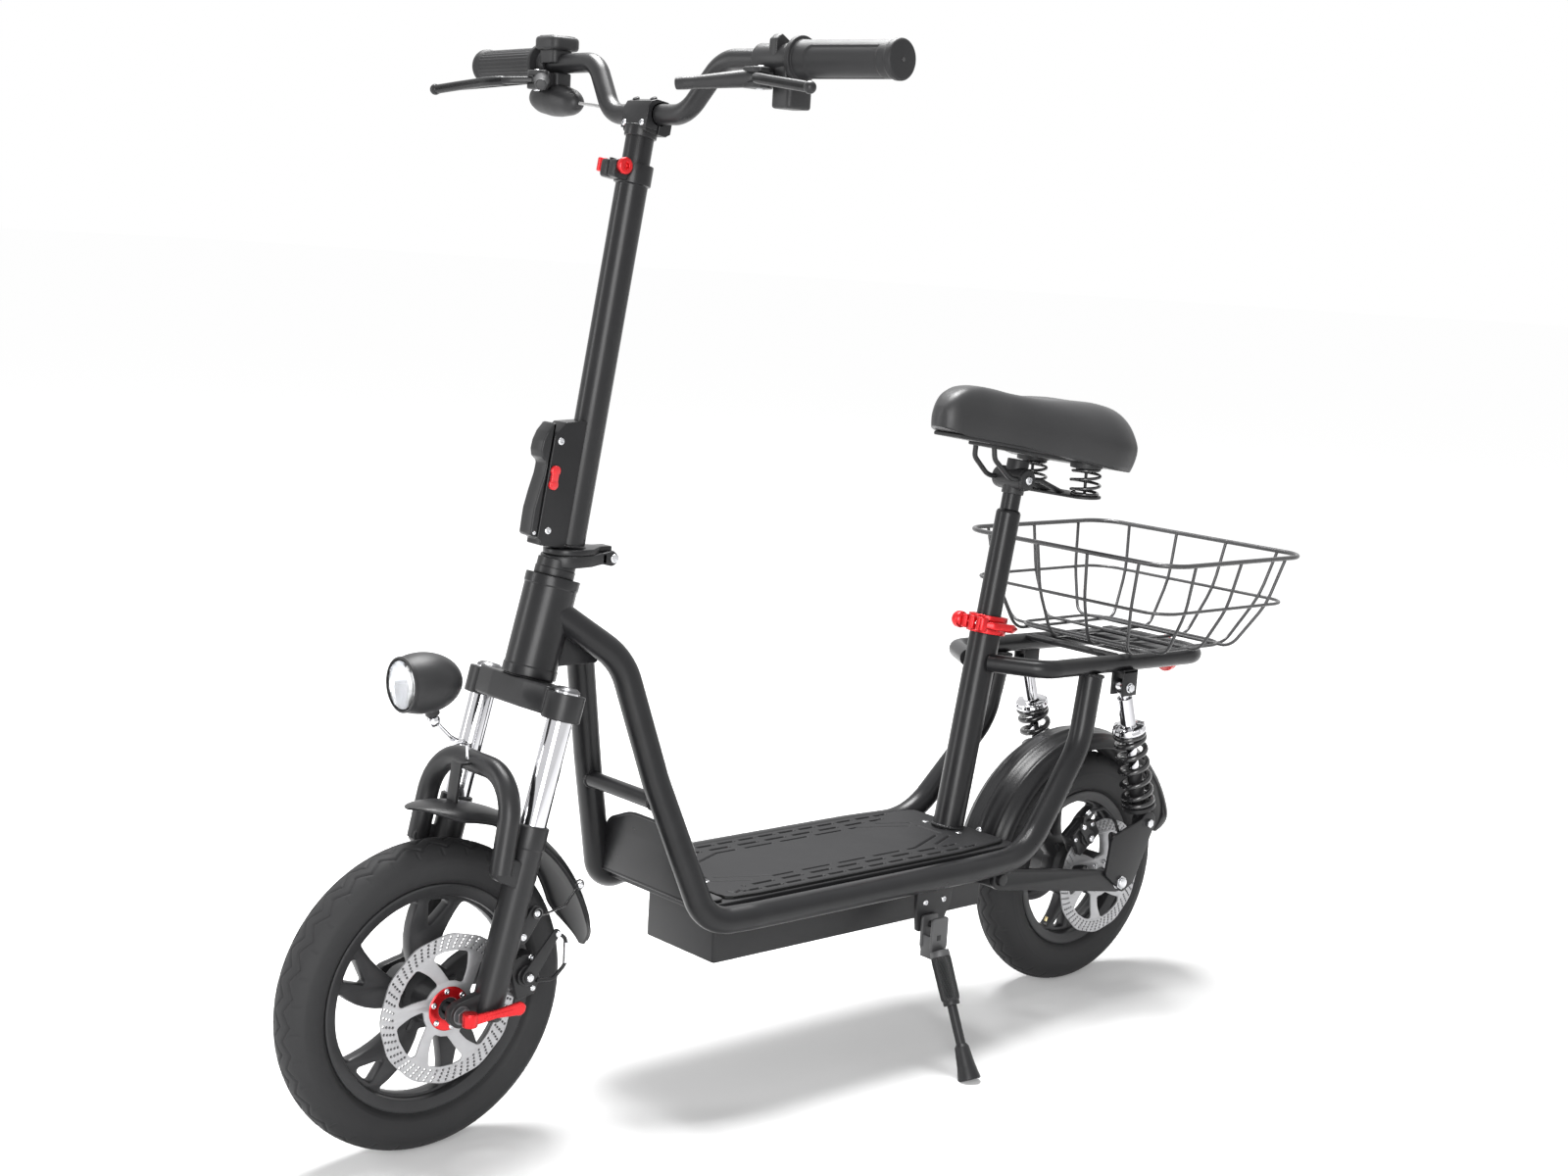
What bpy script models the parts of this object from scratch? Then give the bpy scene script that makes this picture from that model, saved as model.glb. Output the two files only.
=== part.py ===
"""Folding electric scooter with a sprung saddle and a basket. Metres, +Z up, the front wheel toward -Y."""

import math

import bmesh
import bpy
from mathutils import Matrix, Quaternion, Vector

# Driving dimensions in metres
WHEELBASE = 1.055
FRONT_RADIUS = 0.175
REAR_RADIUS = 0.165
FRONT_AXLE_Y = -0.559
RAKE = math.atan(0.2586)
STEM_SLOPE = math.atan(0.162)
SEAT_SLOPE = math.atan(0.169)
LEG_X = 0.074
RAIL_RADIUS = 0.016
RACK_RADIUS = 0.012
SEAT_TUBE_RADIUS = 0.0207
SEAT_POST_RADIUS = 0.0165
STEM_RADIUS = 0.0178
STEM_BORE = 0.016
STANCHION_RADIUS = 0.0145
LOWER_RADIUS = 0.0175
AXLE_RADIUS = 0.006
BAR_RADIUS = 0.0112
ROTOR_THICKNESS = 0.002
DECK_TOP = 0.2495
CABLE_RADIUS = 0.0022
LEAD_RADIUS = 0.0018
GAP = 0.0003
SLIDE = 0.0003

# Directions and places that many pieces share
UP = Vector((0, 0, 1))
LEFT = Vector((1, 0, 0))
BACK = Vector((0, 1, 0))
STEER = Vector((0, math.sin(RAKE), math.cos(RAKE)))
STEM = Vector((0, math.sin(STEM_SLOPE), math.cos(STEM_SLOPE)))
STEM_FRONT = Vector((0, -math.cos(STEM_SLOPE), math.sin(STEM_SLOPE)))
SEAT = Vector((0, math.sin(SEAT_SLOPE), math.cos(SEAT_SLOPE)))
SEAT_BACK = SEAT.cross(LEFT)


def at(x, y, z):
    """The point x to the rider's left, y behind the front axle and z above the ground."""
    return Vector((x, y + FRONT_AXLE_Y, z))


STEER_POINT = at(0, 0.1228, 0.513)
STEM_FOOT = at(0, 0.1708, 0.660)
SEAT_FOOT = at(0, 0.811, 0.252)
FRONT_AXLE = at(0, 0, FRONT_RADIUS)
REAR_AXLE = at(0, WHEELBASE, REAR_RADIUS)
FOLD_PIN = at(0, 0.224, 0.646)
SWING_PIVOT = at(0, 0.815, 0.205)
SHOCK_TOP = at(0, 1.040, 0.440)
SHOCK_FOOT = at(0, 1.104, 0.243)
SHOCK_X = 0.090
BAR_CENTRE = at(0, 0.253, 1.133)
BAR_BEND = at(0.112, 0.2635, 1.191)
BAR_TIP = at(0.359, 0.2825, 1.190)
LEVER_LEVEL = 1.170
STAND_PIVOT = at(0.125, 0.666, 0.176)
STAND_FOOT = at(0.213, 0.660, 0.0)
STAND = (STAND_FOOT - STAND_PIVOT).normalized()
SPRING_X = 0.048
SPRING_Y = 0.975
SPRING_FOOT = 0.698
SPRING_TOP = 0.7345
SADDLE_SLOPE = -0.144
COLLAR_HEIGHT = 0.413
CLAMP_BOLT = 0.0262


def clear_scene():
    """Removes the startup objects."""
    for obj in list(bpy.data.objects):
        bpy.data.objects.remove(obj)


def new_collection(name):
    """A collection linked to the scene."""
    collection = bpy.data.collections.new(name)
    bpy.context.scene.collection.children.link(collection)
    return collection


clear_scene()
PARTS = new_collection("electric_scooter")
CUTTERS = new_collection("cutters")


def finish(name, colour, metallic, roughness):
    """A Principled material."""
    material = bpy.data.materials.new(name)
    material.use_nodes = True
    shader = material.node_tree.nodes["Principled BSDF"]
    shader.inputs["Base Color"].default_value = (*colour, 1)
    shader.inputs["Metallic"].default_value = metallic
    shader.inputs["Roughness"].default_value = roughness
    return material


FRAME_PAINT = finish("frame_paint", (0.018, 0.018, 0.019), 0.0, 0.38)
CAST_BLACK = finish("cast_black", (0.022, 0.022, 0.023), 0.2, 0.45)
MOULDED_BLACK = finish("moulded_black", (0.020, 0.020, 0.021), 0.0, 0.5)
CHROME = finish("chrome", (0.75, 0.75, 0.77), 1.0, 0.08)
STEEL = finish("steel", (0.55, 0.55, 0.57), 1.0, 0.28)
RED_METAL = finish("red_metal", (0.62, 0.015, 0.02), 0.6, 0.25)
RED_PLASTIC = finish("red_plastic", (0.65, 0.01, 0.015), 0.0, 0.3)
TYRE_RUBBER = finish("tyre_rubber", (0.020, 0.020, 0.021), 0.0, 0.75)
GRIP_RUBBER = finish("grip_rubber", (0.022, 0.022, 0.023), 0.0, 0.65)
MAT_RUBBER = finish("mat_rubber", (0.060, 0.060, 0.062), 0.0, 0.7)
VINYL = finish("vinyl", (0.017, 0.017, 0.018), 0.0, 0.45)
LENS = finish("lens", (0.85, 0.85, 0.88), 0.0, 0.05)
SPRING_PAINT = finish("spring_paint", (0.012, 0.012, 0.013), 0.3, 0.2)


def place(name, mesh, material=None):
    """An object for the mesh, among the parts."""
    obj = bpy.data.objects.new(name, mesh)
    PARTS.objects.link(obj)
    if material:
        mesh.materials.append(material)
    return obj


def tool(obj):
    """Hides a piece that only cuts or joins another one."""
    PARTS.objects.unlink(obj)
    CUTTERS.objects.link(obj)
    obj.hide_render = True
    obj.display_type = "WIRE"
    return obj


def combine(obj, operation, others):
    """Adds a Boolean for each of the other pieces."""
    for other in others:
        if other.name in PARTS.objects:
            tool(other)
        modifier = obj.modifiers.new(operation.title(), "BOOLEAN")
        modifier.operation = operation
        modifier.solver = "EXACT"
        modifier.object = other
    return obj


def join(obj, *others):
    """Unites the other pieces with the object."""
    return combine(obj, "UNION", others)


def cut(obj, *others):
    """Cuts the other pieces out of the object."""
    return combine(obj, "DIFFERENCE", others)


def smooth(mesh, degrees=35):
    """Smooth shading that breaks at sharp edges."""
    mesh.shade_smooth()
    mesh.set_sharp_from_angle(angle=math.radians(degrees))


def pivot(obj, point):
    """Moves the object's origin onto its joint and leaves its shape where it is."""
    obj.data.transform(Matrix.Translation(-point))
    obj.location = point
    return obj


def hang(name, point, *pieces):
    """Parents pieces to an empty on their joint and leaves them where they are."""
    empty = bpy.data.objects.new(name, None)
    PARTS.objects.link(empty)
    empty.location = point
    for piece in pieces:
        piece.parent = empty
        piece.matrix_parent_inverse = Matrix.Translation(-point)
    return empty


def basis(origin, x_axis, y_axis):
    """A frame with the given origin and the first two axes."""
    z_axis = x_axis.cross(y_axis)
    frame = Matrix((x_axis, y_axis, z_axis)).transposed().to_4x4()
    frame.translation = origin
    return frame


def along(origin, axis):
    """A frame whose Z axis points along the axis, with its Y axis as near BACK as it can be."""
    z_axis = axis.normalized()
    side = BACK if abs(z_axis.dot(BACK)) < 0.9 else LEFT
    x_axis = side.cross(z_axis).normalized()
    return basis(origin, x_axis, z_axis.cross(x_axis))


def box(name, low, high, material=None, frame=None):
    """A box between two corners of the given frame."""
    bm = bmesh.new()
    middle = (low + high) / 2
    bmesh.ops.create_cube(
        bm, size=1, matrix=Matrix.Translation(middle) @ Matrix.Diagonal((*(high - low), 1)),
    )
    if frame:
        bm.transform(frame)
    mesh = bpy.data.meshes.new(name)
    bm.to_mesh(mesh)
    bm.free()
    return place(name, mesh, material)


def rod(name, start, end, radius, material=None, end_radius=None, sides=12):
    """A round bar or a cone between two points."""
    axis = end - start
    bm = bmesh.new()
    bmesh.ops.create_cone(
        bm, cap_ends=True, segments=sides, radius1=radius,
        radius2=radius if end_radius is None else end_radius,
        depth=axis.length, matrix=along((start + end) / 2, axis),
    )
    mesh = bpy.data.meshes.new(name)
    bm.to_mesh(mesh)
    bm.free()
    smooth(mesh)
    return place(name, mesh, material)


def ball(name, centre, radius, material=None, segments=16, rings=10):
    """A sphere."""
    bm = bmesh.new()
    bmesh.ops.create_uvsphere(
        bm, u_segments=segments, v_segments=rings, radius=radius, matrix=Matrix.Translation(centre)
    )
    mesh = bpy.data.meshes.new(name)
    bm.to_mesh(mesh)
    bm.free()
    smooth(mesh)
    return place(name, mesh, material)


def curve_mesh(name, curve):
    """The curve as one closed mesh."""
    guide = bpy.data.objects.new(name + "_guide", curve)
    bpy.context.scene.collection.objects.link(guide)
    mesh = bpy.data.meshes.new_from_object(guide.evaluated_get(bpy.context.evaluated_depsgraph_get()))
    bpy.data.objects.remove(guide)
    bm = bmesh.new()
    bm.from_mesh(mesh)
    bmesh.ops.remove_doubles(bm, verts=bm.verts, dist=0.00001)
    bmesh.ops.recalc_face_normals(bm, faces=bm.faces)
    bm.to_mesh(mesh)
    bm.free()
    mesh.materials.clear()
    smooth(mesh)
    return mesh


def tube(name, path, radius, material=None, closed=False, fineness=3):
    """A round tube, solid through, along the path; it has 4 sides and 2 more for each step of fineness."""
    curve = bpy.data.curves.new(name, "CURVE")
    curve.dimensions = "3D"
    curve.bevel_depth = radius
    curve.bevel_resolution = fineness
    curve.use_fill_caps = True
    spline = curve.splines.new("POLY")
    spline.points.add(len(path) - 1)
    for point, place_on_path in zip(spline.points, path):
        point.co = (*place_on_path, 1)
    spline.use_cyclic_u = closed
    return place(name, curve_mesh(name, curve), material)


def plate(name, outlines, thickness, frame, material=None):
    """A flat plate, centred on the frame's XY plane: the first outline, less the others."""
    curve = bpy.data.curves.new(name, "CURVE")
    curve.dimensions = "2D"
    curve.fill_mode = "BOTH"
    curve.extrude = thickness / 2
    for outline in outlines:
        spline = curve.splines.new("POLY")
        spline.points.add(len(outline) - 1)
        for point, corner in zip(spline.points, outline):
            point.co = (corner[0], corner[1], 0, 1)
        spline.use_cyclic_u = True
    mesh = curve_mesh(name, curve)
    mesh.transform(frame)
    return place(name, mesh, material)


def lathe(name, profile, frame, material=None, steps=20, turn=0.0, sweep=math.tau, closed=True):
    """Turns a profile of (radius, height) points, outer side top to bottom, round the frame's Z axis."""
    count = len(profile)
    edges = [(index, (index + 1) % count) for index in range(count if closed else count - 1)]
    mesh = bpy.data.meshes.new(name)
    mesh.from_pydata([(radius, 0, height) for radius, height in profile], edges, [])
    obj = place(name, mesh, material)
    obj.matrix_world = frame @ Matrix.Rotation(turn, 4, "Z")
    screw = obj.modifiers.new("Screw", "SCREW")
    screw.angle = sweep
    screw.steps = steps
    screw.render_steps = steps
    screw.use_merge_vertices = True
    screw.merge_threshold = 0.00001
    return obj


def arc(centre, radius, start, end, count):
    """Points of an arc in the XY plane, angles in degrees."""
    points = []
    for index in range(count + 1):
        angle = math.radians(start + (end - start) * index / count)
        points.append((centre[0] + radius * math.cos(angle), centre[1] + radius * math.sin(angle)))
    return points


def bend(corners, radii, step=20, closed=False):
    """A path through the corners, with each of them rounded by an arc of its radius."""
    if closed:
        corners = [corners[-1], *corners, corners[0]]
    path = [] if closed else [corners[0]]
    for before, corner, after, radius in zip(corners, corners[1:], corners[2:], radii):
        if not radius:
            path.append(corner)
            continue
        inward = (before - corner).normalized()
        outward = (after - corner).normalized()
        half = inward.angle(outward) / 2
        sweep = math.pi - 2 * half
        centre = corner + (inward + outward).normalized() * radius / math.sin(half)
        first = corner + inward * radius / math.tan(half) - centre
        last = corner + outward * radius / math.tan(half) - centre
        axis = first.cross(last)
        count = max(1, math.ceil(math.degrees(sweep) / step))
        for index in range(count + 1):
            path.append(centre + Quaternion(axis, sweep * index / count) @ first)
    if not closed:
        path.append(corners[-1])
    return path


def flat(corners, radii, step=30):
    """A closed outline in the XY plane with rounded corners."""
    path = bend([Vector((x, y, 0)) for x, y in corners], radii, step, closed=True)
    return [(point.x, point.y) for point in path]


def capsule(first, second, first_radius, second_radius, count=4):
    """The outline round two circles."""
    across = Vector(second) - Vector(first)
    lean = math.degrees(math.atan2(across.y, across.x))
    open_by = math.degrees(math.asin((first_radius - second_radius) / across.length))
    half = 90 - open_by
    return [
        *arc(first, first_radius, lean + half, lean + 360 - half, count),
        *arc(second, second_radius, lean - half, lean + half, count),
    ]


def mirror_x(point):
    """The point's mirror image on the rider's right."""
    return Vector((-point.x, point.y, point.z))


def on_side(point, side):
    """The point itself on the left, its mirror image on the right."""
    return point if side > 0 else mirror_x(point)


SIDES = (("left", 1), ("right", -1))
# Plates that stand lengthwise are drawn in (y, z) and thickened across the scooter
LENGTHWISE = basis(Vector((0, FRONT_AXLE_Y, 0)), BACK, UP)


def lengthwise(x):
    """The frame of a lengthwise plate whose middle is at x."""
    return Matrix.Translation((x, 0, 0)) @ LENGTHWISE


def level_at(z):
    """The frame of a level plate whose middle is at height z, drawn in (x, y)."""
    return Matrix.Translation((0, FRONT_AXLE_Y, z))


def rail_path(side):
    """The middle line of a frame rail from the head tube to the rack."""
    corners = [
        at(0.012, 0.140, 0.596),
        at(0.040, 0.222, 0.536),
        at(0.065, 0.259, 0.397),
        at(0.103, 0.313, 0.231),
        at(0.116, 0.372, 0.234),
        at(0.116, 0.740, 0.234),
        at(0.107, 0.846, 0.234),
        at(0.088, 0.961, 0.367),
        at(0.0835, 0.980, 0.466),
    ]
    path = bend(corners, [0.09, 0, 0.042, 0, 0, 0.095, 0.095], 24)
    return [on_side(point, side) for point in path]


def rack_path():
    """The middle line of the rack's tube, from one side of the seat tube round to the other."""
    left = [at(0.012, 0.846, 0.4755), at(0.085, 0.889, 0.4745), at(0.080, 1.224, 0.468)]
    return bend(left + [mirror_x(point) for point in reversed(left)], [0.035, 0.040, 0.040, 0.035])


def make_guides():
    """Slightly fatter copies of the main tubes, which cut their neighbours clear of them."""
    rails = [tool(tube(f"cut_rail_{name}", rail_path(side), RAIL_RADIUS + GAP)) for name, side in SIDES]
    rack = tool(tube("cut_rack", rack_path(), RACK_RADIUS + GAP, fineness=2))
    head = tool(rod("cut_head", STEER_POINT, STEER_POINT + STEER * 0.125, 0.0305 + GAP, sides=20))
    seat = tool(
        rod("cut_seat", SEAT_FOOT - SEAT * 0.02, SEAT_FOOT + SEAT * 0.3, SEAT_TUBE_RADIUS + GAP, sides=20)
    )
    return {"rails": rails, "rack": rack, "head": head, "seat": seat}


def make_head_tube(guides):
    """The head tube with its bore, and the folded gusset under the rails' start."""
    radius = 0.0305
    bottom = 0.0063
    top = 0.119
    bore = 0.0143
    outer = [
        (radius - 0.0015, top), (radius, top - 0.0015), (radius, bottom + 0.0015), (radius - 0.0015, bottom),
    ]
    tube_profile = [*outer, (bore, bottom), (bore, top)]
    head = lathe("head_tube", tube_profile, along(STEER_POINT, STEER), FRAME_PAINT)
    gusset = plate("join_gusset", [[(0.150, 0.585), (0.212, 0.530), (0.143, 0.530)]], 0.036, lengthwise(0))
    cut(gusset, *guides["rails"])
    join(head, gusset)
    cut(head, rod("cut_steerer", STEER_POINT, STEER_POINT + STEER * 0.125, bore, sides=20))


def make_rails(guides):
    """The two bent rails, coped to the head tube and to the rack."""
    for name, side in SIDES:
        rail = tube(f"frame_rail_{name}", rail_path(side), RAIL_RADIUS, FRAME_PAINT)
        cut(rail, guides["head"], guides["rack"])


def make_crossbar(guides):
    """The cross bar between the rails."""
    bar = rod("frame_crossbar", at(-0.066, 0.262, 0.372), at(0.066, 0.262, 0.372), 0.0095, FRAME_PAINT)
    cut(bar, *guides["rails"])


def make_nose_cover(guides):
    """The kick plate that rises from the deck between the rails, with a round top edge."""
    outline = [
        (-0.100, 0.250),
        (-0.070, 0.315),
        *arc((0, 0.273), 0.062, 140, 40, 8),
        (0.070, 0.315),
        (0.100, 0.250),
    ]
    lean = Vector((0, -0.06, 1)).normalized()
    frame = basis(at(0, 0.318, 0), LEFT, lean)
    cover = plate("nose_cover", [outline], 0.003, frame, FRAME_PAINT)
    foot = box("join_nose_foot", at(-0.097, 0.3005, 0.2505), at(0.097, 0.346, 0.2535))
    join(cover, foot)
    cut(cover, *guides["rails"])


def make_battery_box(guides):
    """The deck pan between the rails with the battery box under it and the swingarm's pivot pins."""
    case = box("battery_box", at(-0.065, 0.3595, 0.162), at(0.065, 0.815, 0.240), CAST_BLACK)
    pan = plate(
        "join_pan",
        [flat([(-0.0993, 0.318), (0.0993, 0.318), (0.0993, 0.842), (-0.0993, 0.842)], [0.01] * 4, 45)],
        0.0125, level_at(DECK_TOP - 0.00625),
    )
    cut(pan, *guides["rails"])
    pin = rod("join_pivot", SWING_PIVOT - LEFT * 0.1035, SWING_PIVOT + LEFT * 0.1035, 0.008)
    boss = rod("join_boss", SWING_PIVOT - LEFT * 0.0905, SWING_PIVOT + LEFT * 0.0905, 0.014)
    lug = box("join_lug", at(-0.030, 0.790, 0.191), at(0.030, 0.829, 0.219))
    join(case, pan, boss, pin, lug)


def make_deck_mat(guides):
    """The rubber mat on the deck, cut round the seat tube."""
    corners = [
        (-0.092, 0.350), (0.092, 0.350), (0.096, 0.400), (0.096, 0.740), (0.086, 0.832), (-0.086, 0.832),
    ]
    corners += [(-0.096, 0.740), (-0.096, 0.400)]
    thickness = 0.004
    mat = plate(
        "deck_mat", [flat(corners, [0.012, 0.012, 0.1, 0.1, 0.015, 0.015, 0.1, 0.1])], thickness,
        level_at(DECK_TOP + GAP + thickness / 2), MAT_RUBBER,
    )
    cut(mat, *guides["rails"], guides["seat"])


def make_seat_tube():
    """The seat tube on the deck, open at the top for the post."""
    seat_tube = rod(
        "seat_tube", SEAT_FOOT - SEAT * 0.012, SEAT_FOOT + SEAT * 0.287, SEAT_TUBE_RADIUS, FRAME_PAINT,
        sides=20,
    )
    ground = box("cut_deck", at(-0.05, 0.76, 0.20), at(0.05, 0.86, DECK_TOP + GAP))
    bore = rod(
        "cut_post", SEAT_FOOT + SEAT * 0.040, SEAT_FOOT + SEAT * 0.30, SEAT_POST_RADIUS + SLIDE, sides=20,
    )
    slot = box(
        "cut_tube_slot", Vector((-0.0012, -0.03, 0.245)), Vector((0.0012, 0, 0.30)), frame=basis(
            SEAT_FOOT, LEFT, SEAT_BACK,
        )
    )
    cut(seat_tube, ground, bore, slot)


def make_rack(guides):
    """The rack loop, its slats under the basket and the brackets that hold the shocks."""
    rack = tube("rear_rack", rack_path(), RACK_RADIUS, FRAME_PAINT, fineness=2)
    pieces = []
    for index, y in enumerate((1.030, 1.085, 1.140, 1.195)):
        pieces.append(box(f"join_slat_{index}", at(-0.078, y - 0.011, 0.4775), at(0.078, y + 0.011, 0.4835)))
    for name, side in SIDES:
        for part, low_x, high_x, bottom, top in (
            ("inner", 0.0785, 0.0825, 0.4285, 0.464), ("outer", 0.0975, 0.1010, 0.4285, 0.464),
            ("roof", 0.0785, 0.1010, 0.4575, 0.464),
        ):
            first = at(side * low_x, 1.026, bottom)
            second = at(side * high_x, 1.056, top)
            low = Vector((min(first.x, second.x), first.y, first.z))
            high = Vector((max(first.x, second.x), second.y, second.z))
            pieces.append(box(f"join_bracket_{part}_{name}", low, high))
        bolt_x = side * LEFT
        pieces.append(
            rod(f"join_bolt_{name}", SHOCK_TOP + bolt_x * 0.079, SHOCK_TOP + bolt_x * 0.103, 0.004, sides=8)
        )
        pieces.append(
            rod(
                f"join_bolt_head_{name}", SHOCK_TOP + bolt_x * 0.1005, SHOCK_TOP + bolt_x * 0.1055, 0.007,
                sides=6,
            )
        )
    join(rack, *pieces)
    cut(rack, guides["seat"])


def ring(half_x, front, back, z, corner):
    """A closed wire ring with rounded corners at height z."""
    corners = [at(-half_x, front, z), at(half_x, front, z), at(half_x, back, z), at(-half_x, back, z)]
    return bend(corners, [corner] * 4, 45, closed=True)


def make_basket():
    """The wire basket: a thick rim, two more rings and the bowed wires that run down, across and up again."""
    wire = 0.002
    rim = tube(
        "basket", ring(0.184, 1.000, 1.290, 0.620, 0.045), 0.003, FRAME_PAINT, closed=True, fineness=0,
    )
    pieces = [
        tube("join_middle_ring", ring(0.166, 1.010, 1.270, 0.558, 0.040), wire, closed=True, fineness=0),
        tube("join_low_ring", ring(0.122, 1.046, 1.218, 0.4913, 0.035), wire, closed=True, fineness=0),
    ]
    for index in range(4):
        share = (index - 1.5) / 1.5
        half = [
            at(
                0.135 * share, 1.000, 0.620,
            ), at(0.122 * share, 1.010, 0.558), at(0.102 * share, 1.026, 0.488),
        ]
        back = [
            at(
                0.102 * share, 1.238, 0.488,
            ), at(0.122 * share, 1.270, 0.558), at(0.135 * share, 1.290, 0.620),
        ]
        path = bend(half + back, [0, 0.024, 0.024, 0], 40)
        pieces.append(tube(f"join_long_wire_{index}", path, wire, fineness=0))
    for index in range(3):
        share = index - 1
        right = [
            at(-0.184, 1.145 + 0.095 * share, 0.620), at(-0.166, 1.140 + 0.085 * share, 0.558),
            at(-0.140, 1.132 + 0.070 * share, 0.4913),
        ]
        left = [mirror_x(point) for point in reversed(right)]
        path = bend(right + left, [0, 0.024, 0.024, 0], 40)
        pieces.append(tube(f"join_cross_wire_{index}", path, wire, fineness=0))
    join(rim, *pieces)


def make_reflector():
    """The round red reflector that hangs behind the rack's rear bar."""
    centre = at(0, 1.238, 0.444)
    lens = rod("rack_reflector", centre, centre + BACK * 0.010, 0.017, RED_PLASTIC, sides=20)
    tab = box("join_reflector_tab", at(-0.006, 1.2385, 0.452), at(0.006, 1.2415, 0.480))
    join(lens, tab)


def make_stand(guides):
    """The stand's bracket under the left rail, its arm with the ribbed sleeve, and the foot on its rod."""
    bracket = plate(
        "kickstand_bracket",
        [
            flat(
                [
                    (0.646, 0.224), (0.708, 0.224), (0.706, 0.196), (0.690, 0.166), (0.650, 0.166),
                    (0.646, 0.196),
                ],
                [0.004] * 6,
            )
        ],
        0.006, lengthwise(0.1115), CAST_BLACK,
    )
    cut(bracket, *guides["rails"])
    join(
        bracket,
        rod("join_stand_pin", STAND_PIVOT - LEFT * 0.0125, STAND_PIVOT + LEFT * 0.0135, 0.0045, sides=12),
    )
    arm = rod(
        "kickstand_arm", STAND_PIVOT + STAND * 0.030, STAND_PIVOT + STAND * 0.102, 0.0125, CAST_BLACK,
        0.0115,
    )
    knuckle = box("join_knuckle", at(0.1152, 0.652, 0.135), at(0.1382, 0.681, 0.189))
    bore = rod("cut_stand_bore", STAND_PIVOT + STAND * 0.050, STAND_PIVOT + STAND * 0.12, 0.0062 + SLIDE)
    pin = rod(
        "cut_stand_pin", STAND_PIVOT - LEFT * 0.012, STAND_PIVOT + LEFT * 0.0138, 0.0045 + SLIDE, sides=12,
    )
    join(arm, knuckle)
    cut(arm, bore, pin)
    pivot(arm, STAND_PIVOT)
    leg = rod("kickstand_foot", STAND_PIVOT + STAND * 0.088, STAND_PIVOT + STAND * 0.175, 0.0062, CAST_BLACK)
    shoe = rod("join_shoe", STAND_PIVOT + STAND * 0.152, STAND_PIVOT + STAND * 0.205, 0.0095, None, 0.0175)
    ground = box("cut_ground", at(0.15, 0.60, -0.05), at(0.28, 0.72, 0.0))
    join(leg, shoe)
    cut(leg, ground)


def seat_at(height):
    """The point of the seat tube's axis at a height above the ground."""
    return SEAT_FOOT + SEAT * ((height - SEAT_FOOT.z) / SEAT.z)


def make_seat_clamp():
    """The red collar at the top of the seat tube and its quick release lever."""
    middle = seat_at(0.524)
    frame = basis(middle, LEFT, SEAT_BACK)
    inner = SEAT_TUBE_RADIUS + GAP
    outer = 0.0262
    half = 0.012
    profile = [(outer - 0.001, half), (outer, half - 0.001), (outer, 0.001 - half), (outer - 0.001, -half)]
    collar = lathe("seat_collar", [*profile, (inner, -half), (inner, half)], frame, RED_METAL)
    ears = box("join_ears", Vector((-0.011, -0.040, -0.009)), Vector((0.011, -0.023, 0.009)), frame=frame)
    slot = box("cut_ear_slot", Vector((-0.0012, -0.05, -0.02)), Vector((0.0012, -0.015, 0.02)), frame=frame)
    bolt = rod(
        "join_ear_bolt", frame @ Vector((-0.013, -0.033, 0)), frame @ Vector((0.013, -0.033, 0)), 0.003,
        sides=8,
    )
    join(collar, ears)
    cut(collar, slot)
    join(collar, bolt)
    barrel_centre = frame @ Vector((0.0215, -0.033, 0))
    lever = rod(
        "seat_lever", barrel_centre - SEAT * 0.009, barrel_centre + SEAT * 0.009, 0.008, RED_METAL, sides=12,
    )
    outline = [
        Vector(
            (0.0215, -0.033, 0)
        ), Vector((0.036, -0.022, 0)), Vector((0.039, 0.004, 0)), Vector((0.030, 0.028, 0)),
    ]
    path = [frame @ point for point in bend(outline, [0.012, 0.03], 35)]
    arm = tube("join_seat_arm", path, 0.0042, fineness=1)
    join(lever, arm)
    pivot(lever, barrel_centre)


def make_seat_post():
    """The seat post with its stepped top."""
    length = (0.700 - 0.400) / SEAT.z
    base = seat_at(0.400)
    step = (0.640 - 0.400) / SEAT.z
    profile = [
        (0, length), (0.0125, length), (0.0125, step + 0.006), (SEAT_POST_RADIUS, step),
        (SEAT_POST_RADIUS, 0.001), (SEAT_POST_RADIUS - 0.001, 0), (0, 0),
    ]
    lathe("seat_post", profile, along(base, SEAT), FRAME_PAINT, closed=False)


def saddle_bottom(y):
    """The height of the saddle's flat underside at y behind the front axle."""
    return 0.779 + SADDLE_SLOPE * (y - 0.745)


def saddle_width(y):
    """Half the saddle's width at y behind the front axle."""
    stations = [
        (0.735, 0.010), (0.750, 0.024), (0.790, 0.032), (0.850, 0.040), (0.900, 0.056), (0.950, 0.084),
        (0.995, 0.106), (1.028, 0.102), (1.044, 0.078),
    ]
    for (y0, w0), (y1, w1) in zip(stations, stations[1:]):
        if y <= y1:
            return w0 + (w1 - w0) * (y - y0) / (y1 - y0)
    return stations[-1][1]


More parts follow.
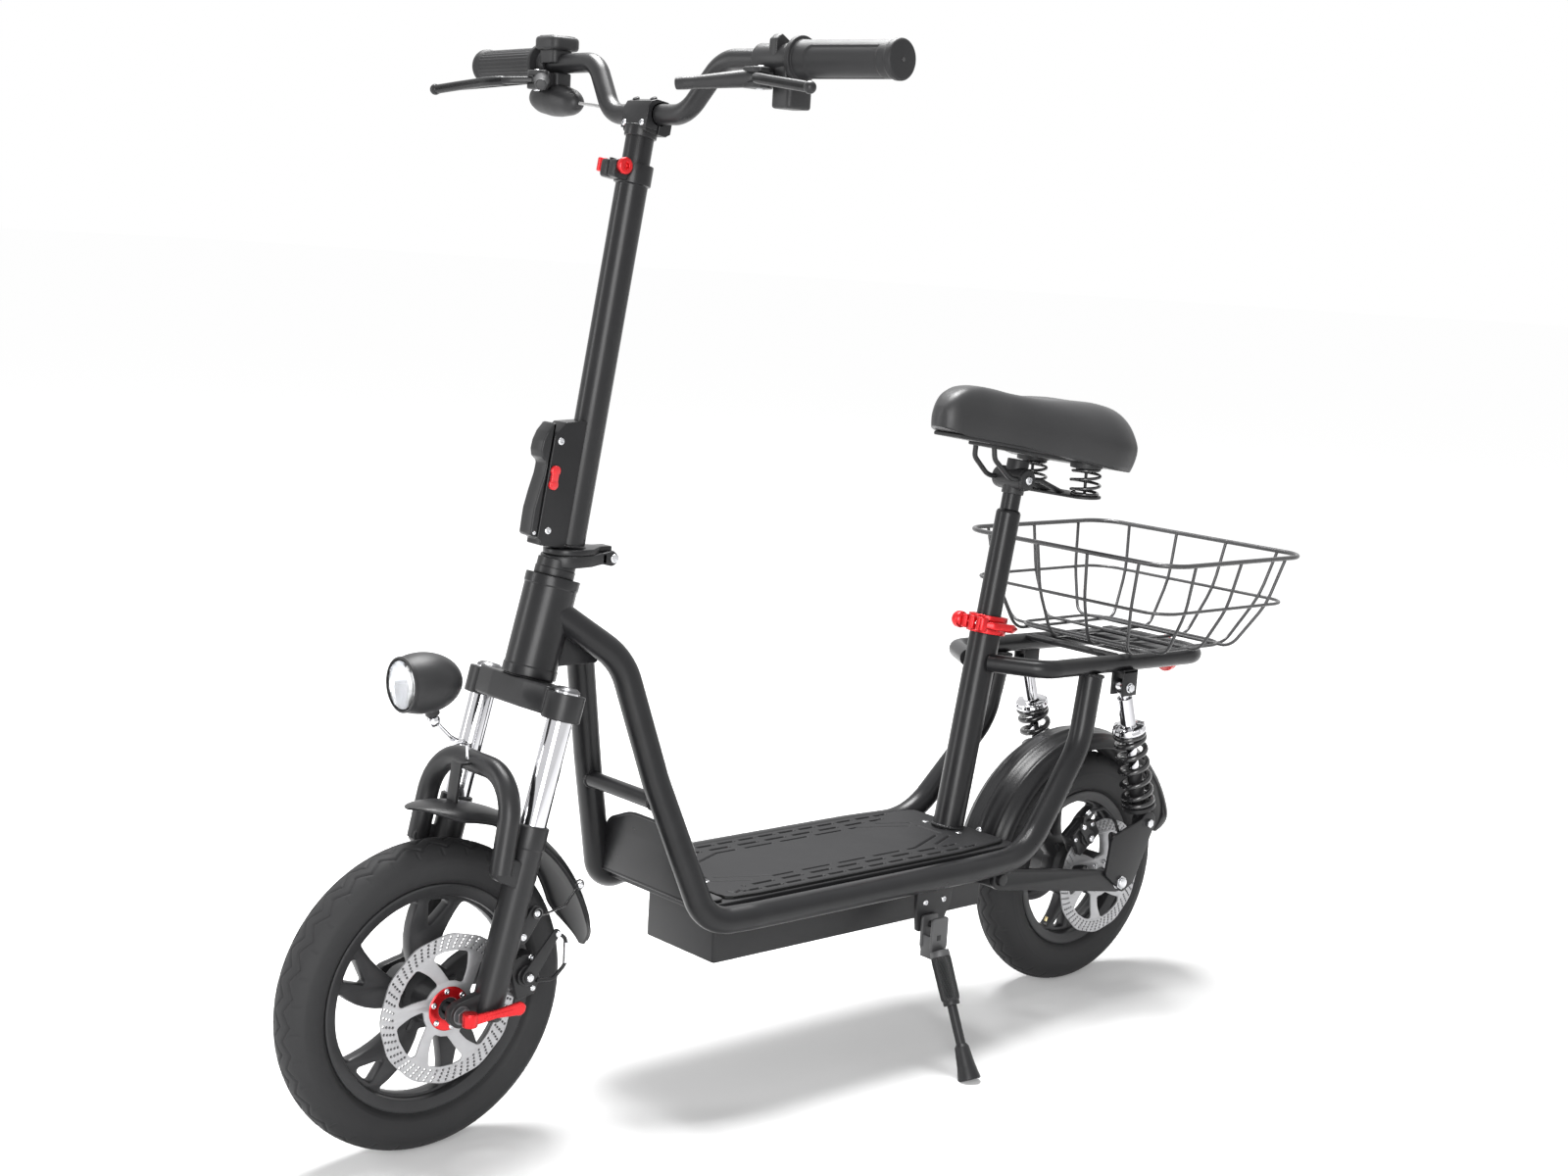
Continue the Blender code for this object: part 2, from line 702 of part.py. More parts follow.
def make_saddle_pad():
    """The padded saddle: a cage of rings along its length, crowned on top and drawn in at the sides."""
    tops = [
        (0.735, 0.812), (0.750, 0.833), (0.790, 0.839), (0.850, 0.831), (0.900, 0.827), (0.950, 0.825),
        (0.995, 0.821), (1.028, 0.812), (1.044, 0.790),
    ]
    shape = ((0.0, 1.0), (0.55, 0.97), (0.92, 0.80), (1.0, 0.42), (0.93, 0.04), (0.45, 0.0))
    outline = [*shape, (0.0, 0.0), *[(-x, z) for x, z in reversed(shape[1:])]]
    bm = bmesh.new()
    rings = []
    for y, top in tops:
        low = saddle_bottom(y)
        half = saddle_width(y)
        corners = [bm.verts.new(at(half * x, y, low + (top - low) * z)) for x, z in outline]
        rings.append(corners)
    count = len(outline)
    for front, back in zip(rings, rings[1:]):
        for index in range(count):
            following = (index + 1) % count
            bm.faces.new((front[index], front[following], back[following], back[index]))
    bm.faces.new(rings[0])
    bm.faces.new(rings[-1])
    bmesh.ops.recalc_face_normals(bm, faces=bm.faces)
    mesh = bpy.data.meshes.new("saddle_pad")
    bm.to_mesh(mesh)
    bm.free()
    smooth(mesh, 80)
    pad = place("saddle_pad", mesh, VINYL)
    rounding = pad.modifiers.new("Subdivision", "SUBSURF")
    rounding.levels = 1
    rounding.render_levels = 1


def make_saddle_frame():
    """The saddle's base plate, wire rails, post clamp and the lower bar of its springs."""
    slope = math.atan(SADDLE_SLOPE)
    lengthways = Vector((0, math.cos(slope), math.sin(slope)))
    frame = basis(at(0, 0.745, saddle_bottom(0.745) - 0.003), LEFT, lengthways)
    stations = [0.752, 0.790, 0.850, 0.900, 0.950, 0.995, 1.026]
    left = [(0.86 * saddle_width(y), (y - 0.745) / math.cos(slope)) for y in stations]
    outline = left + [(-x, y) for x, y in reversed(left)]
    base = plate("saddle_frame", [outline], 0.004, frame, CAST_BLACK)
    head = at(0, 0.886, 0.717)
    clamp = rod("join_clamp", head - LEFT * 0.027, head + LEFT * 0.027, 0.014)
    socket = rod("join_socket", seat_at(0.672), seat_at(0.712), 0.0153)
    bore = rod("cut_socket", seat_at(0.665), seat_at(0.702) + SEAT * GAP, 0.0125 + GAP, sides=20)
    join(base, clamp, socket)
    for name, side in SIDES:
        corners = [
            at(side * 0.016, 0.827, saddle_bottom(0.827) - 0.003), at(side * 0.018, 0.828, 0.745),
            at(side * 0.020, 0.858, 0.719), at(side * 0.020, 0.915, 0.716), at(side * 0.012, 0.972, 0.6965),
        ]
        join(
            base,
            tube(f"join_saddle_wire_{name}", bend(corners, [0.012, 0.03, 0.03], 30), 0.0035, fineness=1),
        )
        foot = at(side * SPRING_X, SPRING_Y, SPRING_TOP)
        cup_top = at(side * SPRING_X, SPRING_Y, saddle_bottom(SPRING_Y) - 0.003)
        join(base, rod(f"join_cup_{name}", foot, cup_top, 0.0225, sides=16))
    bar = plate(
        "join_spring_bar", [capsule((-SPRING_X, SPRING_Y), (SPRING_X, SPRING_Y), 0.0225, 0.0225)], 0.004,
        level_at(0.696),
    )
    join(base, bar)
    cut(base, bore)


def coil_path(start, axis, radius, wire, height, turns, per_turn=8):
    """The middle line of a coil spring whose ends run straight along its axis into what they meet."""
    frame = along(start, axis)
    run = 2 * wire
    path = [frame @ Vector((radius, 0, 0)), frame @ Vector((radius, 0, run * 0.75))]
    count = round(turns * per_turn)
    for index in range(1, count + 1):
        angle = math.tau * turns * index / count
        rise = run * 0.75 + (height - 1.5 * run) * index / count
        path.append(frame @ Vector((radius * math.cos(angle), radius * math.sin(angle), rise)))
    path.append(
        frame @ Vector((radius * math.cos(math.tau * turns), radius * math.sin(math.tau * turns), height))
    )
    return path


def self_gap(path, wire, per_turn=8):
    """The least gap between one turn of a coil and the next."""
    least = 1.0
    for index, point in enumerate(path):
        for other in path[index + per_turn - 2:]:
            least = min(least, (point - other).length - 2 * wire)
    return least


def make_saddle_springs():
    """The two coil springs under the rear of the saddle."""
    wire = 0.0021
    for name, side in SIDES:
        start = at(side * SPRING_X, SPRING_Y, SPRING_FOOT + GAP)
        path = coil_path(start, UP, 0.0195, wire, SPRING_TOP - SPRING_FOOT - 2 * GAP, 3, 12)
        tube(f"saddle_spring_{name}", path, wire, STEEL, fineness=1)
    print(f"saddle spring gap {1000 * self_gap(path, wire, 12):.2f} mm")


def make_fender(name, centre, radius, angles, half_width, drop, point_by, thickness, material):
    """A crowned mudguard along an arc, open below, drawn to a point at each end where point_by says so."""
    first, last = angles
    steps = 11
    across = 6
    bm = bmesh.new()
    rows = []
    for index in range(steps + 1):
        share = index / steps
        angle = math.radians(first + (last - first) * share)
        front_taper = min(1.0, (1 - share) / point_by[1]) if point_by[1] else 1.0
        back_taper = min(1.0, share / point_by[0]) if point_by[0] else 1.0
        taper = min(front_taper, back_taper)
        half = half_width * (0.12 + 0.88 * math.sin(taper * math.pi / 2))
        row = []
        for column in range(across + 1):
            lateral = 2 * column / across - 1
            fall = drop * (half / half_width) ** 2 * (1 - math.cos(lateral * math.pi / 2.2))
            reach = radius - fall
            row.append(
                bm.verts.new(
                    centre + Vector(
                        (
                            half * math.sin(lateral * math.pi / 2), reach * math.cos(angle),
                            reach * math.sin(angle),
                        )
                    )
                )
            )
        rows.append(row)
    for lower, upper in zip(rows, rows[1:]):
        for column in range(across):
            bm.faces.new((lower[column], lower[column + 1], upper[column + 1], upper[column]))
    bmesh.ops.recalc_face_normals(bm, faces=bm.faces)
    mesh = bpy.data.meshes.new(name)
    bm.to_mesh(mesh)
    bm.free()
    smooth(mesh)
    fender = place(name, mesh, material)
    shell = fender.modifiers.new("Solidify", "SOLIDIFY")
    shell.thickness = thickness
    shell.offset = 0
    return fender


def make_front_fender():
    """The short front mudguard with the strip that hangs it from the fork arch."""
    fender = make_fender(
        "front_fender", FRONT_AXLE, 0.2145, (5.5, 97), 0.038, 0.016, (0.16, 0.16), 0.0024, MOULDED_BLACK,
    )
    strip = plate(
        "join_strip", [
            [
                (0.0345, 0.4315), (0.0514, 0.4315), (0.0514, 0.4285), (0.0375, 0.4285), (0.0325, 0.3865),
                (0.0290, 0.3865),
            ]
        ],
        0.018, lengthwise(0),
    )
    join(fender, strip)


def make_rear_fender():
    """The long rear mudguard and its tab on the swingarm's cross tube."""
    make_fender(
        "rear_fender", REAR_AXLE, 0.1945, (6.5, 164), 0.042, 0.022, (0.10, 0.0), 0.0026, MOULDED_BLACK,
    )


def wheel_frame(axle):
    """A wheel's frame: its Z axis points to the rider's left."""
    return basis(axle, BACK, UP)


def make_tyre(name, axle, radius, half_width, bead_radius, bead_x, steps=32):
    """A tyre with a flat tread band, seated between the rim's flanges; its facets touch the ground."""
    fit = 1 / math.cos(math.pi / steps)
    tread = 0.007
    shoulder = half_width - 0.006
    side_radius = bead_radius + (radius - bead_radius) * 0.42
    outer = [
        (radius, tread), (radius - 0.0075, shoulder - 0.002), (radius - 0.019, half_width * 0.975),
        (side_radius - 0.002, half_width), (bead_radius + GAP, bead_x + 0.0035),
    ]
    seat_x = bead_x - 0.0036
    seat = [(bead_radius + GAP, seat_x), (bead_radius - 0.0074, seat_x)]
    upper = outer + seat
    lower = [(ring_radius, -x) for ring_radius, x in reversed(upper)]
    profile = [(ring_radius * fit, x) for ring_radius, x in lower + upper]
    profile.reverse()
    return lathe(name, profile, wheel_frame(axle), TYRE_RUBBER, steps, turn=math.pi / steps)


def spoke_window(inner, outer, start, end):
    """An opening between two spokes, from an inner to an outer radius, with clipped outer corners."""
    middle = (start + end) / 2
    clip = 4
    inner_half = (end - start) / 2 * 0.72
    sides = arc((0, 0), outer - 0.006, start, end, 1)
    crown = arc((0, 0), outer, start + clip, end - clip, 2)
    return [sides[0], *crown, sides[1], *arc((0, 0), inner, middle + inner_half, middle - inner_half, 1)]


def make_rim(name, axle, bead_radius, bead_x, hub_radius, hub_left, hub_right, turn):
    """A cast wheel: the barrel with its flanges, five forked spokes and the hub, bored for the axle."""
    steps = 24
    barrel_outer = bead_radius - 0.0078
    inside = barrel_outer - 0.007
    upper = [(bead_radius, bead_x), (bead_radius, bead_x - 0.003), (barrel_outer, bead_x - 0.003)]
    outer_profile = upper + [(radius, -x) for radius, x in reversed(upper)]
    profile = outer_profile + [(inside, -bead_x), (inside, bead_x)]
    rim = lathe(name, profile, wheel_frame(axle), CAST_BLACK, steps, turn=math.pi / steps)
    windows = []
    for index in range(5):
        start = turn + 72 * index
        windows.append(spoke_window(hub_radius + 0.012, inside - 0.004, start + 17, start + 55))
        rim_side = inside - 0.006
        notch_point = Vector((rim_side - 0.030, 0)) @ Matrix.Rotation(-math.radians(start), 2)
        windows.append([*arc((0, 0), rim_side, start - 7, start + 7, 1), tuple(notch_point)])
    web = plate(
        "join_web_" + name, [arc((0, 0), inside + 0.004, 0, 340, 17), *windows], 0.016, wheel_frame(axle),
    )
    hub = rod("join_hub_" + name, axle + LEFT * hub_right, axle + LEFT * hub_left, hub_radius, sides=20)
    bore = rod("cut_bore_" + name, axle - LEFT * 0.09, axle + LEFT * 0.09, AXLE_RADIUS + SLIDE, sides=12)
    join(rim, web, hub)
    cut(rim, bore)


def make_rotor(name, axle, radius, middle_x, hub_radius, turn):
    """A brake rotor with curved arms between its braking ring and its centre."""
    outer = arc((0, 0), radius, 0, 350, 35)
    centre_hole = arc((0, 0), hub_radius, 0, 330, 11)
    windows = []
    for index in range(6):
        start = turn + 60 * index
        window = arc((0, 0), radius * 0.76, start, start + 38, 2) + arc(
            (0, 0), radius * 0.40, start + 22, start - 14, 1,
        )
        windows.append(window)
    frame = Matrix.Translation(LEFT * middle_x) @ wheel_frame(axle)
    disc = plate(name, [outer, centre_hole, *windows], ROTOR_THICKNESS, frame, STEEL)
    return pivot(disc, axle)


def make_wheels():
    """Both wheels: tyre, cast rim and rotor, each about its axle."""
    make_tyre("front_tyre", FRONT_AXLE, FRONT_RADIUS, 0.0289, 0.1286, 0.0194)
    make_rim("front_rim", FRONT_AXLE, 0.1286, 0.0191, 0.024, 0.0517, -0.048, 95)
    make_rotor("front_rotor", FRONT_AXLE, 0.0838, 0.0530, 0.0125, 10)
    make_tyre("rear_tyre", REAR_AXLE, REAR_RADIUS, 0.032, 0.1101, 0.0224)
    make_rim("rear_rim", REAR_AXLE, 0.1101, 0.0221, 0.030, 0.0633, -0.060, 60)
    make_rotor("rear_rotor", REAR_AXLE, 0.0814, 0.0646, 0.0125, 40)


def leg_at(side, height):
    """The point of a fork leg's axis at a height above the ground."""
    return STEER_POINT + LEFT * side * LEG_X + STEER * ((height - STEER_POINT.z) / STEER.z)


def make_fork_crown():
    """The lower crown with a clamp on each side, and the steerer that turns in the head tube."""
    frame = basis(STEER_POINT, LEFT, STEER.cross(LEFT))
    bridge_half = 0.0105
    low = -0.016
    outline = flat(
        [
            (-0.066, -0.020), (-0.030, -0.026), (0.030, -0.026), (0.066, -0.020), (0.066, 0.019),
            (0.026, 0.024), (-0.026, 0.024), (-0.066, 0.019),
        ],
        [0.006, 0.03, 0.03, 0.006, 0.006, 0.02, 0.02, 0.006], 30,
    )
    bridge_frame = frame @ Matrix.Translation((0, 0, low + bridge_half))
    crown = plate("fork_crown", [outline], 2 * bridge_half, bridge_frame, CAST_BLACK)
    steerer = rod("join_steerer", STEER_POINT, STEER_POINT + STEER * 0.1190, 0.014, sides=20)
    join(crown, steerer)
    for name, side in SIDES:
        middle = STEER_POINT + LEFT * side * LEG_X
        clamp = rod(f"join_crown_clamp_{name}", middle - STEER * 0.020, middle + STEER * 0.010, 0.0215)
        join(crown, clamp)
    for name, side in SIDES:
        middle = STEER_POINT + LEFT * side * LEG_X
        cut(
            crown,
            rod(f"cut_crown_{name}", middle - STEER * 0.03, middle + STEER * 0.03, STANCHION_RADIUS + GAP),
        )


def make_stanchions():
    """The chrome stanchions with their cap bolts on top."""
    for name, side in SIDES:
        bottom = leg_at(side, 0.270)
        length = (leg_at(side, 0.513) - bottom).length
        cap = length + 0.0155
        profile = [
            (0, cap + 0.002), (0.008, cap + 0.002), (0.009, cap), (
                STANCHION_RADIUS, cap - 0.001,
            ), (STANCHION_RADIUS, 0), (0, 0),
        ]
        lathe(f"stanchion_{name}", profile, along(bottom, STEER), CHROME, 12, closed=False)


def make_fork_lowers():
    """The fork's lower legs with their dropouts, the axle, the tubular arch and the caliper's mount."""
    top = 0.361
    lowers = rod("fork_lowers", leg_at(1, 0.164), leg_at(1, top), LOWER_RADIUS, CAST_BLACK)
    pieces = [rod("join_right_leg", leg_at(-1, 0.164), leg_at(-1, top), LOWER_RADIUS)]
    for name, side in SIDES:
        foot = leg_at(side, 0.185)
        start = (foot.y - FRONT_AXLE_Y, foot.z)
        pieces.append(
            plate(
                f"join_dropout_{name}", [capsule((0, FRONT_RADIUS), start, 0.0145, 0.013)], 0.012,
                lengthwise(side * 0.074),
            )
        )
        pieces.append(
            rod(
                f"join_nut_{name}", FRONT_AXLE + LEFT * side * 0.079, FRONT_AXLE + LEFT * side * 0.0865,
                0.0105, sides=20,
            )
        )
        pieces.append(
            plate(
                f"join_arch_foot_{name}", [capsule((0.045, 0.330), (0.071, 0.318), 0.014, 0.015)], 0.014,
                lengthwise(side * 0.080),
            )
        )
    pieces.append(make_axle("join_front_axle", FRONT_AXLE, 0.079, 0.0865))
    corners = [
        at(0.084, 0.043, 0.326), at(0.078, 0.0625, 0.4295), at(-0.078, 0.0625, 0.4295),
        at(-0.084, 0.043, 0.326),
    ]
    pieces.append(tube("join_arch", bend(corners, [0.070, 0.070], 15), 0.0107))
    pieces.append(box("join_caliper_post", at(0.0575, 0.046, 0.184), at(0.0665, 0.0665, 0.206)))
    join(lowers, *pieces)
    for name, side in SIDES:
        cut(
            lowers,
            rod(f"cut_leg_{name}", leg_at(side, 0.222), leg_at(side, 0.40), STANCHION_RADIUS + SLIDE),
        )


def make_axle(name, centre, nut_start, nut_end):
    """An axle with a nut at each end."""
    nut_radius = 0.0105
    half = [(0, nut_end), (nut_radius, nut_end), (nut_radius, nut_start), (AXLE_RADIUS, nut_start)]
    profile = half + [(radius, -x) for radius, x in reversed(half)]
    return lathe(name, profile, wheel_frame(centre), None, 14, closed=False)


def make_front_lever():
    """The red quick release lever of the front axle."""
    centre = FRONT_AXLE + LEFT * 0.0955
    lever = rod("front_lever", centre - UP * 0.0075, centre + UP * 0.0075, 0.0085, RED_METAL, sides=12)
    outline = [
        (-0.002, 0.1695), (0.030, 0.1725), (0.052, 0.171), *arc((0.060, 0.1775), 0.0075, -90, 90, 4),
        (0.030, 0.1815), (-0.002, 0.1815),
    ]
    arm = plate("join_front_arm", [outline], 0.005, lengthwise(0.0995))
    join(lever, arm)
    pivot(lever, centre)


def make_caliper(name, middle, lean, rotor_x, rotor_gap):
    """A brake caliper: a body that straddles the rotor, with its pads' slot and its cable arm."""
    frame = basis(
        middle, Quaternion(LEFT, math.radians(lean)) @ BACK, Quaternion(LEFT, math.radians(lean)) @ UP,
    )
    half = 0.0115
    body = plate(
        name, [
            flat(
                [(-0.024, -0.016), (0.024, -0.016), (0.026, 0.008), (0.012, 0.018), (-0.020, 0.018)],
                [0.004] * 5,
            )
        ],
        2 * half, Matrix.Translation(LEFT * (rotor_x - middle.x)) @ frame, CAST_BLACK,
    )
    cylinder_start = frame @ Vector((0, 0, rotor_x - middle.x + half - 0.002))
    piston = rod("join_piston_" + name, cylinder_start, cylinder_start + LEFT * 0.008, 0.012, sides=12)
    slot = box(
        "cut_pads_" + name, Vector(
            (-0.05, -0.05, -ROTOR_THICKNESS / 2 - rotor_gap)
        ), Vector((0.05, 0.006, ROTOR_THICKNESS / 2 + rotor_gap)),
        frame=Matrix.Translation(LEFT * (rotor_x - middle.x)) @ frame,
    )
    join(body, piston)
    cut(body, slot)
    return body


def add_cable(body, arm_outline, arm_x, corners):
    """The caliper's cable arm, a plate at arm_x, and the stretch of its cable that lies in the open."""
    arm = plate("join_arm_" + body.name, [arm_outline], 0.003, lengthwise(arm_x))
    cable = tube(
        "join_cable_" + body.name, bend(corners, [0.012] * (len(corners) - 2), 30), CABLE_RADIUS, fineness=1,
    )
    join(body, arm, cable)


def make_calipers():
    """The front caliper behind the left fork leg and the rear one above the swingarm."""
    front = make_caliper("front_caliper", at(0.053, 0.0905, 0.1985), -76, 0.053, 0.0015)
    front_cable = [
        at(
            0.0715, 0.1260, 0.2425,
        ), at(0.0715, 0.1385, 0.2360), at(0.0715, 0.1390, 0.2050), at(0.0700, 0.1240, 0.1900),
        at(0.0650, 0.1060, 0.1900),
    ]
    add_cable(front, capsule((0.0905, 0.1985), (0.1250, 0.2430), 0.0090, 0.0050), 0.0715, front_cable)
    rear = make_caliper("rear_caliper", at(0.0646, 1.006, 0.230), 37, 0.0646, 0.0015)
    rear_cable = [
        at(
            0.0832, 0.9890, 0.2480,
        ), at(0.0832, 0.9950, 0.2680), at(0.0832, 1.0300, 0.2690), at(0.0832, 1.0560, 0.2480),
        at(0.0890, 1.0600, 0.2300), at(0.0950, 1.0600, 0.2180),
    ]
    add_cable(rear, capsule((1.006, 0.230), (0.9880, 0.2480), 0.0085, 0.0050), 0.0832, rear_cable)


def make_headlight():
    """The egg-shaped headlight, its clear lens, and the chrome wire bracket that hooks over the arch."""
    centre = at(0, -0.0127, 0.523)
    frame = basis(centre, LEFT, -UP)
    long_axis = 0.047
    short_axis = 0.033
    rim_height = -0.0214
    steps = 7
    start = math.asin(rim_height / long_axis)
    outer = []
    for index in range(steps + 1):
        angle = math.pi / 2 + (start - math.pi / 2) * index / steps
        outer.append((short_axis * math.cos(angle), long_axis * math.sin(angle)))
    outer[0] = (0, long_axis)
    rim = 0.0275
    profile = [
        *outer, (rim + 0.002, rim_height - 0.004), (rim, rim_height - 0.004), (rim, rim_height + 0.004),
        (0, rim_height + 0.004),
    ]
    shell = lathe("headlight_shell", profile, frame, MOULDED_BLACK, 18, closed=False)
    lug = rod("join_light_lug", at(0, 0.002, 0.4885), at(0, -0.002, 0.503), 0.008, sides=12)
    join(shell, lug)
    dome = [(0, 0.0037 + rim_height), (rim - GAP, 0.0037 + rim_height), (rim - GAP, rim_height - 0.003)]
    dome += [(rim * 0.7, rim_height - 0.0055), (rim * 0.36, rim_height - 0.0070), (0, rim_height - 0.0075)]
    lens = lathe("headlight_lens", dome, frame, LENS, 18, closed=False)
    corners = [
        at(0, 0.004, 0.4835), at(0, 0.012, 0.474), at(0, 0.026, 0.4605), at(0, 0.036, 0.4545),
        at(0, 0.0482, 0.4505), at(0, 0.0494, 0.4330),
    ]
    hook = tube(
        "headlight_bracket", bend(corners, [0.008, 0.03, 0.02, 0.005], 30), 0.0021, CHROME, fineness=1,
    )
    knob = ball("join_light_ball", at(0, 0.004, 0.4805), 0.0074, segments=8, rings=6)
    clip = box("join_hook_clip", at(-0.006, 0.028, 0.4520), at(0.006, 0.042, 0.4565))
    join(hook, knob, clip)
    hang("headlight_tilt", at(0, 0.004, 0.4805), shell, lens)


def make_stem_base():
    """The plate on the steerer with the hinge's ears and pin at its rear, and the headset collar below it."""
    outline = [
        *arc(
            (0, 0.168), 0.028, 180, 360, 8,
        ), (0.026, 0.186), (0.0145, 0.208), (0.0145, 0.233), (-0.0145, 0.233),
        (-0.0145, 0.208), (-0.026, 0.186),
    ]
    base = plate("stem_base", [outline], 0.013, level_at(0.6465), CAST_BLACK)
    collar = rod("join_headset", STEER_POINT + STEER * 0.1193, STEER_POINT + STEER * 0.138, 0.0225, sides=16)
    barrel = rod("join_barrel", FOLD_PIN - LEFT * 0.0145, FOLD_PIN + LEFT * 0.0145, 0.009, sides=12)
    notch = box("cut_hinge", at(-0.0092, 0.2135, 0.630), at(0.0092, 0.245, 0.660))
    pin = rod("join_pin", FOLD_PIN - LEFT * 0.0165, FOLD_PIN + LEFT * 0.0165, 0.004, sides=12)
    join(base, collar, barrel)
    cut(base, notch)
    join(base, pin)


def stem_point(x, forward, up):
    """A point in the stem's own frame: x across, forward of its axis and up from its foot."""
    return STEM_FOOT + LEFT * x + STEM_FRONT * forward + STEM * up


STEM_PLATES = basis(STEM_FOOT, STEM_FRONT, STEM)


def make_stem_tube():
    """The stem with its foot plate, hinge knuckle, latch housing and the slotted clamp collar at its top."""
    frame = basis(STEM_FOOT, LEFT, STEM.cross(LEFT))
    top = 0.424
    collar_radius = 0.0205
    collar_low = 0.402
    profile = [
        (0, 0.090), (STEM_BORE, 0.090), (STEM_BORE, top), (
            collar_radius - 0.001, top,
        ), (collar_radius, top - 0.001),
        (collar_radius, collar_low), (STEM_RADIUS, collar_low - 0.001), (STEM_RADIUS, 0), (0, 0),
    ]
    stem = lathe("stem_tube", profile, frame, FRAME_PAINT, closed=False)
    outline = [
        *arc(
            (0, 0.170), 0.027, 180, 360, 8,
        ), (0.025, 0.188), (0.0088, 0.209), (0.0088, 0.224), (-0.0088, 0.224),
        (-0.0088, 0.209), (-0.025, 0.188),
    ]
    foot = plate("join_foot", [outline], 0.0066, level_at(0.6533 + 0.0033))
    knuckle = rod("join_knuckle_stem", FOLD_PIN - LEFT * 0.0088, FOLD_PIN + LEFT * 0.0088, 0.0085, sides=12)
    housing = plate(
        "join_latch_housing",
        [
            [
                (0.012, -0.002), (0.048, -0.002), (0.048, 0.004), (0.052, 0.006), (0.052, 0.118),
                (0.040, 0.134), (0.012, 0.140),
            ]
        ],
        0.025, STEM_PLATES,
    )
    ears = box(
        "join_stem_ears", Vector((-0.013, -0.036, 0.403)), Vector((0.013, -0.0175, 0.423)), frame=frame,
    )
    slot = box(
        "cut_stem_slot", Vector((-0.0015, -0.06, 0.379)), Vector((0.0015, -0.008, 0.440)), frame=frame,
    )
    recess = flat([(0.0380, 0.058), (0.0510, 0.058), (0.0510, 0.088), (0.0380, 0.088)], [0.0062] * 4, 45)
    button_recess = plate("cut_button", [recess], 0.010, Matrix.Translation(LEFT * 0.013) @ STEM_PLATES)
    pin_hole = rod("cut_knuckle", FOLD_PIN - LEFT * 0.02, FOLD_PIN + LEFT * 0.02, 0.0043, sides=12)
    clear = rod("cut_tube_bore", stem_point(0, 0, 0.2), stem_point(0, 0, 0.5), STEM_BORE, sides=20)
    join(stem, housing, foot, knuckle, ears)
    cut(stem, slot, button_recess, pin_hole, clear)
    pivot_tool = rod(
        "cut_lever_bore", stem_point(-0.02, CLAMP_BOLT, COLLAR_HEIGHT),
        stem_point(0.02, CLAMP_BOLT, COLLAR_HEIGHT), 0.0035, sides=8,
    )
    cut(stem, pivot_tool)


def make_latch():
    """The long latch lever in front of the stem and the red safety button on its housing."""
    hinge = (0.0568, 0.0105)
    outline = [
        *arc(hinge, 0.0044, 180, 360, 6), (0.0617, 0.024), (0.0619, 0.036), (0.0595, 0.055), (0.0560, 0.075),
        (0.0555, 0.088), (
            0.0630, 0.0925,
        ), (0.0655, 0.1000), (0.0650, 0.1100), (0.0615, 0.1210), (0.0555, 0.1300),
        (0.0524, 0.1325), (0.0524, 0.050),
    ]
    lever = plate("latch_lever", [outline], 0.023, STEM_PLATES, CAST_BLACK)
    pivot(lever, stem_point(0, *hinge))
    outline = flat(
        [(0.0386, 0.0586), (0.0504, 0.0586), (0.0504, 0.0874), (0.0386, 0.0874)], [0.0058] * 4, 45,
    )
    plate("latch_button", [outline], 0.0045, Matrix.Translation(LEFT * 0.0137) @ STEM_PLATES, RED_PLASTIC)


def make_stem_lever():
    """The red quick release of the stem's clamp: bolt and nut on the left, cam and arm on the right."""
    spot = stem_point(0, CLAMP_BOLT, COLLAR_HEIGHT)
    bolt = rod("stem_bolt", spot - LEFT * 0.0133, spot + LEFT * 0.0185, 0.0030, RED_METAL, sides=8)
    nut = rod("join_stem_nut", spot + LEFT * 0.0134, spot + LEFT * 0.0205, 0.0090, sides=12)
    join(bolt, nut)
    cam_centre = spot - LEFT * 0.0222
    lever = rod(
        "stem_lever", cam_centre - STEM * 0.009, cam_centre + STEM * 0.009, 0.0085, RED_METAL, sides=12,
    )
    corners = [
        stem_point(-0.0222, CLAMP_BOLT, COLLAR_HEIGHT), stem_point(-0.033, 0.012, COLLAR_HEIGHT),
        stem_point(-0.034, -0.010, COLLAR_HEIGHT), stem_point(-0.026, -0.030, COLLAR_HEIGHT),
    ]
    arm = tube("join_stem_arm", bend(corners, [0.012, 0.03], 35), 0.0042, fineness=1)
    join(lever, arm)
    pivot(lever, cam_centre)


def make_upper_tube():
    """The inner tube that slides in the stem, with the clamp that holds the handlebar."""
    start = stem_point(0, 0, 0.250)
    upper = rod("upper_tube", start, stem_point(0, 0, 0.470), STEM_BORE - SLIDE, FRAME_PAINT, sides=20)
    frame = basis(BAR_CENTRE, LEFT, STEM.cross(LEFT))
    head = plate(
        "join_bar_head", [
            flat([(-0.018, -0.022), (0.018, -0.022), (0.018, 0.0145), (-0.018, 0.0145)], [0.005] * 4)
        ], 0.044,
        basis(BAR_CENTRE, -STEM.cross(LEFT), STEM),
    )
    bar_hole = rod("cut_bar", BAR_CENTRE - LEFT * 0.04, BAR_CENTRE + LEFT * 0.04, BAR_RADIUS + GAP, sides=20)
    split = box("cut_split", Vector((-0.03, -0.03, -0.0008)), Vector((0.03, -0.010, 0.0008)), frame=frame)
    neck = rod("join_neck", stem_point(0, 0, 0.452), stem_point(0, 0, 0.468), STEM_BORE + 0.002, sides=20)
    join(upper, neck, head)
    cut(upper, bar_hole, split)


def bar_path():
    """The middle line of the handlebar, a straight middle that rises and sweeps out to the grips."""
    left = [BAR_TIP, BAR_BEND, BAR_CENTRE + LEFT * 0.066]
    return bend(left + [mirror_x(point) for point in reversed(left)], [0.040] * 4)


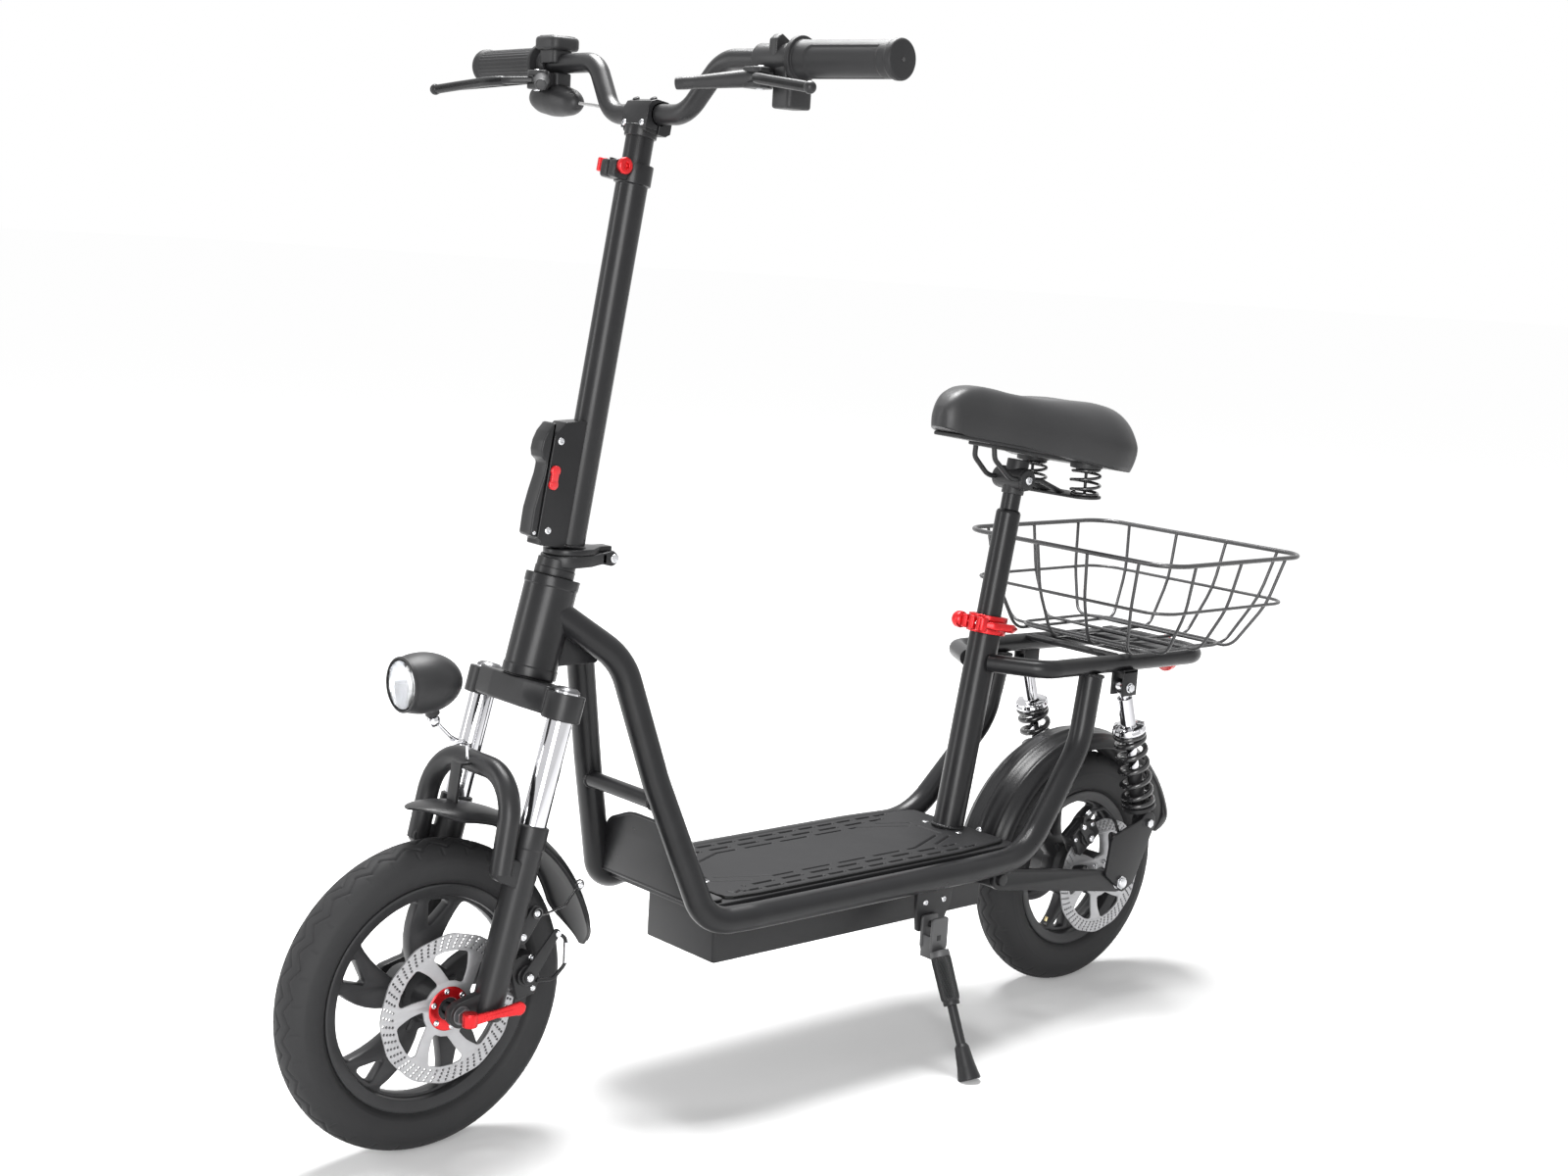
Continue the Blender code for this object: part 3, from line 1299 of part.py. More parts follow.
def make_handlebar():
    """The handlebar."""
    tube("handlebar", bar_path(), BAR_RADIUS, CAST_BLACK, fineness=4)


BAR_RUN = (BAR_TIP - BAR_BEND).normalized()


def bar_point(x):
    """The point of the left half of the handlebar's outer run at x."""
    return BAR_BEND + BAR_RUN * ((x - BAR_BEND.x) / BAR_RUN.x)


def make_grip(name, side):
    """A rubber grip with a thick inner flange and a wider closed end."""
    start = bar_point(0.222)
    length = (0.363 - 0.222) / BAR_RUN.x
    depth = (BAR_TIP - start).length + GAP
    bore = BAR_RADIUS + GAP
    profile = [
        (0, length), (0.0185, length), (
            0.0206, length - 0.002,
        ), (0.0206, length - 0.007), (0.0190, length - 0.010),
        (0.0198, 0.007), (0.0240, 0.006), (0.0240, 0), (bore, 0), (bore, depth), (0, depth),
    ]
    run = on_side(BAR_RUN, side)
    return lathe(name, profile, along(on_side(start, side), run), GRIP_RUBBER, 16, closed=False)


def make_perch(name, side, material, inner_end, root):
    """The sleeve round the bar, from the brake's perch to the switch, and the barrel for the cable."""
    inner = on_side(bar_point(inner_end), side)
    outer = on_side(bar_point(0.2195), side)
    sleeve = rod(name, inner, outer, 0.0165, material, sides=20)
    neck = rod(
        f"join_neck_{name}", on_side(bar_point(root), side), at(side * 0.190, 0.244, LEVER_LEVEL), 0.0125,
        None, 0.0105, 10,
    )
    barrel = rod(
        f"join_barrel_{name}", at(side * 0.190, 0.244, LEVER_LEVEL),
        at(side * 0.120, 0.194, LEVER_LEVEL - 0.010), 0.0095, None, 0.0062, 8,
    )
    join(sleeve, neck, barrel)
    return sleeve


def cut_bar_hole(piece, name, side):
    """Bores a piece for the handlebar, and clears the brake lever's fork."""
    start = on_side(bar_point(0.160), side)
    end = on_side(bar_point(0.235), side)
    cut(piece, rod(f"cut_bar_{name}", start, end, BAR_RADIUS + GAP, sides=20))
    slot = box(
        f"cut_fork_{name}", at(0.186, 0.2215, LEVER_LEVEL - 0.0045), at(0.212, 0.262, LEVER_LEVEL + 0.0045),
    )
    if side < 0:
        slot.data.transform(Matrix.Diagonal((-1, 1, 1, 1)))
        slot.data.flip_normals()
    cut(piece, slot)


def make_brake_lever(name, side):
    """The blade, which turns on its pivot below and ahead of the bar and ends in a ball."""
    hinge = at(side * 0.197, 0.243, LEVER_LEVEL)
    lever = rod(name, hinge - UP * 0.0039, hinge + UP * 0.0039, 0.0072, CAST_BLACK, sides=12)
    outline = [
        (0.1935, 0.2425), (0.199, 0.236), (0.216, 0.214), (0.240, 0.200), (0.290, 0.192), (0.329, 0.1875),
    ]
    outline += [(0.330, 0.1955), (0.290, 0.201), (0.244, 0.211), (0.224, 0.224), (0.2045, 0.2435)]
    blade = plate(f"join_blade_{name}", [[(side * x, y) for x, y in outline]], 0.0078, level_at(LEVER_LEVEL))
    tip = ball(f"join_tip_{name}", at(side * 0.331, 0.1915, LEVER_LEVEL), 0.0078, segments=8, rings=6)
    join(lever, blade, tip)
    pivot(lever, hinge)


def make_pod():
    """The drop-shaped housing that hangs below the display, its long axis along the bar, its tip inboard."""
    outer_end = at(-0.2340, 0.2650, 1.1530)
    length = 0.094
    profile = [(0, length), (0.0080, length - 0.003), (0.0145, length - 0.014), (0.0180, length - 0.036)]
    profile += [(0.0187, 0.044), (0.0168, 0.020), (0.0118, 0.006), (0.0050, 0), (0, 0)]
    return lathe("join_pod", profile, along(outer_end, Vector((1, -0.02, -0.08))), None, 16, closed=False)


def make_controls():
    """Grips, brake levers, the display and lock on the right, and the switch housing on the left."""
    make_grip("grip_left", 1)
    make_grip("throttle_grip", -1)
    make_brake_lever("brake_lever_left", 1)
    make_brake_lever("brake_lever_right", -1)
    switch = make_perch("switch_housing", 1, MOULDED_BLACK, inner_end=0.168, root=0.184)
    wedge_corners = [(0.254, 1.190), (0.284, 1.190), (0.281, 1.205), (0.262, 1.2165), (0.254, 1.210)]
    wedge = plate("join_wedge", [flat(wedge_corners, [0.004] * 5)], 0.012, lengthwise(0.1995))
    low_box = box("join_low_box", at(0.199, 0.255, 1.1405), at(0.229, 0.288, 1.1640))
    low_neck = box("join_low_neck", at(0.199, 0.257, 1.160), at(0.2190, 0.281, 1.186))
    join(switch, wedge, low_box, low_neck)
    cut_bar_hole(switch, "switch", 1)
    display = make_perch("display_housing", -1, MOULDED_BLACK, inner_end=0.2055, root=0.2105)
    screen = box("join_screen", at(-0.2165, 0.247, 1.2045), at(-0.1735, 0.287, 1.2205))
    edges = screen.modifiers.new("Bevel", "BEVEL")
    edges.width = 0.005
    edges.segments = 1
    pod = make_pod()
    web = box("join_pod_web", at(-0.217, 0.257, 1.150), at(-0.180, 0.279, 1.180))
    lead_path = bend(
        [at(-0.143, 0.2630, 1.1457), at(-0.115, 0.2615, 1.1438), at(-0.0925, 0.2585, 1.1415)], [0.06],
    )
    lead = tube("join_lead", lead_path, LEAD_RADIUS, fineness=0)
    join(display, screen, pod, web, lead)
    cut_bar_hole(display, "display", -1)


def make_swingarm():
    """The swingarm: two side bars, the cross tube, the rear axle with its nuts and the lower shock plates."""
    pivot_yz = (0.815, 0.205)
    axle_yz = (WHEELBASE, REAR_RADIUS)
    arm = rod("swingarm", at(-0.095, 0.866, 0.1965), at(0.095, 0.866, 0.1965), 0.011, FRAME_PAINT)
    pieces = [make_axle("join_rear_axle", REAR_AXLE, 0.0985, 0.1105)]
    for name, side in SIDES:
        x = side * 0.095
        pieces.append(
            plate(f"join_arm_{name}", [capsule(pivot_yz, axle_yz, 0.0145, 0.0145)], 0.008, lengthwise(x))
        )
        shock_yz = (SHOCK_FOOT.y - FRONT_AXLE_Y, SHOCK_FOOT.z)
        plate_outline = [
            (1.022, 0.180), (1.030, 0.232), *arc(shock_yz, 0.016, 150, -10, 4), (1.082, 0.160),
            (1.060, 0.150),
        ]
        pieces.append(plate(f"join_shock_plate_{name}", [plate_outline], 0.005, lengthwise(side * 0.1011)))
        pieces.append(
            rod(
                f"join_shock_bolt_{name}", SHOCK_FOOT + LEFT * side * 0.0815,
                SHOCK_FOOT + LEFT * side * 0.1085, 0.004, sides=8,
            )
        )
    join(arm, *pieces)
    for name, side in SIDES:
        hole = rod(
            f"cut_pivot_{name}", SWING_PIVOT + LEFT * side * 0.085, SWING_PIVOT + LEFT * side * 0.105,
            0.008 + SLIDE, sides=12,
        )
        cut(arm, hole)
    pivot(arm, SWING_PIVOT)


def make_shock(name, side):
    """A shock absorber: the body on the swingarm, the chrome shaft on the rack, the coil between them."""
    top = SHOCK_TOP + LEFT * side * SHOCK_X
    foot = SHOCK_FOOT + LEFT * side * SHOCK_X
    axis = (top - foot).normalized()
    length = (top - foot).length
    frame = along(foot, axis)
    low_seat = 0.028
    high_seat = length - 0.068
    seat_radius = 0.0235
    body_top = low_seat + 0.054
    rod_radius = 0.0072
    profile = [
        (0, low_seat - 0.006), (
            rod_radius + SLIDE, low_seat - 0.006,
        ), (rod_radius + SLIDE, body_top), (0.0105, body_top),
        (0.0105, low_seat), (seat_radius, low_seat), (
            seat_radius, low_seat - 0.005,
        ), (0.0077, low_seat - 0.010),
        (0.0077, 0.004), (0, 0.004),
    ]
    body = lathe(f"shock_{name}_body", profile, frame, CAST_BLACK, 12, closed=False)
    eye = rod(f"join_eye_{name}", foot - LEFT * 0.0078, foot + LEFT * 0.0078, 0.011, sides=12)
    hole = rod(f"cut_eye_{name}", foot - LEFT * 0.02, foot + LEFT * 0.02, 0.004 + SLIDE, sides=8)
    join(body, eye)
    cut(body, hole)
    chrome_top = length - 0.0155
    profile = [
        (0, chrome_top), (0.0105, chrome_top), (0.0105, high_seat + 0.010), (0.020, high_seat + 0.008), (
            seat_radius, high_seat + 0.005,
        ),
        (seat_radius, high_seat), (rod_radius, high_seat), (
            rod_radius, low_seat + 0.038,
        ), (0, low_seat + 0.038),
    ]
    shaft = lathe(f"shock_{name}_shaft", profile, frame, CHROME, 12, closed=False)
    upper_eye = rod(f"join_upper_eye_{name}", top - LEFT * 0.0070, top + LEFT * 0.0070, 0.0105, sides=12)
    upper_hole = rod(f"cut_upper_eye_{name}", top - LEFT * 0.02, top + LEFT * 0.02, 0.0052, sides=8)
    neck = rod(f"join_shaft_neck_{name}", top - axis * 0.020, top - axis * 0.004, 0.0066)
    join(shaft, neck, upper_eye)
    cut(shaft, upper_hole)
    wire = 0.0040
    start = foot + axis * (low_seat + GAP)
    path = coil_path(start, axis, seat_radius - wire - 0.0005, wire, high_seat - low_seat - 2 * GAP, 6)
    spring = tube(f"shock_{name}_spring", path, wire, SPRING_PAINT, fineness=1)
    pivot(spring, foot)
    print(f"shock spring gap {1000 * self_gap(path, wire):.2f} mm")


def hang_assemblies():
    """Parents each moving assembly to an empty on its joint."""
    assemblies = {
        "steering_axis": (STEER_POINT, ["fork_crown", "stanchion_left", "stanchion_right", "stem_base"]),
        "fork_slide": (FRONT_AXLE, ["fork_lowers", "front_caliper", "front_fender", "headlight_bracket"]),
        "front_wheel_axis": (FRONT_AXLE, ["front_tyre", "front_rim", "front_rotor"]),
        "rear_wheel_axis": (REAR_AXLE, ["rear_tyre", "rear_rim", "rear_rotor"]),
        "fold_axis": (FOLD_PIN, ["stem_tube", "stem_bolt", "latch_button"]),
        "bar_slide": (
            BAR_CENTRE, ["upper_tube", "handlebar", "grip_left", "switch_housing", "display_housing"],
        ),
        "throttle_axis": (mirror_x(bar_point(0.30)), ["throttle_grip"]),
        "seat_slide": (
            seat_at(0.524), [
                "seat_post", "saddle_frame", "saddle_pad", "saddle_spring_left", "saddle_spring_right",
            ],
        ),
        "swing_axis": (SWING_PIVOT, ["rear_fender", "rear_caliper"]),
        "stand_slide": (STAND_PIVOT, ["kickstand_foot"]),
    }
    for name, side in SIDES:
        foot = SHOCK_FOOT + LEFT * side * SHOCK_X
        assemblies[f"shock_axis_{name}"] = (foot, [f"shock_{name}_body", f"shock_{name}_shaft"])
    for name, (point, pieces) in assemblies.items():
        hang(name, point, *[PARTS.objects[piece] for piece in pieces])


def build():
    """Makes every piece of the scooter."""
    guides = make_guides()
    make_head_tube(guides)
    make_rails(guides)
    make_crossbar(guides)
    make_nose_cover(guides)
    make_battery_box(guides)
    make_deck_mat(guides)
    make_seat_tube()
    make_rack(guides)
    make_basket()
    make_reflector()
    make_stand(guides)
    make_seat_clamp()
    make_seat_post()
    make_saddle_pad()
    make_saddle_frame()
    make_saddle_springs()
    make_swingarm()
    make_rear_fender()
    for name, side in SIDES:
        make_shock(name, side)
    make_wheels()
    make_calipers()
    make_fork_crown()
    make_stanchions()
    make_fork_lowers()
    make_front_lever()
    make_front_fender()
    make_headlight()
    make_stem_base()
    make_stem_tube()
    make_latch()
    make_stem_lever()
    make_upper_tube()
    make_handlebar()
    make_controls()
    hang_assemblies()


build()
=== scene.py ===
"""The looks of a folding electric scooter: paint, castings, rubber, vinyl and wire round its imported
solids."""

import math

import bmesh
import bpy
import numpy as np
from mathutils import Matrix


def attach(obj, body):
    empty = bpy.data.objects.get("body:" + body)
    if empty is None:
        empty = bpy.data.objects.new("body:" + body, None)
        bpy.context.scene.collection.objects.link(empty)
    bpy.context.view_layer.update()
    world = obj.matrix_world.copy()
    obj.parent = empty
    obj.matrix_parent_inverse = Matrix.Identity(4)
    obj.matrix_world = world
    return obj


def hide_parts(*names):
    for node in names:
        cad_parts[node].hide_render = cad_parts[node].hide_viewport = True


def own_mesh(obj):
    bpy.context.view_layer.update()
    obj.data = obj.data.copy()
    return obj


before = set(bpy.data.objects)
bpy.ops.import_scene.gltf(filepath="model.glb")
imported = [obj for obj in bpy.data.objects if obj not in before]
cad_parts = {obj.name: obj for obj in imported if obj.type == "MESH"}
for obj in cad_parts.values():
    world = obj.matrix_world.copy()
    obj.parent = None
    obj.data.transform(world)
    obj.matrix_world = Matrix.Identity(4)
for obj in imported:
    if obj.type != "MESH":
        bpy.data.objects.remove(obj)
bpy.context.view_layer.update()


# The photograph's camera: it stands ahead of the scooter on its left, a little above the saddle, and looks
# slightly down. The lens is given by its focal length against a film 36 mm wide.
CAMERA_PLACE = (1.96459, -1.8226, 1.01871)
CAMERA_TURN = math.radians(47.01)
CAMERA_DIP = math.radians(10.17)
CAMERA_ROLL = math.radians(3.7)

view_line = np.array((
    -math.sin(CAMERA_TURN) * math.cos(CAMERA_DIP), math.cos(CAMERA_TURN) * math.cos(CAMERA_DIP),
    -math.sin(CAMERA_DIP),
))
level_right = np.array((math.cos(CAMERA_TURN), math.sin(CAMERA_TURN), 0.0))
level_up = np.cross(level_right, view_line)
camera_right = math.cos(CAMERA_ROLL) * level_right + math.sin(CAMERA_ROLL) * level_up
camera_up = math.cos(CAMERA_ROLL) * level_up - math.sin(CAMERA_ROLL) * level_right

camera_data = bpy.data.cameras.new("photograph_camera")
camera_data.lens = 50.753
camera_data.sensor_width = 36.0
camera_data.shift_x = -0.02703
camera_data.shift_y = 0.02685
camera_data.clip_end = 50.0
camera = bpy.data.objects.new("photograph_camera", camera_data)


def standing(right, top, back, place):
    """The matrix of an object whose own axes are the three directions, at a place."""
    columns = np.column_stack((right, top, back, place))
    return Matrix([*columns.tolist(), (0.0, 0.0, 0.0, 1.0)])


camera.matrix_world = standing(camera_right, camera_up, -view_line, CAMERA_PLACE)
bpy.context.scene.collection.objects.link(camera)
bpy.context.scene.camera = camera
bpy.context.scene.view_settings.view_transform = "Standard"


# The studio: a matt white floor that keeps the scooter's shadow, a white room, and three large soft lamps.
# Rays from the camera, and those that metal and glass send on, see the floor and the room as white.
FLOOR_HALF = 45.0
WHITE = (1, 1, 1, 1)


def fill(tree, filled, sockets):
    """The node with a plain value put on each named socket, or the output of another node linked to it."""
    for label, value in sockets.items():
        if isinstance(value, bpy.types.NodeSocket):
            tree.links.new(value, filled.inputs[label])
        else:
            filled.inputs[label].default_value = value
    return filled


def node(tree, kind, sockets=(), **settings):
    """A new shader node of a kind, with its settings made first and its sockets filled after them."""
    made = tree.nodes.new(f"ShaderNode{kind}")
    for label, value in settings.items():
        setattr(made, label, value)
    return fill(tree, made, dict(sockets))


def seen_directly(tree):
    """1 for camera, glossy and transmission rays, 0 for the rays that carry light."""
    rays = node(tree, "LightPath").outputs
    first = node(tree, "Math", {0: rays["Is Camera Ray"], 1: rays["Is Glossy Ray"]}, operation="MAXIMUM")
    second = {0: first.outputs[0], 1: rays["Is Transmission Ray"]}
    return node(tree, "Math", second, operation="MAXIMUM").outputs[0]


floor_material = bpy.data.materials.new("studio_floor")
floor_material.use_nodes = True
floor_tree = floor_material.node_tree
floor_tree.nodes.clear()
floor_place = node(floor_tree, "TexCoord").outputs["Object"]
floor_reach = node(floor_tree, "VectorMath", {0: floor_place}, operation="LENGTH").outputs["Value"]
floor_fade = node(
    floor_tree, "MapRange",
    {"Value": floor_reach, "From Min": 0.9, "From Max": 3.2, "To Min": 0.16, "To Max": 0.8},
).outputs["Result"]
floor_level = node(floor_tree, "Math", {0: seen_directly(floor_tree), 1: floor_fade}, operation="MULTIPLY")
floor_glow = node(floor_tree, "Emission", {"Color": WHITE, "Strength": floor_level.outputs[0]})
floor_matt = node(floor_tree, "BsdfDiffuse", {"Color": (0.86, 0.86, 0.86, 1)})
floor_sum = node(floor_tree, "AddShader", {0: floor_matt.outputs[0], 1: floor_glow.outputs[0]})
node(floor_tree, "OutputMaterial", {"Surface": floor_sum.outputs[0]})

floor_corners = [(x * FLOOR_HALF, y * FLOOR_HALF, 0) for x, y in ((-1, -1), (1, -1), (1, 1), (-1, 1))]
floor_mesh = bpy.data.meshes.new("floor")
floor_mesh.from_pydata(floor_corners, [], [(0, 1, 2, 3)])
floor_mesh.materials.append(floor_material)
floor = bpy.data.objects.new("floor", floor_mesh)
bpy.context.scene.collection.objects.link(floor)

room = bpy.data.worlds.new("studio")
bpy.context.scene.world = room
room.use_nodes = True
room_tree = room.node_tree
room_level = node(room_tree, "MapRange", {"Value": seen_directly(room_tree), "To Min": 0.22, "To Max": 1.0})
room_light = {"Color": WHITE, "Strength": room_level.outputs["Result"]}
fill(room_tree, room_tree.nodes["Background"], room_light)


def soft_lamp(name, place, target, width, height, power):
    """A rectangular lamp at a place, turned toward a target."""
    lamp_data = bpy.data.lights.new(name, "AREA")
    lamp_data.shape = "RECTANGLE"
    lamp_data.size = width
    lamp_data.size_y = height
    lamp_data.energy = power
    lamp = bpy.data.objects.new(name, lamp_data)
    back = np.array(place, float) - np.array(target, float)
    back /= np.linalg.norm(back)
    right = np.cross((0.0, 0.0, 1.0), back)
    right /= np.linalg.norm(right)
    lamp.matrix_world = standing(right, np.cross(back, right), back, place)
    bpy.context.scene.collection.objects.link(lamp)


soft_lamp("key_lamp", (2.5, -2.6, 1.25), (0, 0, 0.75), 1.5, 2.3, 102)
soft_lamp("side_lamp", (-1.5, -2.7, 1.2), (0, 0, 0.6), 0.35, 2.0, 24)
soft_lamp("top_lamp", (-0.6, 0.2, 3.0), (0, 0, 0.3), 1.2, 1.6, 185)


# Black satin paint, sprayed and baked on the steel frame. Two effects that the other finishes use too are
# made here: a fine grain in the skin, and the slow drift in tone and gloss of a surface that is handled.
def new_group(name, inputs, outputs):
    """An empty shader node group with the named sockets, then what comes in by them and its last node."""
    tree = bpy.data.node_groups.new(name, "ShaderNodeTree")
    for label, kind, value in inputs:
        tree.interface.new_socket(label, in_out="INPUT", socket_type=kind).default_value = value
    for label, kind in outputs:
        tree.interface.new_socket(label, in_out="OUTPUT", socket_type=kind)
    return tree, tree.nodes.new("NodeGroupInput").outputs, tree.nodes.new("NodeGroupOutput")


FLOAT = "NodeSocketFloat"
COLOUR = "NodeSocketColor"
BLACK = (0, 0, 0, 1)

grain_group, grain_in, grain_out = new_group("grain", [("Scale", FLOAT, 900.0)], [("Height", FLOAT)])
grain_place = node(grain_group, "TexCoord").outputs["Object"]
grain_noise = node(
    grain_group, "TexNoise",
    {"Vector": grain_place, "Scale": grain_in["Scale"], "Detail": 3.0, "Roughness": 0.55},
)
fill(grain_group, grain_out, {"Height": grain_noise.outputs["Fac"]})

drift_group, drift_in, drift_out = new_group(
    "handled", [
        ("Colour", COLOUR, BLACK), ("Worn", COLOUR, BLACK), ("Scale", FLOAT, 30.0),
        ("Roughness", FLOAT, 0.4), ("Spread", FLOAT, 0.05),
    ], [("Colour", COLOUR), ("Roughness", FLOAT)],
)
drift_place = node(drift_group, "TexCoord").outputs["Object"]
drift_noise = node(
    drift_group, "TexNoise", {"Vector": drift_place, "Scale": drift_in["Scale"], "Detail": 5.0},
)
drift_noise = drift_noise.outputs["Fac"]
drift_tone = node(drift_group, "Mix", data_type="RGBA")
fill(drift_group, drift_tone, {"Factor": drift_noise, "A": drift_in["Colour"], "B": drift_in["Worn"]})
drift_offset = node(drift_group, "Math", {0: drift_noise, 1: 0.5}, operation="SUBTRACT").outputs[0]
drift_gloss = node(drift_group, "Math", operation="MULTIPLY_ADD")
fill(drift_group, drift_gloss, {0: drift_offset, 1: drift_in["Spread"], 2: drift_in["Roughness"]})
fill(drift_group, drift_out, {"Colour": drift_tone.outputs["Result"], "Roughness": drift_gloss.outputs[0]})


def finish(
    name, colour, worn, roughness, metallic=0.0, spread=0.12, drift=30.0, grain=900.0, depth=0.00002,
    specular=0.5, **sockets,
):
    """A material of the two shared effects: colour drifts toward worn, and grain is the skin's relief in
    metres. The other values go on the shader's own sockets."""
    material = bpy.data.materials.new(name)
    material.use_nodes = True
    tree = material.node_tree
    handled = node(tree, "Group", node_tree=drift_group, name="handled")
    fill(tree, handled, {"Colour": (*colour, 1), "Worn": (*worn, 1), "Scale": drift, "Roughness": roughness})
    fill(tree, handled, {"Spread": spread})
    skin_grain = node(tree, "Group", node_tree=grain_group)
    fill(tree, skin_grain, {"Scale": grain})
    bump = node(tree, "Bump", {"Distance": depth, "Height": skin_grain.outputs["Height"]})
    fill(
        tree, tree.nodes["Principled BSDF"], {
            "Metallic": metallic, "Specular IOR Level": specular, "Base Color": handled.outputs["Colour"],
            "Roughness": handled.outputs["Roughness"], "Normal": bump.outputs["Normal"],
            **{label.replace("_", " "): value for label, value in sockets.items()},
        },
    )
    return material


frame_paint = finish(
    "black_satin_paint", (0.01, 0.01, 0.011), (0.016, 0.016, 0.017), 0.3, grain=1400.0, specular=0.26,
)


# The two bent rails and the cross bar: drawn steel tube 32 mm and 19 mm across, welded to the head tube.
# Each is a circle carried along its middle line, whose corners are arcs. Lengths are told from the front
# axle, which stands MIDDLE ahead of the frame's origin.
RAIL_RADIUS = 0.016
MIDDLE = 0.559
SIDES = (("left", 1.0), ("right", -1.0))


def at(x, y, z):
    """The point x to the rider's left, y behind the front axle and z above the ground."""
    return np.array((x, y - MIDDLE, z))


def mirrored(points):
    """The same points on the rider's right."""
    return np.asarray(points, float) * (-1.0, 1.0, 1.0)


def rounded(corners, radii, step=6.0, closed=False):
    """A path in two or three dimensions through the corners, each rounded by an arc of its radius: the arc's
    points are the weighted sums of its first and last radius, as sin((1 - t) a) and sin(t a) over sin a."""
    corners = [np.asarray(corner, float) for corner in corners]
    radii = list(radii) if hasattr(radii, "__len__") else [radii] * (
        len(corners) if closed else len(corners) - 2
    )
    if closed:
        corners = [corners[-1], *corners, corners[0]]
    path = [] if closed else [corners[0]]
    for before, corner, after, radius in zip(corners, corners[1:], corners[2:], radii):
        inward, outward = before - corner, after - corner
        reach = 0.49 * min(np.linalg.norm(inward), np.linalg.norm(outward))
        inward, outward = inward / np.linalg.norm(inward), outward / np.linalg.norm(outward)
        half = math.acos(max(-1.0, min(1.0, float(inward @ outward)))) / 2
        radius = min(radius, reach * math.tan(half))
        turn = math.pi - 2 * half
        if radius < 1e-7 or turn < 1e-3:
            path.append(corner)
            continue
        middle = inward + outward
        centre = corner + middle / np.linalg.norm(middle) * radius / math.sin(half)
        first = corner + inward * radius / math.tan(half) - centre
        last = corner + outward * radius / math.tan(half) - centre
        share = np.linspace(0, 1, max(2, math.ceil(math.degrees(turn) / step)) + 1)[:, None]
        path.extend(
            centre + (np.sin((1 - share) * turn) * first + np.sin(share * turn) * last) / math.sin(turn)
        )
    if not closed:
        path.append(corners[-1])
    return np.array(path)


def skin(points, ring=True, loop=False, ends=True):
    """The vertices and faces over a grid of points. ring joins the columns round, loop joins the rows round,
    and ends fills the first and the last row."""
    index = np.arange(points.shape[0] * points.shape[1]).reshape(points.shape[:2])
    right = np.roll(index, -1, axis=1)
    quads = np.stack((index, right, np.roll(right, -1, axis=0), np.roll(index, -1, axis=0)), axis=-1)
    quads = quads if ring else quads[:, :-1]
    quads = quads if loop else quads[:-1]
    faces = quads.reshape(-1, 4).tolist()
    if ends and ring and not loop:
        faces += [index[0][::-1].tolist(), index[-1].tolist()]
    return points.reshape(-1, 3), faces


def tube(path, radius, side, sides=28, closed=False):
    """A circle carried along a path: side is a direction that the path never follows, from which each
    circle's two axes are worked out."""
    path = np.asarray(path, float)
    ahead = np.roll(path, -1, axis=0) - np.roll(path, 1, axis=0)
    if not closed:
        ahead[0], ahead[-1] = path[1] - path[0], path[-1] - path[-2]
    ahead /= np.linalg.norm(ahead, axis=1)[:, None]
    first = side - ahead * (ahead @ side)[:, None]
    first /= np.linalg.norm(first, axis=1)[:, None]
    second = np.cross(ahead, first)
    angle = np.linspace(0, math.tau, sides, endpoint=False)[None, :, None]
    size = np.broadcast_to(np.asarray(radius, float), len(path))[:, None, None]
    return skin(
        path[:, None] + size * (np.cos(angle) * first[:, None] + np.sin(angle) * second[:, None]),
        loop=closed,
    )


def piece(name, shapes, material, body, replaced=(), sharp=35.0, merge=1e-6):
    """One object out of several shapes of vertices and faces, riding on a body in place of the named
    solids."""
    vertices, faces, count = [], [], 0
    for shape_vertices, shape_faces in shapes:
        vertices.append(np.asarray(shape_vertices, float))
        faces += [[corner + count for corner in face] for face in shape_faces]
        count += len(shape_vertices)
    mesh = bpy.data.meshes.new(name)
    mesh.from_pydata(np.concatenate(vertices).tolist(), [], faces)
    bm = bmesh.new()
    bm.from_mesh(mesh)
    bmesh.ops.remove_doubles(bm, verts=bm.verts, dist=merge)
    bmesh.ops.dissolve_degenerate(bm, edges=bm.edges, dist=1e-8)
    bmesh.ops.recalc_face_normals(bm, faces=bm.faces)
    bm.to_mesh(mesh)
    bm.free()
    mesh.shade_smooth()
    mesh.set_sharp_from_angle(angle=math.radians(sharp))
    mesh.materials.append(material)
    obj = bpy.data.objects.new(name, mesh)
    bpy.context.scene.collection.objects.link(obj)
    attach(obj, body)
    if replaced:
        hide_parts(*replaced)
    return obj


ACROSS = np.array((1.0, 0.0, 0.0))
LENGTHWAYS = np.array((0.0, 1.0, 0.0))
UPRIGHT = np.array((0.0, 0.0, 1.0))

rail_corners = [
    at(0.012, 0.14, 0.596), at(0.04, 0.222, 0.536), at(0.065, 0.259, 0.397), at(0.103, 0.313, 0.231),
    at(0.116, 0.372, 0.234), at(0.116, 0.74, 0.234), at(0.107, 0.846, 0.234), at(0.088, 0.961, 0.367),
    at(0.0835, 0.9785, 0.458),
]
rail_line = rounded(rail_corners, [0.075, 0.2, 0.045, 0.05, 0.3, 0.095, 0.095], 4.0)
for name, mirror in SIDES:
    rail = tube(rail_line * (mirror, 1.0, 1.0), RAIL_RADIUS, ACROSS, 36)
    piece(f"rail_tube_{name}", [rail], frame_paint, "frame", [f"frame_rail_{name}"])
cross_bar = [at(-0.06, 0.262, 0.372), at(0.06, 0.262, 0.372)]
piece(
    "cross_bar", [tube(cross_bar, 0.0095, UPRIGHT)], frame_paint, "frame", ["frame_crossbar"],
)


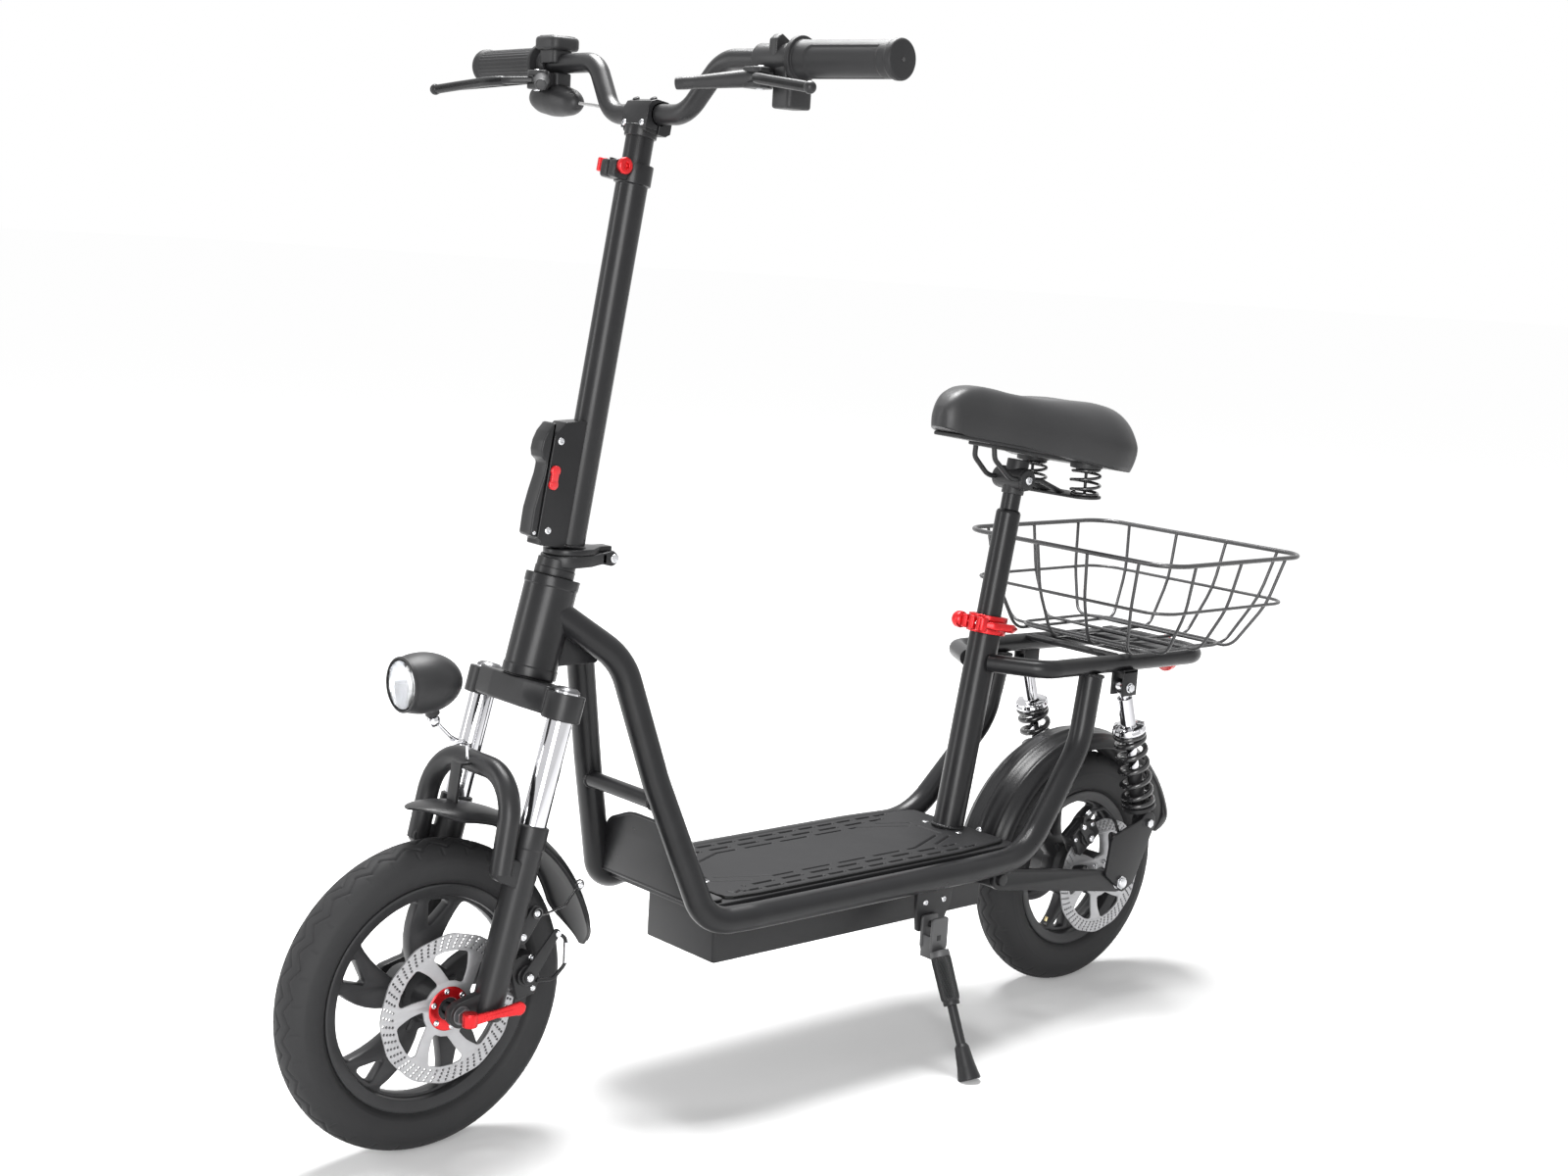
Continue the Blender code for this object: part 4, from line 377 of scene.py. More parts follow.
# The head tube: a short thick tube welded on top of the rails, its ends turned and its mouths faced, with a
# folded gusset plate under the place where the rails start.
RAKE = math.atan(0.2586)
STEER = np.array((0.0, math.sin(RAKE), math.cos(RAKE)))
STEER_POINT = at(0, 0.1228, 0.513)


def unit(vector):
    """The vector at length 1."""
    vector = np.asarray(vector, float)
    return vector / np.linalg.norm(vector)


def directions(axis):
    """An axis at length 1, and two directions at right angles to it and to each other."""
    axis = unit(axis)
    first = unit(np.cross(axis, LENGTHWAYS if abs(axis[1]) < 0.9 else ACROSS))
    return axis, first, np.cross(axis, first)


def turned(profile, foot, axis, steps=48, closed=False):
    """A profile of radii and heights turned round an axis: a point is the foot, plus its height along the
    axis, plus its radius along a direction that goes once round. closed joins the profile's end to its
    start."""
    profile = np.asarray(profile, float)
    axis, first, second = directions(axis)
    angle = np.linspace(0, math.tau, steps, endpoint=False)[None, :, None]
    outward = np.cos(angle) * first + np.sin(angle) * second
    return skin(
        foot + profile[:, 1, None, None] * axis + profile[:, 0, None, None] * outward, loop=closed,
        ends=False,
    )


def rod(start, end, radius, end_radius=None, edge=0.0006, steps=32):
    """A solid round bar or cone between two points, its two rims softened by a small arc."""
    start, end = np.asarray(start, float), np.asarray(end, float)
    length = np.linalg.norm(end - start)
    end_radius = radius if end_radius is None else end_radius
    corners = [(0, 0), (radius, 0), (end_radius, length), (0, length)]
    return turned(rounded(corners, edge, 30.0), start, end - start, steps)


def span(place, axis, first, last):
    """The two points at two distances from a place along a direction."""
    return place + axis * first, place + axis * last


def arc(centre, radius, first, last, count=12):
    """Points of a flat arc: the centre plus the radius times the cosine and the sine of angles in
    degrees."""
    angle = np.radians(np.linspace(first, last, count + 1))
    return np.column_stack((centre[0] + radius * np.cos(angle), centre[1] + radius * np.sin(angle)))


def capsule(first, second, first_radius, second_radius, count=12):
    """The flat outline round two circles: an arc of each, up to the lines that touch both."""
    across = np.subtract(second, first)
    lean = math.degrees(math.atan2(across[1], across[0]))
    half = 90 - math.degrees(math.asin((first_radius - second_radius) / np.linalg.norm(across)))
    return np.concatenate((
        arc(first, first_radius, lean + half, lean + 360 - half, count),
        arc(second, second_radius, lean - half, lean + half, count),
    ))


def lengthwise(x):
    """The plane of a plate that stands lengthwise at x: its origin and its two directions, back and up."""
    return at(x, 0, 0), LENGTHWAYS, UPRIGHT


def level(z):
    """The plane of a level plate at height z: its origin and its two directions, left and back."""
    return at(0, 0, z), ACROSS, LENGTHWAYS


def slab(outline, thickness, plane, edge=0.0007):
    """A plate over a flat outline, half its thickness to each side of a plane. Each rim is a quarter circle:
    the outline is drawn in by edge (1 - cos a) at the height half - edge (1 - sin a)."""
    outline = np.asarray(outline, float)
    outline = outline[np.linalg.norm(outline - np.roll(outline, 1, axis=0), axis=1) > 1e-7]
    following = np.roll(outline, -1, axis=0)
    if (outline[:, 0] * following[:, 1] - following[:, 0] * outline[:, 1]).sum() < 0:
        outline = outline[::-1]
    run = np.roll(outline, -1, axis=0) - outline
    run /= np.linalg.norm(run, axis=1)[:, None]
    facing = np.column_stack((-run[:, 1], run[:, 0]))
    inward = facing + np.roll(facing, 1, axis=0)
    inward /= np.maximum((inward * facing).sum(axis=1), 0.3)[:, None]
    angle = np.radians((0.0, 30.0, 60.0, 90.0))
    drawn = edge * (1 - np.cos(angle))
    height = thickness / 2 - edge * (1 - np.sin(angle))
    drawn = np.concatenate((drawn[::-1], drawn))
    height = np.concatenate((-height[::-1], height))
    flat = outline + drawn[:, None, None] * inward
    origin, right, top = (np.asarray(part, float) for part in plane)
    away = np.cross(right, top)
    return skin(origin + flat[..., :1] * right + flat[..., 1:] * top + height[:, None, None] * away)


def block(low, high, edge=0.0008, corner=0.0015, plane=None):
    """A box between two corners of a plane's own frame, its upright edges rounded more than the others."""
    low, high = np.minimum(low, high), np.maximum(low, high)
    origin, right, top = (np.zeros(3), ACROSS, LENGTHWAYS) if plane is None else plane
    corners = [(low[0], low[1]), (high[0], low[1]), (high[0], high[1]), (low[0], high[1])]
    outline = rounded(corners, corner, 30.0, closed=True)
    middle = origin + np.cross(right, top) * (low[2] + high[2]) / 2
    return slab(outline, high[2] - low[2], (middle, right, top), edge)


head_profile = rounded([
    (0.0143, 0.0063), (0.0305, 0.0063), (0.0305, 0.0165), (0.0296, 0.018), (0.0296, 0.107), (0.0305, 0.1085),
    (0.0305, 0.119), (0.0143, 0.119),
], 0.0009, 30.0, closed=True)
gusset = slab(
    rounded([(0.15, 0.585), (0.212, 0.53), (0.143, 0.53)], 0.004, closed=True), 0.036, lengthwise(0.0),
    0.0012,
)
piece(
    "head_tube_body", [turned(head_profile, STEER_POINT, STEER, 64, closed=True), gusset], frame_paint,
    "frame", ["head_tube"],
)


# Weld beads, laid by hand in short overlapping pools where the rails meet the rack and where the cross bar
# meets the rails: a ring of small swellings that is painted over with the frame.
def bead(centre, axis, radius, width=0.0028, pools=26, steps=156):
    """A weld round a tube: a small circle carried round a big one, its size swelling once for each pool."""
    axis = unit(axis)
    first = unit(np.cross(axis, ACROSS if abs(axis[0]) < 0.8 else UPRIGHT))
    second = np.cross(axis, first)
    turn = np.linspace(0, math.tau, steps, endpoint=False)[:, None, None]
    round_wire = np.linspace(0, math.tau, 10, endpoint=False)[None, :, None]
    outward = np.cos(turn) * first + np.sin(turn) * second
    size = width * (0.82 + 0.18 * np.abs(np.cos(turn * pools / 2)))
    points = centre + outward * (radius + size * np.cos(round_wire)) + axis * size * np.sin(round_wire)
    return skin(points, loop=True)


beads = []
for name, mirror in SIDES:
    flip = (mirror, 1.0, 1.0)
    beads += [
        bead(at(0.0595, 0.262, 0.372) * flip, ACROSS, 0.0092, 0.002, 14, 84),
        bead(at(0.0836, 0.979, 0.46) * flip, (-0.03 * mirror, 0.17, 0.98), 0.0155, 0.0026),
    ]
piece("weld_beads", beads, frame_paint, "frame")


# The nose plate: sheet steel cut to a dome whose edge is rolled. It is folded back at its foot, where it is
# screwed to the deck between the rails, and it is painted with the frame.
nose_plane = (at(0, 0.318, 0), ACROSS, unit((0, -0.06, 1)))
nose_corners = [
    (-0.0835, 0.25), (-0.072, 0.316), (-0.026, 0.3345), (0.026, 0.3345), (0.072, 0.316), (0.0835, 0.25),
]
nose_outline = rounded(nose_corners, [0.0, 0.022, 0.06, 0.06, 0.022, 0.0], closed=True)
nose_edge = np.array(
    [nose_plane[0] + x * nose_plane[1] + y * nose_plane[2] for x, y in nose_outline if y > 0.2505]
)
piece(
    "nose_plate", [
        slab(nose_outline, 0.003, nose_plane, 0.0012),
        tube(nose_edge, 0.0021, np.array((0.0, 1.0, 0.1)), 12),
        block(at(-0.095, 0.301, 0.2505), at(0.095, 0.3455, 0.2535), 0.0008, 0.006),
    ], frame_paint, "frame", ["nose_cover"],
)


# The deck: a flat pan between the rails and, hung under it, the battery's box. Both are folded and cast
# alloy with a coarse black powder coat, which stands in small dull grains.
cast_black = finish(
    "cast_black_coat", (0.012, 0.012, 0.013), (0.022, 0.022, 0.023), 0.4, spread=0.16, drift=22.0,
    grain=650.0, depth=0.00007, specular=0.26,
)
pan_outline = rounded(
    [(-0.099, 0.3185), (0.099, 0.3185), (0.099, 0.8415), (-0.099, 0.8415)], 0.01, 15.0, closed=True,
)
SWING_PIVOT = at(0, 0.815, 0.205)
deck = [
    slab(pan_outline, 0.0125, level(0.24325), 0.0012),
    block(at(-0.065, 0.3595, 0.1625), at(0.065, 0.815, 0.233), 0.0022, 0.005),
    block(at(-0.0672, 0.3573, 0.229), at(0.0672, 0.8172, 0.2378), 0.001, 0.006),
    block(at(-0.03, 0.79, 0.191), at(0.03, 0.829, 0.219), 0.001, 0.004),
    rod(*span(SWING_PIVOT, ACROSS, -0.0905, 0.0905), 0.014, edge=0.0012),
    rod(*span(SWING_PIVOT, ACROSS, -0.1035, 0.1035), 0.0078),
]
for rib_x in (-0.042, -0.014, 0.014, 0.042):
    deck.append(block(at(rib_x - 0.004, 0.38, 0.1612), at(rib_x + 0.004, 0.795, 0.1632), 0.0006, 0.003))
piece("deck_pan", deck, cast_black, "frame", ["battery_box"])


# Screws and bolts: zinc-plated steel with a round head and a six-sided socket. Each head is turned and its
# socket struck, and the plating keeps a very fine grain.
zinc = finish("bright_zinc", (0.62, 0.63, 0.64), (0.5, 0.5, 0.52), 0.24, 1.0, 0.14, 180.0, 2400.0, 0.000008)


def screw(place, axis, radius=0.0045, height=0.0026):
    """A button screw: a dome of radii and heights round its axis, with a six-sided pit in the middle."""
    axis, first, second = directions(axis)
    angle = np.linspace(0, math.tau, 36, endpoint=False)
    hexagon = math.cos(math.pi / 6) / np.cos((angle + math.pi / 6) % (math.pi / 3) - math.pi / 6)
    rows = [
        (1.0, -0.25, 0), (1.0, 0.42, 0), (0.93, 0.7, 0), (0.76, 0.92, 0), (0.58, 1.0, 0), (0.5, 1.0, 1),
        (0.46, 0.35, 1), (0.0, 0.28, 1),
    ]
    points = []
    for share, rise, six_sided in rows:
        reach = radius * share * (hexagon if six_sided else 1.0) * np.ones(36)
        points.append(
            place + reach[:, None] * (np.cos(angle)[:, None] * first + np.sin(angle)[:, None] * second)
            + axis * rise * height
        )
    return skin(np.array(points), ends=False)


# The deck mat: moulded grey rubber, glued down and held by four screws. Rows of dashes run along each long
# side and slanting lines close a long panel in the middle; all are grooves. Below the top face, in the
# grooves and down the mat's rounded rim and sides, the colour is painted darker as painted shade.
mat_rubber = finish(
    "grey_mat_rubber", (0.006, 0.006, 0.007), (0.01, 0.01, 0.011), 0.6, spread=0.2, drift=16.0, grain=1500.0,
    depth=0.00005, specular=0.24,
)
mat_tree = mat_rubber.node_tree
# Painted shade: a mask by height blends the colour toward a darker black in the grooves and down the rim and
# sides.
mat_place = node(mat_tree, "SeparateXYZ", {0: node(mat_tree, "TexCoord").outputs["Object"]}).outputs["Z"]
groove_shade_mask = node(mat_tree, "MapRange", {"Value": mat_place, "From Min": 0.252, "From Max": 0.2534})
groove_shade_tone = node(mat_tree, "Mix", data_type="RGBA")
fill(mat_tree, groove_shade_tone, {"Factor": groove_shade_mask.outputs["Result"], "A": (0.006, 0.006, 0.006, 1)})
fill(mat_tree, groove_shade_tone, {"B": mat_tree.nodes["handled"].outputs["Colour"]})
fill(mat_tree, mat_tree.nodes["Principled BSDF"], {"Base Color": groove_shade_tone.outputs["Result"]})


def to_line(x, y, line):
    """The distance of each point to the nearest place on a line of several straight runs."""
    least = np.full(x.shape, 1.0)
    for (ax, ay), (bx, by) in zip(line, line[1:]):
        share = np.clip(
            ((x - ax) * (bx - ax) + (y - ay) * (by - ay)) / ((bx - ax) ** 2 + (by - ay) ** 2), 0, 1,
        )
        least = np.minimum(least, np.hypot(x - ax - share * (bx - ax), y - ay - share * (by - ay)))
    return least


MAT_FRONT, MAT_BACK = 0.3505, 0.8315
GROOVE_DEPTH = 0.0022
mat_y = np.linspace(MAT_FRONT, MAT_BACK, 322)
mat_widths = (0.078, 0.0875, 0.0925, 0.0958, 0.0958, 0.0875, 0.0835, 0.074)
mat_half = np.interp(mat_y, (MAT_FRONT, 0.353, 0.362, 0.4, 0.74, 0.82, 0.829, MAT_BACK), mat_widths)
mat_share = np.linspace(-1, 1, 129)
mat_x = mat_half[:, None] * mat_share[None, :]
mat_long = np.broadcast_to(mat_y[:, None], mat_x.shape)
side = np.abs(mat_x)
groove = np.zeros(mat_x.shape)
for row_x, run, share, start in (
    (0.085, 34.0, 0.8, 0.375), (0.069, 46.0, 0.72, 0.395), (0.0545, 60.0, 0.82, 0.456),
):
    dashes = (np.abs(side - row_x) < 0.0019) & ((mat_long * 1000 + row_x * 700) % run < run * share)
    groove = np.where(dashes & (mat_long > start) & (mat_long < 1.153 - start), 1.0, groove)
for line in (
    [(0.025, 0.389), (0.0545, 0.456)], [(0.0545, 0.697), (0.025, 0.764)], [(0, 0.378), (0.02, 0.378)],
    [(0, 0.775), (0.02, 0.775)], [(0.036, 0.376), (0.056, 0.42)], [(0.056, 0.733), (0.036, 0.777)],
    [(0.078, 0.366), (0.084, 0.372), (0.079, 0.384), (0.085, 0.396)],
):
    groove = np.maximum(groove, np.clip(1.9 - to_line(side, mat_long, line) / 0.0009, 0, 1))
rim = np.clip((mat_half[:, None] - side) / 0.002, 0, 1)
rim = rim * np.clip(np.minimum(mat_long - MAT_FRONT, MAT_BACK - mat_long) / 0.002, 0, 1)
mat_height = 0.2526 + 0.0012 * np.sin(rim * math.pi / 2) - GROOVE_DEPTH * groove * (rim >= 1)
mat_top = np.stack((mat_x, mat_long - MIDDLE, mat_height), axis=-1)
mat_rim = np.concatenate((mat_top[0, :-1], mat_top[:-1, -1], mat_top[-1, :0:-1], mat_top[:0:-1, 0]))
mat_floor = mat_rim * (1, 1, 0) + (0, 0, 0.2499)
mat_under = (mat_floor, [list(range(len(mat_floor)))[::-1]])
piece(
    "deck_mat_rubber",
    [skin(mat_top, ring=False), skin(np.stack((mat_floor, mat_rim)), ends=False), mat_under], mat_rubber,
    "frame", ["deck_mat"], sharp=50.0, merge=1e-5,
)
piece(
    "deck_screws",
    [screw(at(x, y, 0.2528), UPRIGHT, 0.0048, 0.0018) for x in (-0.031, 0.031) for y in (0.37, 0.8)], zinc,
    "frame",
)


# The seat tube: thick steel tube that stands on the deck, welded round its foot and painted with the frame.
# It is bored from the top for the seat post.
SEAT_SLOPE = math.atan(0.169)
SEAT = np.array((0.0, math.sin(SEAT_SLOPE), math.cos(SEAT_SLOPE)))
SEAT_BACK = np.cross(SEAT, ACROSS)
SEAT_FOOT = at(0, 0.811, 0.252)
seat_profile = rounded(
    [(0.0207, -0.001), (0.0207, 0.287), (0.0168, 0.287), (0.0168, 0.04), (0, 0.04)], 0.0006, 30.0,
)
piece(
    "seat_tube_body", [
        turned(seat_profile, SEAT_FOOT, SEAT, 64), bead(SEAT_FOOT + SEAT * 0.002, SEAT, 0.0203, 0.0026, 34),
        rod(*span(SEAT_FOOT, SEAT, 0, 0.041), 0.02),
    ], frame_paint, "frame", ["seat_tube"],
)


def seat_at(height):
    """The point of the seat tube's axis at a height above the ground."""
    return SEAT_FOOT + SEAT * ((height - SEAT_FOOT[2]) / SEAT[2])


# The rack: one steel tube bent to a loop round the seat tube, four slats welded across it, and under it on
# each side a folded bracket that holds a shock absorber's upper bolt.
rack_left = [at(0.018, 0.846, 0.4755), at(0.085, 0.889, 0.4745), at(0.08, 1.224, 0.468)]
rack_line = rounded(
    [*rack_left, *[mirrored(point) for point in rack_left[::-1]]], [0.035, 0.04, 0.04, 0.035], 5.0,
)
SHOCK_TOP = at(0, 1.04, 0.44)
rack = [tube(rack_line, 0.012, UPRIGHT, 28)]
for slat_y in (1.03, 1.085, 1.14, 1.195):
    rack.append(
        block(at(-0.0775, slat_y - 0.0108, 0.4776), at(0.0775, slat_y + 0.0108, 0.4834), 0.0012, 0.003)
    )
for name, mirror in SIDES:
    for low_x, low_z, high_x, high_z in (
        (0.0786, 0.4286, 0.0824, 0.464), (0.0976, 0.4286, 0.1009, 0.464), (0.0786, 0.46, 0.1009, 0.4639),
    ):
        rack.append(block(at(low_x * mirror, 1.0262, low_z), at(high_x * mirror, 1.0558, high_z)))
piece("rack_loop", rack, frame_paint, "frame", ["rear_rack"])
rack_bolts = []
for name, mirror in SIDES:
    across = ACROSS * mirror
    rack_bolts += [
        rod(*span(SHOCK_TOP, across, 0.079, 0.103), 0.0039),
        rod(*span(SHOCK_TOP, across, 0.101, 0.102), 0.007),
        rod(*span(SHOCK_TOP, across, 0.1018, 0.1055), 0.006, steps=6),
    ]
piece("rack_bolts", rack_bolts, zinc, "frame")


# The basket: steel wire, a thick rim and thinner rings and bowed wires welded across each other, then dipped
# in black. It stands on the rack's slats.
def wire_ring(half_width, front, back, height, corner):
    """A level ring of four straight runs and four arcs."""
    corners = [
        at(-half_width, front, height), at(half_width, front, height), at(half_width, back, height),
        at(-half_width, back, height),
    ]
    return rounded(corners, corner, 9.0, closed=True)


basket = [
    tube(wire_ring(0.1885, 0.9945, 1.297, 0.62, 0.04), 0.0033, UPRIGHT, 12, closed=True),
    tube(wire_ring(0.174, 1.002, 1.282, 0.554, 0.036), 0.0023, UPRIGHT, 10, closed=True),
    tube(wire_ring(0.122, 1.046, 1.218, 0.4913, 0.035), 0.0023, UPRIGHT, 10, closed=True),
]
for index in range(4):
    share = (index - 1.5) / 1.5
    long_wire = [
        at(0.135 * share, 0.9945, 0.62), at(0.122 * share, 1.002, 0.554), at(0.102 * share, 1.026, 0.488),
        at(0.102 * share, 1.238, 0.488), at(0.122 * share, 1.282, 0.554), at(0.135 * share, 1.297, 0.62),
    ]
    basket.append(tube(rounded(long_wire, [0.1, 0.024, 0.024, 0.1], 12.0), 0.0023, ACROSS, 10))
for index in range(3):
    share = index - 1
    half = [
        at(-0.1885, 1.145 + 0.098 * share, 0.62), at(-0.174, 1.14 + 0.088 * share, 0.554),
        at(-0.14, 1.132 + 0.07 * share, 0.4913),
    ]
    cross_wire = [*half, *[mirrored(point) for point in half[::-1]]]
    basket.append(tube(rounded(cross_wire, [0.1, 0.024, 0.024, 0.1], 12.0), 0.0023, LENGTHWAYS, 10))
dipped = finish(
    "dipped_black_wire", (0.03, 0.03, 0.031), (0.055, 0.055, 0.057), 0.26, spread=0.2, drift=60.0,
    grain=1800.0, depth=0.00004,
)
piece("basket_wires", basket, dipped, "frame", ["basket"], sharp=60.0)


# The reflector: a red moulded disc in a thin rim, its back full of small corner cubes, which show as a
# coarse grain. A tab holds it under the end of the rack.
red_lens = finish(
    "red_reflector", (0.62, 0.012, 0.016), (0.7, 0.04, 0.03), 0.18, drift=90.0, grain=420.0, depth=0.0004,
    Coat_Weight=0.6,
)
reflector = at(0, 1.238, 0.444)
lens_rows = rounded([(0, 0), (0.017, 0), (0.017, 0.007), (0.0155, 0.0084), (0, 0.0098)], 0.0012, 20.0)
lens_steps = 60
reflector_ring = turned(
    [(0.014, 0.0082), (0.0152, 0.0094), (0.0166, 0.009), (0.0166, 0.006)], reflector, LENGTHWAYS, lens_steps,
    closed=True,
)
piece(
    "reflector_lens", [
        turned(lens_rows, reflector, LENGTHWAYS, lens_steps), reflector_ring,
        block(at(-0.006, 1.2385, 0.452), at(0.006, 1.2415, 0.48)),
    ], red_lens, "frame", ["rack_reflector"],
)


# The stand's bracket: thick steel plate, cut to shape, bolted under the left rail and coated black like the
# deck. It carries the pin that the stand turns on.
stand_plate = rounded(
    [(0.646, 0.224), (0.708, 0.224), (0.706, 0.196), (0.69, 0.166), (0.65, 0.166), (0.646, 0.196)], 0.004,
    closed=True,
)
STAND_PIVOT = at(0.125, 0.666, 0.176)
STAND = unit(at(0.213, 0.66, 0.0) - STAND_PIVOT)
piece(
    "stand_bracket",
    [slab(stand_plate, 0.006, lengthwise(0.1115)), rod(*span(STAND_PIVOT, ACROSS, -0.0125, 0.0118), 0.0045)],
    cast_black, "frame", ["kickstand_bracket"],
)
piece(
    "stand_bolts", [screw(at(0.1145, y, 0.203), ACROSS, 0.004, 0.0022) for y in (0.66, 0.692)], zinc,
    "frame",
)


# The stand: a flat forged arm with a small square hole, a round sleeve knurled on the slant, and in it a
# thin rod with a flared rubber shoe. The hole is not cut: a black patch of painted shade stands for it.
def from_stand(distance):
    """The point of the stand's middle line at a distance below its pin."""
    return STAND_PIVOT + STAND * distance


def knurled(start, end, first_radius, last_radius, teeth=22, slant=1.2, depth=0.0007, steps=176, rows=44):
    """A hollow bar whose radius falls off toward its end and swells in slanting teeth: the radius at angle a
    and share s of the length adds depth cos(teeth a + slant s), which fades at both ends."""
    axis, first, second = directions(np.subtract(end, start))
    share = np.linspace(0, 1, rows)[:, None]
    angle = np.linspace(0, math.tau, steps, endpoint=False)[None, :]
    fade = np.clip(np.minimum(share, 1 - share) / 0.08, 0, 1)
    radius = first_radius + (last_radius - first_radius) * share + depth * fade * np.cos(
        teeth * angle + slant * teeth * share
    )
    radius = radius - 0.0008 * (1 - np.clip(np.minimum(share, 1 - share) / 0.025, 0, 1))
    share = np.concatenate((share, share[::-1]))
    radius = np.concatenate((radius, np.full_like(radius, 0.0066)))
    middle = start + share[..., None] * (np.asarray(end) - start)
    return skin(
        middle + radius[..., None] * (np.cos(angle)[..., None] * first + np.sin(angle)[..., None] * second),
        loop=True,
    )


def sleeve(start, end, radius, bore, edge=0.0008, steps=40):
    """A round tube with square-cut ends between two points: a softened rectangle of radii and heights,
    turned."""
    start, end = np.asarray(start, float), np.asarray(end, float)
    length = np.linalg.norm(end - start)
    return turned(
        rounded([(bore, 0), (radius, 0), (radius, length), (bore, length)], edge, 30.0, closed=True), start,
        end - start, steps, closed=True,
    )


stand_grey = finish(
    "cast_grey_arm", (0.06, 0.06, 0.062), (0.09, 0.09, 0.092), 0.44, 0.2, 0.14, 40.0, 700.0, 0.00006,
)
arm_plate = rounded(
    [(0.653, 0.188), (0.68, 0.188), (0.68, 0.15), (0.674, 0.1355), (0.659, 0.1355), (0.653, 0.15)], 0.004,
    closed=True,
)
piece(
    "stand_arm_plate", [
        slab(arm_plate, 0.0045, lengthwise(0.1359)), slab(arm_plate, 0.004, lengthwise(0.1178)),
        block(at(0.1164, 0.6545, 0.1355), at(0.1378, 0.658, 0.164)),
        rod(from_stand(0.033), from_stand(0.041), 0.0122, 0.0128, 0.001),
    ], stand_grey, "stand_arm", ["kickstand_arm"],
)
piece(
    "stand_sleeve", [
        knurled(from_stand(0.04), from_stand(0.0965), 0.0122, 0.0112),
        sleeve(from_stand(0.0955), from_stand(0.102), 0.0104, 0.0066, 0.0012),
    ], cast_black, "stand_arm",
)
# Painted shade: a thin black plate laid on the grey arm's outer face where its square hole would look dark.
piece(
    "stand_hole_shade_patch", [block(at(0.1378, 0.661, 0.159), at(0.13845, 0.668, 0.166), 0.0002, 0.0008)], frame_paint,
    "stand_arm",
)
shoe_profile = rounded([
    (0, 0.088), (0.0061, 0.088), (0.0061, 0.15), (0.009, 0.154), (0.0115, 0.178), (0.015, 0.1955),
    (0, 0.1955),
], 0.0016, 20.0)
shoe = turned(shoe_profile, STAND_PIVOT, STAND, 40)
shoe_points = np.array(shoe[0])
shoe_points[:, 2] = np.maximum(shoe_points[:, 2], 0.0002)
piece("stand_foot_rod", [(shoe_points, shoe[1])], cast_black, "stand_foot", ["kickstand_foot"])


# The seat collar: an alloy ring with a groove turned round it, anodised red and slit between two ears. A
# bolt through the ears draws it tight, with a round knob on its right end.
red_anodised = finish(
    "red_anodised", (0.5, 0.006, 0.01), (0.66, 0.022, 0.026), 0.26, 0.6, 0.16, 70.0, 2000.0, 0.00001,
)
collar_middle = seat_at(0.524)
collar_plane = (collar_middle, ACROSS, SEAT_BACK)


def in_plane(plane, x, y, z=0.0):
    """A point of a plane's own frame: x and y along its two directions and z off it."""
    origin, right, top = plane
    return origin + x * right + y * top + z * np.cross(right, top)


collar_rows = rounded([
    (0.0213, -0.012), (0.0262, -0.012), (0.0262, -0.0045), (0.025, -0.0035), (0.025, 0.0035),
    (0.0262, 0.0045), (0.0262, 0.012), (0.0213, 0.012),
], 0.0009, 30.0, closed=True)
collar = [turned(collar_rows, collar_middle, SEAT, 64, closed=True)]
for low_x, high_x in ((-0.011, -0.0013), (0.0013, 0.011)):
    ear = rounded(
        [(low_x, -0.023), (high_x, -0.023), (high_x, -0.0395), (low_x, -0.0395)], 0.003, 20.0, closed=True,
    )
    collar.append(slab(ear, 0.018, collar_plane, 0.0022))
piece("seat_collar_ring", collar, red_anodised, "frame", ["seat_collar"])
seat_bolt = [rod(in_plane(collar_plane, -0.013, -0.033), in_plane(collar_plane, 0.013, -0.033), 0.003)]
piece("seat_collar_bolt", seat_bolt, zinc, "frame")
knob = rounded(
    [(0, 0), (0.0075, 0), (0.0112, 0.004), (0.0112, 0.012), (0.008, 0.017), (0, 0.017)], 0.0045, 12.0,
)
piece(
    "seat_collar_knob", [turned(knob, in_plane(collar_plane, -0.0105, -0.033), -ACROSS, 40)], red_anodised,
    "frame",
)


# The seat's quick release: a forged lever, round at its cam and thinning to a flat tongue, anodised red like
# the collar. Half a turn of its cam draws the collar's ears together.
LEVER_FLAT = 0.0026


def lever_arm(corners, thick, thin, side):
    """A bar along rounded corners whose half height goes from thick to thin and whose half depth goes from
    0.8 of thick to LEVER_FLAT; its section is a circle whose cosine and sine are raised to 0.7."""
    path = rounded(corners, [0.012, 0.03])
    length = np.concatenate(([0.0], np.cumsum(np.linalg.norm(np.diff(path, axis=0), axis=1))))
    share = (length / length[-1])[:, None, None]
    ahead = np.gradient(path, axis=0)
    ahead /= np.linalg.norm(ahead, axis=1)[:, None]
    upward = side - ahead * (ahead @ side)[:, None]
    upward /= np.linalg.norm(upward, axis=1)[:, None]
    outward = np.cross(ahead, upward)
    angle = np.linspace(0, math.tau, 24, endpoint=False)[None, :, None]
    round_end = np.sqrt(np.clip(1 - np.clip((share - 0.94) / 0.06, 0, 1) ** 2, 0.02, 1))
    height = (thick + (thin - thick) * share) * round_end
    depth = (thick * 0.8 + (LEVER_FLAT - thick * 0.8) * share) * round_end
    box_cos = np.sign(np.cos(angle)) * np.abs(np.cos(angle)) ** 0.7
    box_sin = np.sign(np.sin(angle)) * np.abs(np.sin(angle)) ** 0.7
    return skin(path[:, None] + height * box_cos * upward[:, None] + depth * box_sin * outward[:, None])


cam = in_plane(collar_plane, 0.0215, -0.033)
seat_corners = [
    in_plane(collar_plane, x, y)
    for x, y in ((0.0215, -0.033), (0.036, -0.022), (0.039, 0.004), (0.03, 0.028))
]
piece(
    "seat_release",
    [rod(*span(cam, SEAT, -0.009, 0.009), 0.008, edge=0.0016), lever_arm(seat_corners, 0.005, 0.0062, SEAT)],
    red_anodised, "seat_lever", ["seat_lever"],
)


